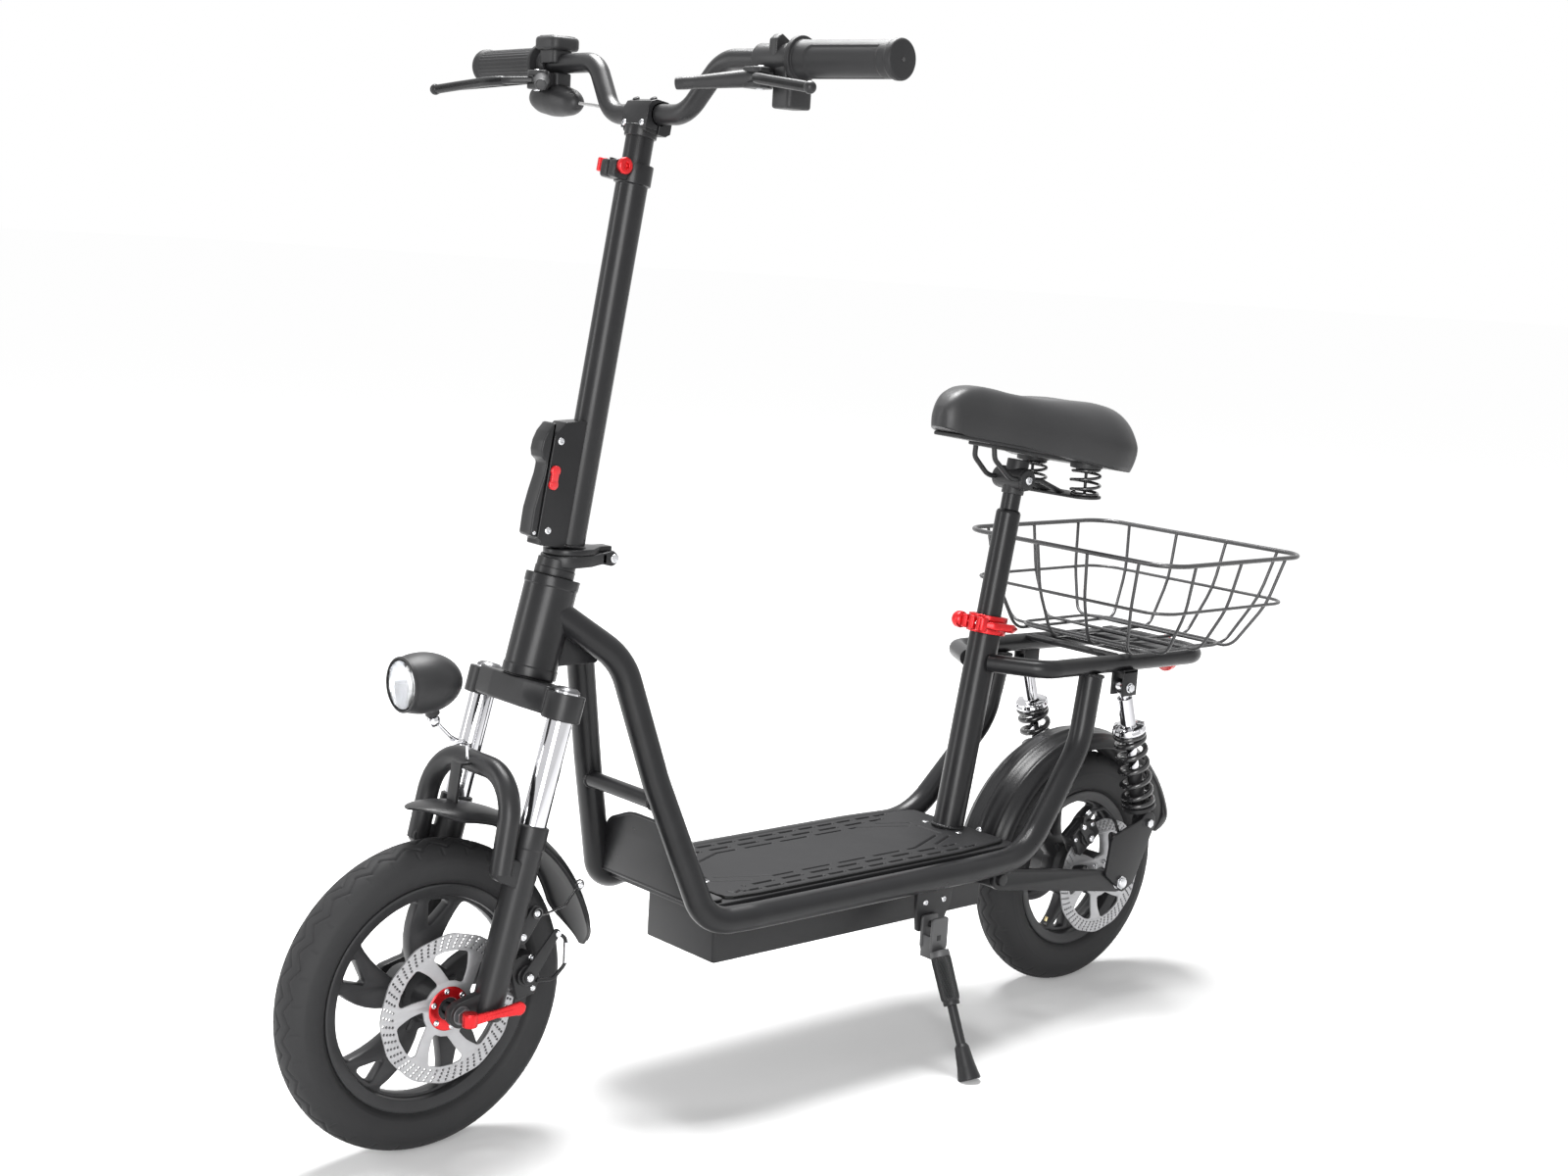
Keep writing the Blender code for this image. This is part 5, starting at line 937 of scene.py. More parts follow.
# The seat post: drawn steel tube, painted with the frame, that slides in the seat tube. Its top is stepped
# down to fit the saddle's clamp.
post_base = seat_at(0.4)
post_step = (0.672 - 0.4) / SEAT[2]
post_top = (0.7 - 0.4) / SEAT[2]
post_profile = rounded([
    (0, 0), (0.0165, 0), (0.0165, post_step - 0.001), (0.0152, post_step + 0.002),
    (0.0125, post_step + 0.0035), (0.0125, post_top), (0, post_top),
], 0.0012, 20.0)
piece(
    "seat_post_tube", [turned(post_profile, post_base, SEAT, 56)], frame_paint, "seat",
    ["seat_post"],
)


# The saddle: moulded foam under smooth black vinyl that is pulled down over a plastic base and stapled. It
# is high at its nose, dips at the rider, is hollowed a little along its middle and falls nearly straight at
# the back.
def saddle_floor(y):
    """The height of the saddle's underside at y behind the front axle."""
    return 0.779 - 0.144 * (y - 0.745)


def smoothly(x, xs, ys):
    """The value at x of a smooth line through stations: cubic pieces whose slopes are those of the
    neighbours."""
    xs, ys = np.asarray(xs, float), np.asarray(ys, float)
    slope = np.gradient(ys, xs)
    index = np.clip(np.searchsorted(xs, x) - 1, 0, len(xs) - 2)
    width = xs[index + 1] - xs[index]
    t = np.clip((x - xs[index]) / width, 0, 1)
    return (
        (2 * t**3 - 3 * t**2 + 1) * ys[index] + (t**3 - 2 * t**2 + t) * width * slope[index]
        + (3 * t**2 - 2 * t**3) * ys[index + 1] + (t**3 - t**2) * width * slope[index + 1]
    )


half_y = (
    0.7345, 0.7375, 0.7420, 0.750, 0.765, 0.790, 0.850, 0.900, 0.950, 0.985, 1.008, 1.024, 1.033, 1.0390,
)
half_x = (
    0.0005, 0.0110, 0.0175, 0.0240, 0.0290, 0.0335, 0.0420, 0.0600, 0.0880, 0.1030, 0.1020, 0.0950, 0.0820,
    0.0600,
)
top_y = (
    0.7345, 0.7375, 0.7420, 0.750, 0.765, 0.790, 0.820, 0.850, 0.900, 0.950, 0.995, 1.018, 1.031, 1.0390,
)
top_z = (
    0.7950, 0.8090, 0.8170, 0.8260, 0.8345, 0.8385, 0.8360, 0.8310, 0.8265, 0.8250, 0.8200, 0.8130, 0.8030,
    0.7830,
)
SADDLE_NOSE, SADDLE_TAIL = half_y[0], half_y[-1]
saddle_y = np.concatenate((
    np.linspace(SADDLE_NOSE, 0.76, 14)[:-1], np.linspace(0.76, 1.01, 66),
    np.linspace(1.01, SADDLE_TAIL, 18)[1:],
))
saddle_half = smoothly(saddle_y, half_y, half_x)[:, None]
saddle_top = smoothly(saddle_y, top_y, top_z)[:, None]
tail_rise = 0.018 * np.clip((saddle_y - 1.012) / 0.027, 0, 1) ** 2
seat_drop = 0.0095 * np.clip((saddle_y - 0.86) / 0.12, 0, 1)
nose_rise = 0.006 * np.clip((0.765 - saddle_y) / 0.03, 0, 1)
saddle_low = saddle_floor(saddle_y) + 0.0008 + tail_rise - seat_drop + nose_rise
saddle_low = np.minimum(saddle_low, smoothly(saddle_y, top_y, top_z) - 0.004)[:, None]
around = np.linspace(0, math.tau, 96, endpoint=False)[None, :]
wide = np.sign(np.cos(around)) * np.abs(np.cos(around)) ** 0.5
rise = np.where(np.sin(around) > 0, np.abs(np.sin(around)) ** 0.92, 0.0)
station = saddle_y[:, None]
tuck = (0.06 + 0.07 * np.clip((station - 0.92) / 0.08, 0, 1)) * np.clip(1 - rise * 2.4, 0, 1) ** 1.4
tuck = 1 - tuck - 0.1 * np.clip(rise - 0.45, 0, 1)
hollow = 0.005 * np.exp(-((station - 0.935) / 0.065) ** 2) * np.exp(-(wide / 0.5) ** 2) * (rise > 0)
waist = 0.0022 * np.exp(-((station - 0.842) / 0.03) ** 2) * np.clip(rise, 0, 1) * np.abs(wide)
saddle_points = np.stack((
    (saddle_half - waist) * wide * tuck, np.broadcast_to(station - MIDDLE, hollow.shape),
    saddle_low + (saddle_top - saddle_low) * rise - hollow,
), axis=-1)
vinyl = finish(
    "black_vinyl", (0.02, 0.02, 0.021), (0.029, 0.029, 0.03), 0.4, spread=0.1, drift=14.0, grain=1900.0,
    depth=0.00006, specular=0.35,
)
saddle = piece("saddle_cover", [skin(saddle_points)], vinyl, "seat", ["saddle_pad"], sharp=75.0)


# The saddle's base: a black moulded plate with a lip below the cover, two bent wires to the clamp on the
# post, the clamp itself, and at the back two plates that hold the coil springs between them.
base_slope = math.atan(-0.144)
base_plane = (
    at(0, 0.745, saddle_floor(0.745) - 0.0008), ACROSS,
    np.array((0.0, math.cos(base_slope), math.sin(base_slope))),
)
base_y = np.linspace(0.756, 1.012, 40)
base_half = (0.9 - 0.1 * np.clip((base_y - 0.93) / 0.05, 0, 1)) * smoothly(base_y, half_y, half_x)
base_run = (base_y - 0.745) / math.cos(base_slope)
base_outline = np.concatenate(
    (np.column_stack((base_half, base_run)), np.column_stack((-base_half, base_run))[::-1])
)
head = at(0, 0.886, 0.717)
low_plane = (base_plane[0] - UPRIGHT * 0.004, *base_plane[1:])
head_rows = rounded([(0.0126, 0), (0.0148, 0), (0.0148, 0.046), (0, 0.046)], 0.0012, 30.0)
under = [
    slab(base_outline, 0.005, base_plane, 0.0014),
    rod(*span(head, ACROSS, -0.027, 0.027), 0.014, edge=0.0015),
    slab(base_outline[10:-10] * (0.62, 1.0) - (0.0, 0.004), 0.006, low_plane, 0.0014),
    turned(head_rows, seat_at(0.696), SEAT, 40),
    rod(*span(head, ACROSS, -0.0225, 0.0225), 0.015, edge=0.001),
]
for name, mirror in SIDES:
    flip = (mirror, 1.0, 1.0)
    wire = [
        at(0.016, 0.827, saddle_floor(0.827) - 0.003), at(0.018, 0.828, 0.745), at(0.02, 0.858, 0.719),
        at(0.02, 0.915, 0.716), at(0.012, 0.972, 0.6965),
    ]
    under.append(
        tube(rounded([point * flip for point in wire], [0.012, 0.03, 0.03], 6.0), 0.0034, ACROSS, 16)
    )
    spring_foot = at(0.048, 0.975, 0.0) * flip
    cup_top = spring_foot + UPRIGHT * (saddle_floor(0.975) - 0.003)
    under += [
        rod(spring_foot + UPRIGHT * 0.7345, cup_top, 0.0222, 0.0222, 0.0012, 40),
        rod(*span(spring_foot, UPRIGHT, 0.692, 0.735), 0.0021, steps=16),
    ]
under.append(slab(capsule((-0.048, 0.975), (0.048, 0.975), 0.0222, 0.0222), 0.0036, level(0.696), 0.001))
moulded = finish(
    "moulded_black", (0.016, 0.016, 0.017), (0.026, 0.026, 0.027), 0.44, spread=0.12, drift=26.0,
    grain=1100.0, depth=0.00005, specular=0.3,
)
piece("saddle_base", under, moulded, "seat", ["saddle_frame"])
saddle_bolts = []
for name, mirror in SIDES:
    saddle_bolts += [
        screw(head + ACROSS * 0.0268 * mirror, ACROSS * mirror, 0.006, 0.003),
        screw(at(0.048 * mirror, 0.975, 0.6942), -UPRIGHT, 0.0048, 0.002),
    ]
piece("saddle_bolts", saddle_bolts, zinc, "seat")


# The saddle's springs: steel wire wound in four turns that are widest in the middle, painted gloss black.
# Each stands between a cup in the saddle's base and the plate below.
def coil(foot, axis, radius, wire_radius, height, turns, belly=0.0, sides=12):
    """A wire wound round an axis: its turn and its rise grow together, but the rise stops for the first and
    the last part of a turn, so that both ends lie flat on their seats."""
    axis, first, second = directions(axis)
    turn = np.linspace(0, turns * math.tau, round(turns * 40))
    share = np.clip((turn / math.tau - 0.6) / (turns - 1.2), 0, 1)
    share = share * share * (3 - 2 * share) * 0.25 + share * 0.75
    reach = radius - belly * (1 - np.sin(math.pi * share))
    path = (
        np.asarray(foot) + (reach * np.cos(turn))[:, None] * first + (reach * np.sin(turn))[:, None] * second
        + (wire_radius + (height - 2 * wire_radius) * share)[:, None] * axis
    )
    return tube(path, wire_radius, axis, sides)


spring_black = finish(
    "spring_black", (0.012, 0.012, 0.013), (0.02, 0.02, 0.021), 0.2, spread=0.1, drift=50.0, grain=1500.0,
    Coat_Weight=0.5, Coat_Roughness=0.12,
)
for name, mirror in SIDES:
    foot = at(0.048 * mirror, 0.975, 0.698)
    piece(
        f"saddle_coil_{name}", [coil(foot, UPRIGHT, 0.0196, 0.0021, 0.0364, 4.0, 0.0022)], spring_black,
        "seat", [f"saddle_spring_{name}"], sharp=60.0,
    )


# The swingarm: two flat steel bars on the deck's pivot pins, a cross tube welded between them, upright
# plates that carry the shock absorbers' lower bolts, and the rear axle with its nuts.
def stamped(outlines, thickness, edge, plane):
    """A flat plate with openings, filled by a curve: the first outline, less the others, with a chamfer at
    each rim."""
    curve = bpy.data.curves.new("stamp", "CURVE")
    curve.dimensions = "2D"
    curve.fill_mode = "BOTH"
    curve.extrude = thickness / 2 - edge
    curve.bevel_depth = edge
    curve.bevel_resolution = 1
    curve.offset = -edge
    for outline in outlines:
        spline = curve.splines.new("POLY")
        spline.points.add(len(outline) - 1)
        spline.points.foreach_set(
            "co", np.column_stack((outline, np.zeros(len(outline)), np.ones(len(outline)))).ravel(),
        )
        spline.use_cyclic_u = True
    guide = bpy.data.objects.new("stamp", curve)
    bpy.context.scene.collection.objects.link(guide)
    mesh = bpy.data.meshes.new_from_object(guide.evaluated_get(bpy.context.evaluated_depsgraph_get()))
    flat = np.zeros(len(mesh.vertices) * 3)
    mesh.vertices.foreach_get("co", flat)
    flat = flat.reshape(-1, 3)
    faces = [list(face.vertices) for face in mesh.polygons]
    bpy.data.objects.remove(guide)
    bpy.data.curves.remove(curve)
    bpy.data.meshes.remove(mesh)
    origin, right, top = (np.asarray(part, float) for part in plane)
    return origin + flat[:, :1] * right + flat[:, 1:2] * top + flat[:, 2:] * np.cross(right, top), faces


swing_pin = (0.815, 0.205)
swing_axle = (1.055, 0.165)
REAR_AXLE = at(0, *swing_axle)
SHOCK_FOOT = at(0, 1.104, 0.243)
swing = [rod(at(-0.095, 0.866, 0.1965), at(0.095, 0.866, 0.1965), 0.011)]
swing_bolts = []
pin_hole = arc(swing_pin, 0.0083, 0, 345, 23)
pin_cap = rounded([(0, 0.0046), (0.007, 0.0046), (0.0085, 0), (0, 0)], 0.001, 30.0)
nut_dome = rounded([(0, 0), (0.0078, 0), (0.0072, 0.003), (0, 0.0046)], 0.002, 20.0)
for name, mirror in SIDES:
    swing.append(stamped(
        [capsule(swing_pin, swing_axle, 0.0145, 0.0145), pin_hole], 0.008, 0.001, lengthwise(0.095 * mirror),
    ))
    shock_plate = rounded([
        (1.022, 0.18), (1.03, 0.232), *arc((1.104, 0.243), 0.0158, 150, -10, 10), (1.082, 0.16),
        (1.06, 0.15),
    ], [0.006, 0.012, *[0.0] * 11, 0.008, 0.006], closed=True)
    swing += [
        slab(shock_plate, 0.0048, lengthwise(0.1011 * mirror), 0.0009),
        bead(at(0.088 * mirror, 0.866, 0.1965), ACROSS, 0.0108, 0.0022, 16, 96),
    ]
    across = ACROSS * mirror
    swing_bolts += [
        rod(*span(REAR_AXLE, across, 0, 0.106), 0.0058), rod(*span(REAR_AXLE, across, 0.0988, 0.1), 0.0104),
        rod(*span(REAR_AXLE, across, 0.0998, 0.1062), 0.0098, steps=6),
        turned(nut_dome, REAR_AXLE + across * 0.106, across, 32),
        rod(*span(SHOCK_FOOT, across, 0.0815, 0.106), 0.0039),
        rod(*span(SHOCK_FOOT, across, 0.1034, 0.1085), 0.0064, steps=6),
    ]
    pin_end = SWING_PIVOT + across * 0.099
    swing.append(turned(pin_cap, pin_end, across, 32))
piece("swing_bars", swing, frame_paint, "swing", ["swingarm"])
piece("swing_bolts", swing_bolts, zinc, "swing")


# The mudguards: black moulded plastic in a crown that runs to a point at its ends, with a thin rolled edge
# and three lengthwise ribs on the rear one.
FRONT_AXLE = at(0, 0, 0.175)
GUARD_SHEET = 0.0024
GUARD_ROWS, GUARD_COLUMNS = 90, 46


def outward_at(degrees):
    """The direction at an angle above straight back, in the lengthwise plane."""
    return np.array((0.0, math.cos(math.radians(degrees)), math.sin(math.radians(degrees))))


def guard(centre, radius, first, last, half_width, drop, points, ribs):
    """A sheet along an arc, closed by an inner sheet and a rounded rim. At share s of the arc its half width
    narrows to the ends as a sine; across it, a point at l goes out by half width sin(l pi / 2) and falls by
    drop (1 - cos(l pi / 2.2)); ribs lift it where a cosine of l peaks."""
    share = np.linspace(0, 1, GUARD_ROWS)[:, None]
    angle = np.radians(first + (last - first) * share)
    taper = np.ones_like(share)
    if points[0]:
        taper = np.minimum(taper, share / points[0])
    if points[1]:
        taper = np.minimum(taper, (1 - share) / points[1])
    half = half_width * (0.1 + 0.9 * np.sin(np.clip(taper, 0, 1) * math.pi / 2))
    lateral = np.linspace(-1, 1, GUARD_COLUMNS)[None, :]
    fall = drop * (half / half_width) ** 2 * (1 - np.cos(lateral * math.pi / 2.2))
    middle = np.clip(1 - np.abs(lateral) / 0.62, 0, 1)
    lift = ribs * np.clip(np.cos(lateral * math.pi * 4.6), 0, 1) ** 2 * np.clip(middle * 3, 0, 1)
    lift = lift * np.clip(np.minimum(share, 1 - share) / 0.06, 0, 1)
    sheets = []
    for offset in (GUARD_SHEET / 2, -GUARD_SHEET / 2):
        reach = radius - fall + offset + lift
        x = (half + offset * np.abs(lateral) ** 6) * np.sin(lateral * math.pi / 2)
        sheets.append(
            np.stack((x, centre[1] + reach * np.cos(angle), centre[2] + reach * np.sin(angle)), axis=-1)
        )
    return skin(np.concatenate((sheets[0], sheets[1][:, ::-1]), axis=1))


guard_plastic = finish(
    "guard_plastic", (0.011, 0.011, 0.012), (0.018, 0.018, 0.019), 0.32, spread=0.1, drift=24.0,
    grain=1600.0, specular=0.26,
)
piece(
    "rear_guard", [guard(REAR_AXLE, 0.1945, 6.5, 164.0, 0.042, 0.022, (0.1, 0.0), 0.0022)], guard_plastic,
    "swing", ["rear_fender"], sharp=50.0,
)
guard_screw = screw(REAR_AXLE + 0.1962 * outward_at(158), outward_at(158), 0.005, 0.0026)
piece("guard_screw", [guard_screw], zinc, "swing")


# The shock absorbers: a turned body below, a chromed tube and a crowned chrome seat above, and between them
# a coil of heavy gloss-black wire.
chrome = finish(
    "chrome_plate", (0.64, 0.64, 0.66), (0.56, 0.56, 0.58), 0.07, 1.0, 0.05, 60.0, 3000.0, 0.000002,
)
SHOCK_X = 0.09
COIL_SEAT = 0.0281
for name, mirror in SIDES:
    shock_top = SHOCK_TOP + ACROSS * SHOCK_X * mirror
    shock_foot = SHOCK_FOOT + ACROSS * SHOCK_X * mirror
    shock_axis = unit(shock_top - shock_foot)
    shock_length = np.linalg.norm(shock_top - shock_foot)
    high_seat = shock_length - 0.068
    body_rows = rounded([
        (0, 0.009), (0.0077, 0.009), (0.0077, 0.016), (0.013, 0.019), (0.0235, 0.0222), (0.0235, 0.028),
        (0.0105, 0.028), (0.0105, 0.082), (0.0075, 0.082), (0.0075, 0.025), (0, 0.025),
    ], 0.0008, 30.0)
    piece(
        f"shock_{name}_lower", [
            turned(body_rows, shock_foot, shock_axis, 40),
            sleeve(*span(shock_foot, ACROSS, -0.0078, 0.0078), 0.011, 0.0043),
        ], cast_black, f"shock_{name}_body", [f"shock_{name}_body"],
    )
    shaft_rows = rounded([
        (0, 0.066), (0.0071, 0.066), (0.0071, high_seat), (0.023, high_seat), (0.0235, high_seat + 0.003),
        (0.0215, high_seat + 0.006), (0.0215, high_seat + 0.0085), (0.015, high_seat + 0.01),
        (0.0105, high_seat + 0.012), (0.0105, shock_length - 0.0165), (0, shock_length - 0.0155),
    ], 0.0007, 30.0)
    crown_teeth = []
    shock_side = np.cross(shock_axis, ACROSS)
    for turn in np.arange(6) * math.tau / 6:
        cosine, sine = math.cos(turn), math.sin(turn)
        tooth_plane = (shock_foot, cosine * ACROSS + sine * shock_side, cosine * shock_side - sine * ACROSS)
        tooth_low, tooth_high = (0.019, -0.003, high_seat + 0.001), (0.0233, 0.003, high_seat + 0.0085)
        crown_teeth.append(block(tooth_low, tooth_high, 0.0008, 0.001, tooth_plane))
    piece(
        f"shock_{name}_upper", [
            turned(shaft_rows, shock_foot, shock_axis, 48), *crown_teeth,
            rod(*span(shock_top, shock_axis, -0.02, -0.0085), 0.0066),
            sleeve(*span(shock_top, ACROSS, -0.007, 0.007), 0.0105, 0.0052),
        ], chrome, f"shock_{name}_shaft", [f"shock_{name}_shaft"],
    )
    coil_foot = shock_foot + shock_axis * COIL_SEAT
    coil_wire = coil(coil_foot, shock_axis, 0.0191, 0.004, high_seat - 0.0282, 6.6, sides=14)
    shock_coil = piece(
        f"shock_{name}_coil", [coil_wire], spring_black, f"shock_{name}_body",
        [f"shock_{name}_spring"], sharp=60.0,
    )
    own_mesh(shock_coil)


# The tyres: black rubber on a round carcass. The tread is cut in zigzag grooves right round, and a thin
# moulded line runs along each wall where the halves of the mould met.
tyre_rubber = finish(
    "tyre_rubber", (0.014, 0.014, 0.015), (0.025, 0.025, 0.026), 0.66, spread=0.16, drift=20.0, grain=1300.0,
    depth=0.00006, specular=0.32,
)
TREAD_DEPTH = 0.0016


def tyre(centre, radius, half_width, bead_radius, bead_x, waves, steps=720):
    """A tyre's section carried round its axle: at each place the radius falls by the depth of the grooves
    there, which follow lines whose distance from the middle swings in a triangle wave, and it rises at the
    wall lines."""
    height = radius - bead_radius
    wall = [
        (bead_radius - 0.007, bead_x - 0.005), (bead_radius + 0.0005, bead_x - 0.003),
        (bead_radius + 0.004, bead_x + 0.0035), (bead_radius + 0.2 * height, half_width * 0.9),
        (bead_radius + 0.42 * height, half_width * 0.995), (bead_radius + 0.62 * height, half_width * 0.96),
        (radius - 0.013, half_width * 0.86), (radius - 0.0065, half_width * 0.66),
        (radius - 0.0024, half_width * 0.42), (radius - 0.0004, half_width * 0.16),
    ]
    half = rounded([*wall, (radius, 0)], 0.03, 8.0)
    length = np.concatenate(([0.0], np.cumsum(np.linalg.norm(np.diff(half, axis=0), axis=1))))
    even = np.linspace(0, length[-1], 58)
    half = np.column_stack((np.interp(even, length, half[:, 0]), np.interp(even, length, half[:, 1])))
    section = np.concatenate((half, half[-2::-1] * (1, -1)))
    slope = np.gradient(section, axis=0)
    outward = np.column_stack((slope[:, 1], -slope[:, 0])) * -1.0
    outward /= np.linalg.norm(outward, axis=1)[:, None]
    outward *= np.sign((outward * (section - (bead_radius + 0.3 * height, 0))).sum(axis=1))[:, None]
    turn = np.linspace(0, math.tau, steps, endpoint=False)[:, None]
    swing_line = np.abs((turn * waves / math.tau) % 1.0 - 0.5) * 4 - 1
    x = section[None, :, 1]
    rho = section[None, :, 0]
    depth = np.zeros((steps, len(section)))
    for offset, swing_by in ((0.0, 0.0058), (0.0125, 0.0042), (-0.0125, 0.0042)):
        depth = np.maximum(depth, np.clip(1.6 - np.abs(x - offset - swing_by * swing_line) / 0.00085, 0, 1))
    for edge in (1, -1):
        cut = np.clip(1.5 - np.abs((turn * waves / math.tau + edge * 0.25) % 1.0 - 0.5) / 0.03, 0, 1) + 0 * x
        depth = np.maximum(depth, 0.6 * cut * ((edge * x > 0.0175) & (edge * x < half_width * 0.84)))
    lines = np.exp(-((rho - (bead_radius + 0.16 * height)) / 0.0007) ** 2)
    lines = lines + np.exp(-((rho - (bead_radius + 0.5 * height)) / 0.0006) ** 2)
    depth = TREAD_DEPTH * depth * (rho > bead_radius + 0.62 * height) - 0.0004 * lines
    moved = section[None] - depth[..., None] * outward[None]
    points = np.stack(
        (moved[..., 1], centre[1] + moved[..., 0] * np.cos(turn), centre[2] + moved[..., 0] * np.sin(turn)),
        axis=-1,
    )
    return skin(points, loop=True)


piece(
    "front_tyre_rubber", [tyre(FRONT_AXLE, 0.1748, 0.0289, 0.1286, 0.0194, 34)], tyre_rubber, "front_wheel",
    ["front_tyre"], sharp=75.0,
)
piece(
    "rear_tyre_rubber", [tyre(REAR_AXLE, 0.1648, 0.032, 0.1101, 0.0224, 32)], tyre_rubber, "rear_wheel",
    ["rear_tyre"], sharp=75.0,
)


# The wheels: cast alloy in black, a barrel with a flange at each side, five curved spokes that fork at the
# rim round a small three-sided opening, and the hub. The valve and the front hub's red ring are parts of
# their own.
SPOKE_LEAN = -14.0
AXLE_BORE = 0.0063


def polar(pairs, lean=0.0, inner=0.0, outer=1.0):
    """Flat points from radii and angles in degrees; lean turns a point further the nearer it is to the outer
    radius."""
    pairs = np.asarray(pairs, float)
    angle = np.radians(pairs[:, 1] + lean * ((pairs[:, 0] - inner) / (outer - inner)) ** 1.4)
    return np.column_stack((pairs[:, 0] * np.cos(angle), pairs[:, 0] * np.sin(angle)))


def window(inner, outer, first, last, lean, corner):
    """An opening between two spokes: its inner end is an arc narrower than the outer, and its corners are
    rounded."""
    middle, half = (first + last) / 2, (last - first) / 2
    sides = []
    for radius in np.linspace(outer, inner, 7):
        sides.append((radius, middle - half * (0.7 + 0.3 * (radius - inner) / (outer - inner))))
    start = [(inner, angle) for angle in np.linspace(middle - half * 0.7, middle + half * 0.7, 5)[1:-1]]
    other = [(radius, 2 * middle - angle) for radius, angle in sides[::-1]]
    crown = [(outer, angle) for angle in np.linspace(last, first, 9)[1:-1]]
    outline = polar([*sides, *start, *other, *crown], lean, inner, outer)
    radii = np.zeros(len(outline))
    radii[[0, len(sides) - 1, len(sides) + len(start), len(sides) + len(start) + len(other) - 1]] = corner
    return rounded(outline, radii, 15.0, closed=True)


def wheel(axle, bead_radius, bead_x, hub_radius, hub_left, hub_right, turn):
    """The cast wheel's shapes: barrel, spokes in two thicknesses, and hub."""
    barrel = bead_radius - 0.0078
    inside = barrel - 0.007
    rows = rounded([
        (bead_radius, bead_x), (bead_radius, bead_x - 0.003), (barrel, bead_x - 0.0036),
        (barrel, 0.0036 - bead_x), (bead_radius, 0.003 - bead_x), (bead_radius, -bead_x),
        (bead_radius - 0.0026, -bead_x), (inside + 0.0012, 0.003 - bead_x), (inside, 0.008 - bead_x),
        (inside, bead_x - 0.008), (inside + 0.0012, bead_x - 0.003), (bead_radius - 0.0026, bead_x),
    ], 0.0008, 30.0, closed=True)
    shapes = [turned(rows, axle, ACROSS, 160, closed=True)]
    openings, narrow = [], []
    rim_side = inside - 0.006
    window_span = (hub_radius + 0.013, inside - 0.004)
    for index in range(5):
        start = turn + 72 * index
        openings.append(window(*window_span, start + 15, start + 57, SPOKE_LEAN, 0.01))
        slot = polar(
            [(rim_side, start - 7.5), (rim_side, start), (rim_side, start + 7.5), (rim_side - 0.03, start)],
            SPOKE_LEAN, *window_span,
        )
        narrow.append(rounded(slot, [0.0035, 0.0, 0.0035, 0.0025], 15.0, closed=True))
    rim_circle = polar([(inside + 0.003, angle) for angle in range(0, 360, 4)])
    bore = polar([(AXLE_BORE, angle) for angle in range(0, 360, 15)])
    shapes.append(
        stamped([rim_circle, bore, *openings, *narrow], 0.016, 0.0032, (axle, LENGTHWAYS, UPRIGHT))
    )
    hub_rows = rounded([
        (AXLE_BORE, hub_right), (hub_radius * 0.8, hub_right), (hub_radius, hub_right + 0.006),
        (hub_radius, -0.016), (hub_radius + 0.005, -0.0085), (hub_radius + 0.005, 0.0085),
        (hub_radius, 0.016), (hub_radius, hub_left - 0.006), (hub_radius * 0.8, hub_left),
        (AXLE_BORE, hub_left),
    ], 0.002, 20.0, closed=True)
    shapes.append(turned(hub_rows, axle, ACROSS, 64, closed=True))
    hub_rib = rounded([(-0.004, 0), (0.004, 0), (0.003, 0.02), (-0.003, 0.02)], 0.002, closed=True)
    for index in range(5):
        ahead = outward_at(turn + 72 * index)
        foot = axle + ahead * (hub_radius * 0.9)
        shapes.append(slab(hub_rib, 0.02, (foot, np.cross(ahead, ACROSS), ahead), 0.0014))
    return shapes


front_shapes = wheel(FRONT_AXLE, 0.1286, 0.0191, 0.024, 0.0517, -0.048, 95.0)
rear_shapes = wheel(REAR_AXLE, 0.1101, 0.0221, 0.03, 0.0633, -0.06, 60.0)
cast_satin = finish(
    "cast_wheel_black", (0.02, 0.02, 0.021), (0.036, 0.036, 0.038), 0.36, 0.1, 0.14, 26.0, 800.0, 0.00005,
    0.32,
)
piece("front_wheel_casting", front_shapes, cast_satin, "front_wheel", ["front_rim"])
piece("rear_wheel_casting", rear_shapes, cast_satin, "rear_wheel", ["rear_rim"])
brass = finish("valve_brass", (0.62, 0.48, 0.24), (0.5, 0.4, 0.22), 0.3, 1.0, 0.12, 90.0, 2000.0, 0.00001)
for name, axle, inside, angle in (("front", FRONT_AXLE, 0.1138, -68.0), ("rear", REAR_AXLE, 0.0953, 250.0)):
    ahead = outward_at(angle)
    foot = axle + ahead * inside
    piece(
        f"{name}_valve_stem", [rod(*span(foot, ahead, 0.001, -0.01), 0.0036, 0.0028, 0.001, 20)], moulded,
        f"{name}_wheel",
    )
    piece(
        f"{name}_valve_cap", [rod(*span(foot, ahead, -0.0098, -0.017), 0.003, 0.0027, 0.0008, 18)], brass,
        f"{name}_wheel",
    )


# The brake rotors: stainless plate with four rows of small drilled holes in its braking ring and six swept
# arms with wide openings between them, screwed to the hub with six small screws.
rotor_steel = finish(
    "ground_stainless", (0.42, 0.42, 0.43), (0.34, 0.34, 0.35), 0.4, 0.65, 0.16, 60.0, 1600.0, 0.00002,
)


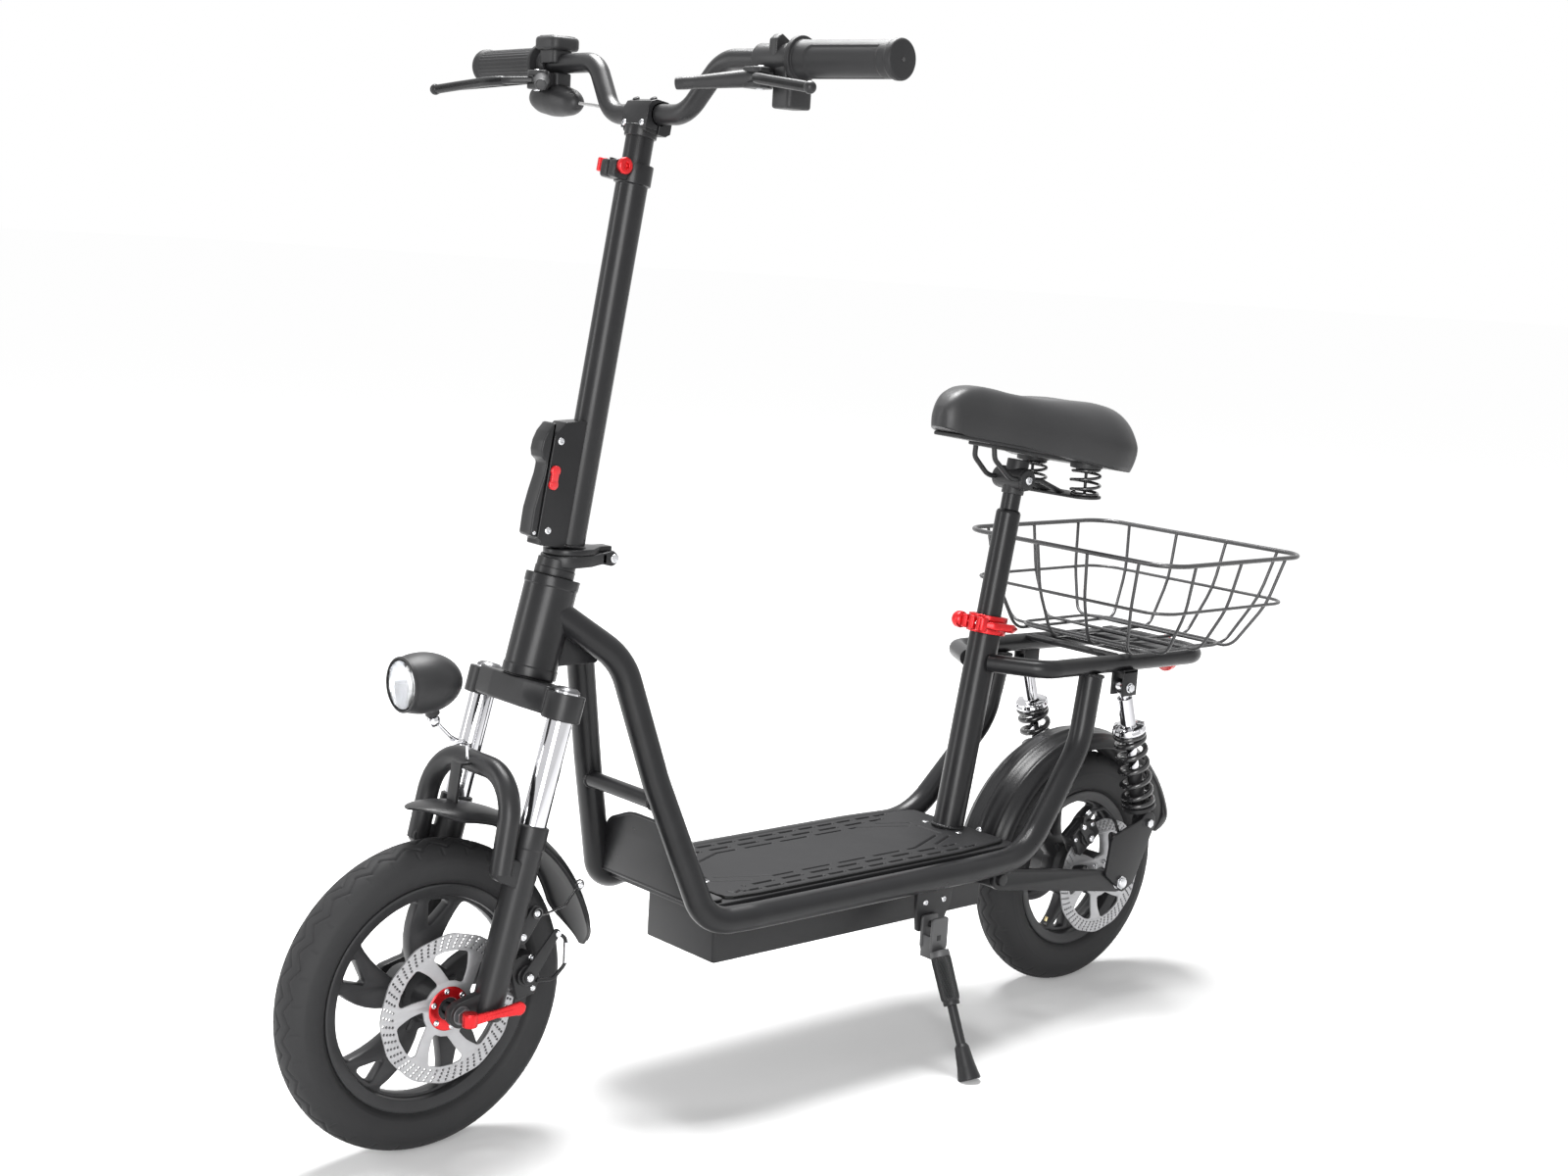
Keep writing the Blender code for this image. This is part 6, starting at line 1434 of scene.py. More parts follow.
def rotor(axle, radius, middle, turn):
    """The rotor's plate: the rim's outline swings a little in and out six times, then come the openings and
    holes."""
    degrees = np.arange(0, 360, 2.5)
    rim_radius = radius - 0.0007 + 0.0007 * np.cos(np.radians(degrees * 12))
    outlines = [polar(np.column_stack((rim_radius, degrees)))]
    outlines.append(polar([(0.0125, angle) for angle in range(0, 360, 12)]))
    high, halfway, low = radius * 0.775, radius * 0.56, radius * 0.37
    for index in range(6):
        start = turn + 60 * index
        opening = [
            (high, start + 41), (high, start + 27), (high, start + 13), (high, start - 1),
            (halfway, start - 9), (low, start - 14), (low, start + 4), (low, start + 20),
            (halfway, start + 33),
        ]
        outlines.append(
            rounded(polar(opening), [0.005, 0, 0, 0.005, 0.04, 0.003, 0, 0.003, 0.04], 15.0, closed=True)
        )
        outlines.append(polar([
            (0.0185 + 0.0016 * outward_at(angle)[1], start + 30 + 5.0 * outward_at(angle)[2])
            for angle in range(0, 360, 45)
        ]))
    for row in range(4):
        middle_radius = radius * (0.822 + 0.045 * row)
        for index in range(54):
            angle = 360 / 54 * (index + 0.5 * (row % 2)) + 2.2 * row
            hole = 0.0016 * np.column_stack(
                (np.cos(np.arange(7) * math.tau / 7), np.sin(np.arange(7) * math.tau / 7))
            )
            outlines.append(hole + polar([(middle_radius, angle)]))
    face = axle + ACROSS * (middle + 0.0018)
    screws = [
        screw(face + 0.0205 * outward_at(turn + 30 + 60 * index), ACROSS, 0.0034, 0.0018)
        for index in range(6)
    ]
    return stamped(outlines, 0.002, 0.0002, (axle + ACROSS * middle, LENGTHWAYS, UPRIGHT)), screws


FRONT_DISC_X, REAR_DISC_X = 0.053, 0.0646
rotors = {
    "front": rotor(FRONT_AXLE, 0.0838, FRONT_DISC_X, 10.0),
    "rear": rotor(REAR_AXLE, 0.0814, REAR_DISC_X, 40.0),
}
for name, (disc, screws) in rotors.items():
    piece(f"{name}_rotor_plate", [disc], rotor_steel, f"{name}_wheel", [f"{name}_rotor"])
for name, (disc, screws) in rotors.items():
    piece(f"{name}_rotor_screws", screws, zinc, f"{name}_wheel")
hub_ring = [turned(
    [(0.0128, 0.0542), (0.017, 0.0552), (0.0236, 0.055), (0.0246, 0.0541), (0.0128, 0.0538)], FRONT_AXLE,
    ACROSS, 48, closed=True,
)]
piece("front_hub_ring", hub_ring, red_anodised, "front_wheel")


# The front mudguard: moulded like the rear one, without ribs. A steel strip holds its top, and a bent wire
# stay with an eye at each end is screwed to its left edge and to the fork.
front_guard = guard(FRONT_AXLE, 0.2145, 5.5, 97.0, 0.038, 0.016, (0.16, 0.16), 0.0)
guard_edge = front_guard[0].reshape(GUARD_ROWS, 2 * GUARD_COLUMNS, 3)[2:-2, GUARD_COLUMNS - 1]
guard_strip = [
    (0.0345, 0.4315), (0.0514, 0.4315), (0.0514, 0.4285), (0.0375, 0.4285), (0.0325, 0.3865),
    (0.029, 0.3865),
]
piece(
    "front_guard",
    [front_guard, tube(guard_edge, 0.0012, ACROSS, 10), slab(guard_strip, 0.018, lengthwise(0.0))],
    guard_plastic, "fork_slider", ["front_fender"], sharp=50.0,
)
stay_line = rounded(
    [at(0.081, 0.093, 0.274), at(0.079, 0.101, 0.27), at(0.06, 0.144, 0.2683), at(0.038, 0.176, 0.279)],
    [0.01, 0.02], 10.0,
)
stay_ends = [at(0.0835, 0.0905, 0.2745), at(0.0375, 0.179, 0.281)]
stay_eye = [(0.0048, -0.0012), (0.0062, -0.0012), (0.0062, 0.0012), (0.0048, 0.0012)]
guard_stay = [tube(stay_line, 0.0013, UPRIGHT, 12)]
guard_stay += [turned(stay_eye, end, ACROSS, 24, closed=True) for end in stay_ends]
piece("guard_stay", guard_stay, spring_black, "fork_slider")


# The fork: the crown and the lower legs are cast alloy under black paint, and the stanchions between them
# are ground steel, chromed. The lower legs are tied by a bent tube and end in flat dropouts for the axle.
LEG_X = 0.074
CROWN_HEIGHT = 0.504
TUBE_FOOT = 0.27
LEG_FOOT, LEG_TOP = 0.164, 0.372
crown_plane = (STEER_POINT - STEER * 0.0115, ACROSS, np.cross(STEER, ACROSS))


def leg_at(mirror, height):
    """The point of a fork leg's axis at a height above the ground."""
    return STEER_POINT + ACROSS * mirror * LEG_X + STEER * ((height - STEER_POINT[2]) / STEER[2])


crown_outline = [
    (-0.066, -0.02), (-0.03, -0.026), (0.03, -0.026), (0.066, -0.02), (0.066, 0.019), (0.026, 0.024),
    (-0.026, 0.024), (-0.066, 0.019),
]
crown_outline = rounded(crown_outline, [0.006, 0.03, 0.03, 0.006, 0.006, 0.02, 0.02, 0.006], closed=True)
race_rows = [(0.0141, 0.0045), (0.029, 0.0045), (0.0265, 0.0062), (0.0141, 0.0062)]
race_rows = rounded(race_rows, 0.0005, 30.0, closed=True)
socket_rows = [(0.0146, -0.02), (0.0215, -0.02), (0.0215, 0.01), (0.0146, 0.01)]
socket_rows = rounded(socket_rows, 0.0016, 20.0, closed=True)
crown = [
    slab(crown_outline, 0.031, crown_plane, 0.003), rod(*span(STEER_POINT, STEER, -0.01, 0.119), 0.014),
    turned(race_rows, STEER_POINT, STEER, 64, closed=True),
]
caps, legs, fork_nuts = [], [], []
leg_run = (LEG_TOP - LEG_FOOT) / STEER[2]
tube_run = (CROWN_HEIGHT - TUBE_FOOT) / STEER[2] + 0.012
for name, mirror in SIDES:
    across = ACROSS * mirror
    clamp = leg_at(mirror, CROWN_HEIGHT)
    crown.append(turned(socket_rows, clamp, STEER, 56, closed=True))
    cap_rows = [
        (0, 0.004), (0.0052, 0.0045), (0.006, 0.0165), (0.0102, 0.0165), (0.0142, 0.0135), (0.0146, 0.008),
        (0, 0.008),
    ]
    caps.append(turned(rounded(cap_rows, 0.0008, 30.0), clamp, STEER, 48))
    stanchion_rows = rounded([(0, 0), (0.0145, 0), (0.0145, tube_run), (0, tube_run)], 0.001, 30.0)
    piece(
        f"fork_tube_{name}", [turned(stanchion_rows, leg_at(mirror, TUBE_FOOT), STEER, 56)], chrome,
        "steering", [f"stanchion_{name}"],
    )
    leg_rows = [
        (0, 0), (0.0165, 0), (0.0175, 0.006), (0.0175, leg_run - 0.026), (0.0183, leg_run - 0.0245),
        (0.0183, leg_run - 0.001), (0.0165, leg_run), (0.015, leg_run), (0.015, 0.05), (0, 0.05),
    ]
    legs.append(turned(rounded(leg_rows, 0.0008, 30.0), leg_at(mirror, LEG_FOOT), STEER, 56))
    foot = leg_at(mirror, 0.185)
    dropout = capsule((0, 0.175), (foot[1] + MIDDLE, 0.185), 0.0145, 0.013, 20)
    arch_lug = capsule((0.045, 0.33), (0.071, 0.318), 0.014, 0.015, 20)
    legs += [
        slab(dropout, 0.012, lengthwise(LEG_X * mirror), 0.0015),
        slab(arch_lug, 0.014, lengthwise(0.08 * mirror), 0.002),
    ]
    fork_nuts += [
        rod(*span(FRONT_AXLE, across, 0.079, 0.0806), 0.0105),
        rod(*span(FRONT_AXLE, across, 0.0804, 0.0866), 0.0096, steps=6),
    ]
arch_line = rounded(
    [at(0.082, 0.041, 0.326), at(0.0765, 0.06, 0.4285), at(-0.0765, 0.06, 0.4285), at(-0.082, 0.041, 0.326)],
    [0.07, 0.07], 3.0,
)
legs += [
    tube(arch_line, 0.0122, LENGTHWAYS, 32), block(at(0.0575, 0.046, 0.184), at(0.0665, 0.0665, 0.206)),
    slab(capsule((0.0905, 0.274), (0.074, 0.25), 0.0085, 0.0085, 16), 0.006, lengthwise(0.0785), 0.0012),
]
cast_soft = finish(
    "cast_fork_black", (0.012, 0.012, 0.013), (0.02, 0.02, 0.021), 0.36, spread=0.12, drift=22.0,
    grain=800.0, depth=0.00004, specular=0.28,
)
dark_alloy = finish("dark_alloy", (0.11, 0.11, 0.115), (0.15, 0.15, 0.155), 0.3, 0.7)
piece("crown_casting", crown, cast_soft, "steering", ["fork_crown"])
piece("crown_caps", caps, dark_alloy, "steering")
piece("fork_castings", legs, cast_soft, "fork_slider", ["fork_lowers"])
fork_nuts.append(rod(*span(FRONT_AXLE, ACROSS, -0.083, 0.0895), 0.0048))
piece("fork_nuts", fork_nuts, dark_alloy, "fork_slider")
fork_bolts = [
    screw(at(0.0818, 0.0905, 0.274), ACROSS, 0.0042, 0.0024),
    screw(at(0.0815, 0.074, 0.25), ACROSS, 0.0042, 0.0024),
    screw(at(0.0395, 0.179, 0.281), ACROSS, 0.0038, 0.0022),
]
piece("fork_bolts", fork_bolts, zinc, "fork_slider")


# The axle's quick release: a round cam with a flat forged tongue whose end is a full round, anodised red. A
# low panel is raised along its side.
release_middle = FRONT_AXLE + ACROSS * 0.0955
tongue = [
    (-0.002, 0.1695), (0.03, 0.1725), (0.052, 0.171), *arc((0.06, 0.1775), 0.0075, -90, 90, 16),
    (0.03, 0.1815), (-0.002, 0.1815),
]
tongue_panel = [
    (0.014, 0.1745), (0.032, 0.1758), (0.05, 0.1752), (0.05, 0.1792), (0.032, 0.1786), (0.014, 0.1782),
]
piece(
    "axle_release", [
        rod(*span(release_middle, UPRIGHT, -0.0075, 0.0075), 0.0085, edge=0.0016, steps=40),
        slab(tongue, 0.005, lengthwise(0.0995), 0.0014),
        slab(rounded(tongue_panel, 0.0015, closed=True), 0.0016, lengthwise(0.1018), 0.0007),
        rod(*span(release_middle, ACROSS, 0.004, 0.0078), 0.0045, edge=0.0008),
    ], red_anodised, "front_lever", ["front_lever"],
)


# The disc brakes: a cast body bridges each rotor with a pad on either side, a lever arm turns its piston,
# and the last of the cable, in black sheath with an alloy end, bends into the arm's clamp.
front_arm = capsule((0.0905, 0.1985), (0.125, 0.243), 0.009, 0.005)
rear_arm = capsule((1.006, 0.23), (0.988, 0.248), 0.0085, 0.005)
front_cable = [
    at(0.0715, 0.126, 0.2425), at(0.0715, 0.1385, 0.236), at(0.0715, 0.139, 0.205), at(0.07, 0.124, 0.19),
    at(0.065, 0.106, 0.19),
]
rear_cable = [
    at(0.0832, 0.989, 0.248), at(0.0832, 0.995, 0.268), at(0.0832, 1.03, 0.269), at(0.0832, 1.056, 0.248),
    at(0.089, 1.06, 0.23), at(0.095, 1.06, 0.218),
]
for name, body, centre, lean, rotor_x, arm_flat, arm_x, cable, cable_side, in_clamp in (
    (
        "front", "fork_slider", at(FRONT_DISC_X, 0.0905, 0.1985), -76.0, FRONT_DISC_X, front_arm, 0.0715,
        front_cable, ACROSS, slice(8, 13),
    ), (
        "rear", "swing", at(REAR_DISC_X, 1.006, 0.23), 37.0, REAR_DISC_X, rear_arm, 0.0832, rear_cable,
        np.array((0.9, 0.3, 0.3)), slice(4, 9),
    ),
):
    pads = (centre, outward_at(lean), outward_at(lean + 90))
    body_flat = rounded(
        [(-0.024, -0.016), (0.024, -0.016), (0.026, 0.008), (0.012, 0.018), (-0.02, 0.018)], 0.004, 15.0,
        closed=True,
    )
    bridge_flat = rounded(
        [(-0.0235, -0.002), (0.0245, -0.002), (0.0255, 0.008), (0.012, 0.0175), (-0.0195, 0.0175)], 0.004,
        15.0, closed=True,
    )
    shapes = [
        slab(body_flat, 0.009, (centre + ACROSS * offset, *pads[1:]), 0.0014) for offset in (-0.007, 0.007)
    ]
    shapes += [
        slab(bridge_flat, 0.02, pads, 0.001),
        rod(*span(centre, ACROSS, 0.0095, 0.0155), 0.0118, edge=0.0014, steps=40),
    ]
    arm_face = arm_x - rotor_x + 0.003
    shapes += [
        rod(*span(centre, ACROSS, 0.015, arm_face), 0.0062, edge=0.001),
        slab(arm_flat, 0.003, lengthwise(arm_x), 0.0007),
    ]
    piece(f"{name}_caliper_casting", shapes, cast_soft, body, [f"{name}_caliper"])
    line = rounded(cable, 0.012, 8.0)
    piece(f"{name}_cable_sheath", [tube(line, 0.0022, cable_side, 16)], guard_plastic, body)
    places = [in_plane(pads, x, y, 0.0113) for x, y in ((-0.0175, 0.0115), (0.0185, 0.0065))]
    fittings = [screw(place, ACROSS, 0.0034, 0.0018) for place in places]
    fittings += [
        screw(centre + ACROSS * arm_face, ACROSS, 0.0046, 0.0022),
        rod(*span(line[0], ACROSS, -0.0036, 0.004), 0.0036, edge=0.0006),
        tube(line[in_clamp], 0.0028, ACROSS, 16),
    ]
    piece(f"{name}_caliper_fittings", fittings, zinc, body)


# The headlight: a moulded egg with a chromed reflector and a clear moulded lens in its mouth. It tilts on a
# ball at the end of a chromed wire that hooks over the fork's arch.
light_middle = at(0, -0.0127, 0.523)
egg_angle = np.linspace(math.pi / 2, math.asin(-0.0214 / 0.047), 30)
egg = [(0.033 * math.cos(angle), 0.047 * math.sin(angle)) for angle in egg_angle]
egg_rows = [
    *egg, (0.03, -0.0224), (0.03, -0.0246), (0.029, -0.0254), (0.0277, -0.0254), (0.0275, -0.016),
    (0.025, -0.006), (0, 0.006),
]
light_lug = rod(at(0, 0.003, 0.4868), at(0, -0.002, 0.503), 0.0078, 0.0086, 0.001)
light_seam = turned(
    [(0.0306, -0.0165), (0.0311, -0.0158), (0.031, -0.0145), (0.0304, -0.015)], light_middle, LENGTHWAYS, 80,
    closed=True,
)
piece(
    "light_egg", [turned(egg_rows, light_middle, LENGTHWAYS, 80), light_lug, light_seam], moulded,
    "headlight", ["headlight_shell"], sharp=30.0,
)
bowl = [(0.0268 * share, -0.0165 + 0.014 * (1 - share ** 2)) for share in np.linspace(0.16, 1, 16)]
piece("light_bowl", [turned(bowl, light_middle, LENGTHWAYS, 64)], chrome, "headlight")
bulb = [(0, -0.013), (0.0026, -0.012), (0.0036, -0.0095), (0.004, -0.004), (0, -0.004)]
piece(
    "light_lamp", [turned(rounded(bulb, 0.001, 20.0), light_middle, LENGTHWAYS, 28)],
    finish("lamp_resin", (0.85, 0.8, 0.55), (0.8, 0.76, 0.5), 0.3), "headlight",
)
lens_clear = finish(
    "clear_lens", (0.95, 0.96, 0.97), (0.9, 0.92, 0.94), 0.06, spread=0.04, grain=300.0, depth=0.00006,
    Transmission_Weight=1.0, IOR=1.49,
)
lens_rows = [
    (0, -0.0188), (0.0262, -0.0188), (0.0271, -0.02), (0.0271, -0.0244), (0.0193, -0.0269),
    (0.0099, -0.0284), (0, -0.0289),
]
piece(
    "light_lens", [turned(rounded(lens_rows, 0.004, 10.0), light_middle, LENGTHWAYS, 64)], lens_clear,
    "headlight", ["headlight_lens"], sharp=60.0,
)
hook = rounded([
    at(0, 0.004, 0.4835), at(0, 0.012, 0.474), at(0, 0.026, 0.4605), at(0, 0.036, 0.4545),
    at(0, 0.0482, 0.4505), at(0, 0.0494, 0.433),
], [0.008, 0.03, 0.02, 0.005], 8.0)
ball_rows = arc((0, 0), 0.0072, -90, 90, 19)
piece(
    "light_hook", [
        tube(hook, 0.0021, ACROSS, 16), turned(ball_rows, at(0, 0.004, 0.4805), UPRIGHT, 32),
        block(at(-0.006, 0.028, 0.452), at(0.006, 0.042, 0.4565)),
    ], chrome, "fork_slider", ["headlight_bracket"],
)


# The folding joint: a forged plate on the steerer, with the headset's collar below it and two hinge ears
# behind, and on it the stem's own foot plate, which turns on a pin between the ears.
FOLD_PIN = at(0, 0.224, 0.646)
STEM_SLOPE = math.atan(0.162)
STEM = np.array((0.0, math.sin(STEM_SLOPE), math.cos(STEM_SLOPE)))
STEM_FRONT = np.array((0.0, -math.cos(STEM_SLOPE), math.sin(STEM_SLOPE)))
STEM_FOOT = at(0, 0.1708, 0.66)


def stem_point(x, forward, up):
    """A point in the stem's own frame: x across, forward of its axis and up from its foot."""
    return STEM_FOOT + ACROSS * x + STEM_FRONT * forward + STEM * up


stem_flat = (STEM_FOOT, STEM_FRONT, STEM)
base_flat = [
    *arc((0, 0.168), 0.028, 180, 360, 32), (0.026, 0.186), (0.0145, 0.208), (0.0145, 0.2133),
    (-0.0145, 0.2133), (-0.0145, 0.208), (-0.026, 0.186),
]
joint = [slab(base_flat, 0.013, level(0.6465), 0.0018)]
headset_rows = [(0, 0.119), (0.0225, 0.119), (0.0225, 0.1275), (0.0217, 0.1283), (0.0217, 0.138), (0, 0.138)]
joint.append(turned(rounded(headset_rows, 0.0009, 30.0), STEER_POINT, STEER, 56))
for name, mirror in SIDES:
    ear = rounded(
        [(0.2085, 0.6405), (0.224, 0.637), (0.233, 0.646), (0.224, 0.655), (0.2085, 0.6528)],
        [0.001, 0.0085, 0.0085, 0.0085, 0.001], 12.0, closed=True,
    )
    joint.append(slab(ear, 0.0052, lengthwise(0.0119 * mirror), 0.001))
piece("stem_joint_base", joint, cast_soft, "steering", ["stem_base"])
joint_pin = [rod(*span(FOLD_PIN, ACROSS, -0.016, 0.016), 0.004)]
joint_pin += [
    screw(FOLD_PIN + ACROSS * 0.0146 * mirror, ACROSS * mirror, 0.0052, 0.002) for name, mirror in SIDES
]
piece("stem_joint_pin", joint_pin, zinc, "steering")


# The stem: a round tube welded to its foot plate, a latch housing in front of it and, at its top, a split
# collar that clamps the tube inside. All of it is painted like the frame.
stem_rows = rounded([
    (0, 0), (0.0178, 0), (0.0178, 0.401), (0.0205, 0.4022), (0.0205, 0.424), (0.016, 0.424), (0.016, 0.09),
    (0, 0.09),
], 0.0008, 30.0)
foot_flat = [
    *arc((0, 0.17), 0.027, 180, 360, 32), (0.025, 0.188), (0.0088, 0.209), (0.0088, 0.224), (-0.0088, 0.224),
    (-0.0088, 0.209), (-0.025, 0.188),
]
housing = [
    (0.012, -0.002), (0.048, -0.002), (0.048, 0.004), (0.052, 0.006), (0.052, 0.118), (0.04, 0.134),
    (0.012, 0.14),
]
stem = [
    turned(stem_rows, STEM_FOOT, STEM, 64), slab(foot_flat, 0.0066, level(0.6566), 0.0012),
    slab(rounded(housing, 0.0018, closed=True), 0.025, stem_flat, 0.0014),
    bead(stem_point(0, 0, 0.0015), STEM, 0.0176, 0.0022, 30),
    sleeve(*span(FOLD_PIN, ACROSS, -0.0088, 0.0088), 0.0085, 0.0043),
]
for low_x, high_x in ((-0.013, -0.0015), (0.0015, 0.013)):
    stem.append(block((0.0165, 0.403, -high_x), (0.036, 0.423, -low_x), 0.0012, 0.004, stem_flat))
piece("stem_weldment", stem, frame_paint, "stem", ["stem_tube"])
# Painted shade: the slit is not cut; thin matt black strips fill it and the gap between the collar's ears,
# where it would look dark.
slit = [
    block((0.015, 0.38, -0.0015), (0.0183, 0.403, 0.0015), 0.0002, 0.0004, stem_flat),
    block((0.015, 0.403, -0.0014), (0.0345, 0.4242, 0.0014), 0.0002, 0.0004, stem_flat),
]
piece("stem_slit_shade", slit, moulded, "stem")
piece(
    "stem_screws", [
        screw(stem_point(0.0124, forward, up), ACROSS, 0.0042, 0.0022)
        for forward, up in ((0.0435, 0.113), (0.0405, 0.015))
    ], zinc, "stem",
)


# The latch: a long cast lever whose hooked head is pulled forward to free the joint, and a red two-lobed
# button in the housing's side that locks it.
hinge = (0.0568, 0.0105)
lever_flat = [
    *arc(hinge, 0.0044, 180, 360, 14), (0.0617, 0.024), (0.0619, 0.036), (0.0595, 0.055), (0.056, 0.075),
    (0.0555, 0.088), (0.063, 0.0925), (0.0655, 0.1), (0.065, 0.11), (0.0615, 0.121), (0.0555, 0.13),
    (0.0524, 0.1325), (0.0524, 0.05),
]
lever_round = [*[0.0] * 15, 0.004, 0.01, 0.03, 0.02, 0.006, 0.004, 0.006, 0.008, 0.01, 0.004, 0.001, 0.004]
piece(
    "latch_handle", [slab(rounded(lever_flat, lever_round, closed=True), 0.023, stem_flat, 0.0022)],
    cast_soft, "latch_lever", ["latch_lever"],
)
piece(
    "latch_pin", [rod(stem_point(-0.012, *hinge), stem_point(0.012, *hinge), 0.0022)], zinc, "latch_lever",
)
button_red = finish("button_red", (0.66, 0.01, 0.016), (0.58, 0.012, 0.018), 0.3, Coat_Weight=0.3)
button_flat = [*arc((0.0445, 0.0805), 0.0059, -40, 220, 20), *arc((0.0445, 0.0655), 0.0059, 140, 400, 20)]
button = [slab(button_flat, 0.0045, (stem_point(0.0137, 0, 0), *stem_flat[1:]), 0.0012)]
button += [
    rod(stem_point(0.0158, 0.0445, up), stem_point(0.0166, 0.0445, up), 0.0034) for up in (0.0655, 0.0805)
]
piece("latch_knob", button, button_red, "latch_button", ["latch_button"])


# The stem's quick release: its round nut on the left and its cam lever on the right, both anodised red, on a
# thin bolt that crosses the collar's ears.
clamp_spot = stem_point(0, 0.0262, 0.417)
nut_rows = rounded([
    (0, 0.0134), (0.0086, 0.0134), (0.0092, 0.019), (0.0076, 0.0205), (0.0038, 0.0205), (0.0034, 0.0165),
    (0, 0.0165),
], 0.0008, 30.0)
piece(
    "stem_release_nut",
    [turned(nut_rows, clamp_spot, ACROSS, 40), rod(*span(clamp_spot, ACROSS, -0.0133, 0.015), 0.003)],
    red_anodised, "stem", ["stem_bolt"],
)
release_cam = clamp_spot - ACROSS * 0.0222
release_arm = [
    stem_point(-0.0222, 0.0262, 0.413), stem_point(-0.033, 0.012, 0.413), stem_point(-0.034, -0.01, 0.413),
    stem_point(-0.026, -0.03, 0.413),
]
piece(
    "stem_release", [
        rod(*span(release_cam, STEM, -0.0075, 0.0075), 0.0066, edge=0.0016),
        lever_arm(release_arm, 0.0042, 0.0056, STEM),
    ], red_anodised, "stem_lever", ["stem_lever"],
)


# The upper tube slides in the stem and carries the bar's clamp: a cast block split along the bar, drawn
# together by four bolts from the front. The bar itself is one bent steel tube.
BAR_CENTRE = at(0, 0.253, 1.133)
BAR_BEND = at(0.112, 0.2635, 1.191)
BAR_TIP = at(0.359, 0.2825, 1.19)
BAR_RUN = unit(BAR_TIP - BAR_BEND)
clamp_flat = (BAR_CENTRE, STEM_FRONT, STEM)
seat = arc((0, 0), 0.0114, 100, -100, 24)
seat = [(max(x, 0.001), y) for x, y in seat[::-1] if x > -0.001]
front_half = [
    (0.001, 0.015), (0.008, 0.015), (0.015, 0.0115), (0.018, 0.005), (0.018, -0.018), (0.001, -0.018), *seat,
]
back_half = [
    (-0.001, 0.015), (-0.008, 0.015), (-0.015, 0.0115), (-0.018, 0.005), (-0.018, -0.018), (-0.012, -0.022),
    (-0.001, -0.022), *[(-x, y) for x, y in seat],
]
upper = [
    sleeve(stem_point(0, 0, 0.25), stem_point(0, 0, 0.466), 0.0156, 0.013),
    sleeve(stem_point(0, 0, 0.453), stem_point(0, 0, 0.466), 0.018, 0.013, 0.0014),
    slab(front_half, 0.044, clamp_flat, 0.0012), slab(back_half, 0.044, clamp_flat, 0.0012),
    block((-0.016, -0.022, -0.02), (0.016, -0.0146, 0.02), 0.001, 0.004, clamp_flat),
]
clamp_bolts = []
for bolt_x in (-0.0155, 0.0155):
    bolt = BAR_CENTRE + ACROSS * bolt_x
    clamp_bolts.append(screw(bolt + STEM * -0.013 + STEM_FRONT * 0.018, STEM_FRONT, 0.0036, 0.0022))
    upper.append(rod(bolt + STEM * 0.003, bolt + STEM * 0.0165 + STEM_FRONT * 0.009, 0.0038))
piece("upper_tube_body", upper, frame_paint, "bars", ["upper_tube"])
piece("bar_clamp_bolts", clamp_bolts, zinc, "bars")
bar_left = [BAR_TIP, BAR_BEND, BAR_CENTRE + ACROSS * 0.066]
bar_line = rounded([*bar_left, *[mirrored(point) for point in bar_left[::-1]]], 0.04, 3.0)
piece("bar_tube", [tube(bar_line, 0.0112, LENGTHWAYS, 40)], cast_soft, "bars", ["handlebar"])


def bar_point(x):
    """The point of the left half of the bar's outer run at x."""
    return BAR_BEND + BAR_RUN * ((x - BAR_BEND[0]) / BAR_RUN[0])


# The grips: moulded rubber with a thick ring at the inner end and a wider closed end. The left one has a
# sunk panel with a step round it; the right one, the throttle, is ribbed lengthwise.
grip_rubber = finish(
    "grip_rubber", (0.011, 0.011, 0.012), (0.019, 0.019, 0.02), 0.56, spread=0.14, grain=1500.0,
    depth=0.00006, specular=0.3,
)
GRIP_START, GRIP_END = 0.222, 0.363


def grip(mirror, panel, ribs, steps=120):
    """A profile of radii along the bar, carried round it; in the panel the radius falls by the panel's
    depth, and a cosine of the angle gives the lengthwise ribs."""
    start = bar_point(GRIP_START) * (mirror, 1.0, 1.0)
    run = BAR_RUN * (mirror, 1.0, 1.0)
    length = (GRIP_END - GRIP_START) / BAR_RUN[0]
    rows = rounded([
        (0.0115, 0), (0.024, 0), (0.024, 0.006), (0.02, 0.0066), (0.0194, 0.02), (0.019, length - 0.01),
        (0.0206, length - 0.007), (0.0206, length - 0.0016), (0.0185, length), (0, length),
    ], [0.0016, 0.0016, 0.001, 0.02, 0.02, 0.002, 0.002, 0.0016], 20.0)
    height = np.linspace(0.01, length - 0.012, 96)
    low = rows[rows[:, 1] < 0.01]
    high = rows[rows[:, 1] > length - 0.012]
    outer = rows[rows[:, 0] > 0.0187]
    middle = np.column_stack((np.interp(height, outer[:, 1], outer[:, 0]), height))
    profile = np.concatenate((low, middle, high))
    first = unit(np.cross(run, UPRIGHT)) * mirror
    second = unit(np.cross(first, run)) * mirror
    angle = np.linspace(0, math.tau, steps, endpoint=False)[None, :]
    along = profile[:, 1:2] / length
    facing = np.abs((angle - math.radians(-25) + math.pi) % math.tau - math.pi)
    panel_start = 0.16 + 0.1 * np.clip(facing - 0.5, 0, 1) ** 2
    inside = np.clip((1.15 - facing) / 0.05, 0, 1) * np.clip((along - panel_start) / 0.012, 0, 1)
    inside = inside * np.clip((0.86 - along) / 0.012, 0, 1)
    ribbed = np.clip((along - 0.08) / 0.01, 0, 1) * np.clip((0.9 - along) / 0.01, 0, 1)
    radius = profile[:, :1] - panel * inside - ribs * ribbed * (np.cos(angle * 30) > 0)
    outward = np.cos(angle)[..., None] * first + np.sin(angle)[..., None] * second
    return skin(start + profile[:, 1, None, None] * run + radius[..., None] * outward, ends=False)


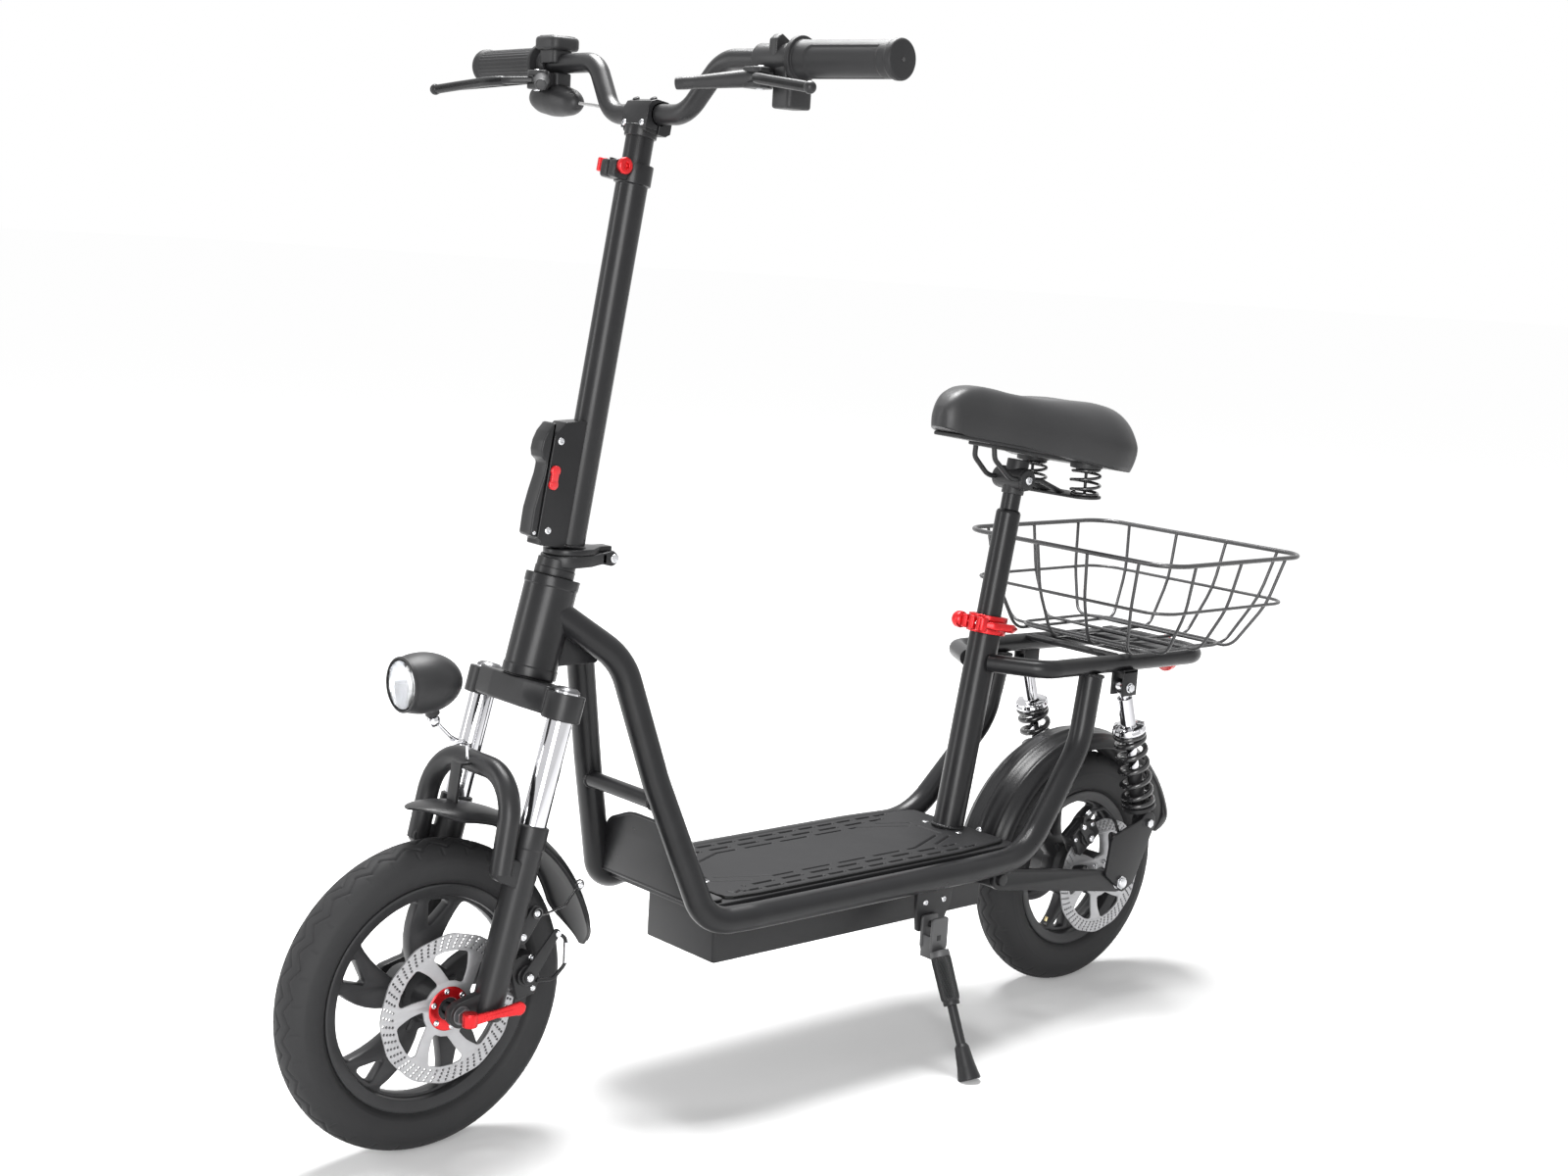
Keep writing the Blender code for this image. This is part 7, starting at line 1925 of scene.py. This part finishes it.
piece(
    "grip_left_rubber", [grip(1.0, 0.0012, 0.0)], grip_rubber, "bars", ["grip_left"],
    sharp=40.0,
)
piece(
    "grip_right_rubber", [grip(-1.0, 0.0, 0.0007)], grip_rubber, "throttle",
    ["throttle_grip"], sharp=40.0,
)
grip_end = bar_point(GRIP_END + 0.0002)
piece(
    "grip_end_slot", [rod(*span(grip_end, BAR_RUN, -0.0015, 0.0004), 0.0022, edge=0.0003)], spring_black,
    "bars",
)


# The brake perches, in moulded black: a sleeve round the bar, a neck forward to the lever's fork and a
# slotted barrel that takes the cable. The left one carries the horn and light switch, the right one the
# display and the key's pod.
LEVER_PIVOT = at(0.197, 0.243, 1.17)
BLADE_DROOP = 0.11


def perch(mirror, inner_end, root):
    """One side's sleeve round the bar, its cable barrel, the fork's two cheeks and the web and boss between
    them."""
    flip = (mirror, 1.0, 1.0)
    barrel_foot = at(0.19, 0.244, 1.17)
    barrel_tip = at(0.12, 0.194, 1.16)
    barrel_run = (barrel_tip - barrel_foot) * flip
    barrel_rows = [
        (0, 0), (0.009, 0), (0.0095, 0.006), (0.0066, 0.066), (0.0068, 0.076), (0.0062, 0.0865), (0, 0.0865),
    ]
    barrel_rows = rounded(barrel_rows, 0.0014, 20.0)
    shapes = [
        sleeve(bar_point(inner_end) * flip, bar_point(0.2195) * flip, 0.0165, 0.0114, 0.0014),
        turned(barrel_rows, barrel_foot * flip, barrel_run, 28),
    ]
    neck = rounded([
        (root - 0.011, 0.262), (root + 0.011, 0.262), (0.2075, 0.246), (0.206, 0.234), (0.198, 0.2315),
        (0.18, 0.233), (0.172, 0.239),
    ], 0.004, 12.0, closed=True) * (mirror, 1.0)
    for height in (1.1775, 1.1625):
        shapes.append(slab(neck, 0.006, level(height), 0.0016))
    web = [(0.172, 0.242), (0.1855, 0.236), (0.1855, 0.262), (root - 0.011, 0.262)]
    boss = [(root - 0.0085, 0.25), (root + 0.0085, 0.25), (root + 0.0085, 0.272), (root - 0.0085, 0.272)]
    shapes += [
        slab(rounded(web, 0.002, 12.0, closed=True) * (mirror, 1.0), 0.018, level(1.17), 0.001),
        slab(rounded(boss, 0.003, 12.0, closed=True) * (mirror, 1.0), 0.02, level(1.172), 0.002),
    ]
    return shapes


switch = perch(1.0, 0.168, 0.184)
switch_fin = [(0.254, 1.19), (0.284, 1.19), (0.281, 1.205), (0.262, 1.2165), (0.254, 1.21)]
switch += [
    slab(rounded(switch_fin, 0.004, 15.0, closed=True), 0.012, lengthwise(0.1995), 0.0022),
    block(at(0.199, 0.255, 1.1405), at(0.229, 0.288, 1.164), 0.003, 0.006),
    block(at(0.199, 0.257, 1.16), at(0.219, 0.281, 1.186), 0.002, 0.004),
]
piece("switch_case", switch, moulded, "bars", ["switch_housing"])
display = perch(-1.0, 0.2055, 0.2105)
display += [
    block(at(-0.2165, 0.247, 1.2045), at(-0.1735, 0.287, 1.2205), 0.0045, 0.01),
    block(at(-0.211, 0.252, 1.19), at(-0.18, 0.28, 1.208), 0.002, 0.006),
]
pod_rows = rounded([
    (0, 0.094), (0.008, 0.091), (0.0145, 0.08), (0.018, 0.058), (0.0187, 0.044), (0.0168, 0.02),
    (0.0118, 0.006), (0.005, 0), (0, 0),
], 0.03, 8.0)
display += [
    turned(pod_rows, at(-0.234, 0.265, 1.153), (1, -0.02, -0.08), 48),
    block(at(-0.217, 0.257, 1.15), at(-0.18, 0.279, 1.18), 0.002, 0.004),
]
piece("display_case", display, moulded, "bars", ["display_housing"])
glass = finish(
    "display_glass", (0.028, 0.029, 0.031), (0.034, 0.035, 0.037), 0.12, spread=0.05, Coat_Weight=1.0,
)
piece(
    "display_window", [block(at(-0.212, 0.251, 1.22), at(-0.178, 0.283, 1.2212), 0.0004, 0.006)], glass,
    "bars",
)
lead = rounded(
    [at(-0.143, 0.263, 1.1457), at(-0.115, 0.2615, 1.1438), at(-0.0925, 0.2585, 1.1415)], 0.06, 8.0,
)
piece(
    "display_lead", [tube(lead, 0.0018, UPRIGHT, 14)],
    finish("grey_lead", (0.3, 0.3, 0.3), (0.4, 0.4, 0.4), 0.5), "bars",
)
for name, mirror in SIDES:
    pivot = LEVER_PIVOT * (mirror, 1.0, 1.0)
    pivot_screw = [
        rod(*span(pivot, UPRIGHT, -0.012, 0.01), 0.0024),
        rod(*span(pivot, UPRIGHT, -0.0125, -0.0094), 0.0042, steps=6),
        screw(pivot + UPRIGHT * 0.01, UPRIGHT, 0.0046, 0.0022),
    ]
    piece(f"perch_screw_{name}", pivot_screw, zinc, "bars")


# The brake levers: forged alloy blades, painted black, that widen toward a ball at the tip. Each turns on a
# screw between the two cheeks of its perch.
for name, mirror in SIDES:
    pivot = LEVER_PIVOT * (mirror, 1.0, 1.0)
    blade = rounded(
        [
            (0.1935, 0.2425), (0.199, 0.236), (0.216, 0.214), (0.24, 0.2), (0.29, 0.192), (0.329, 0.1875),
            (0.33, 0.1955), (0.29, 0.201), (0.244, 0.211), (0.224, 0.224), (0.2045, 0.2435),
        ], [0.001, 0.01, 0.04, 0.06, 0.1, 0.001, 0.001, 0.1, 0.05, 0.04, 0.002], 10.0, closed=True,
    ) * (mirror, 1.0)
    droop_top = at(0, 0, LEVER_PIVOT[2] + BLADE_DROOP * LEVER_PIVOT[0])
    droop = (droop_top, ACROSS - UPRIGHT * BLADE_DROOP * mirror, LENGTHWAYS)
    tip = arc((0, 0), 0.0064, -90, 90, 17)
    piece(
        f"brake_blade_{name}", [
            sleeve(*span(pivot, UPRIGHT, -0.0039, 0.0039), 0.0072, 0.0026),
            slab(blade, 0.0078, droop, 0.0022),
            slab(blade[blade[:, 0] * mirror > 0.222], 0.0104, droop, 0.0034),
            turned(tip, at(0.331 * mirror, 0.1915, 1.1553), UPRIGHT, 28),
        ], cast_soft, f"brake_lever_{name}", [f"brake_lever_{name}"],
    )


bpy.context.view_layer.update()
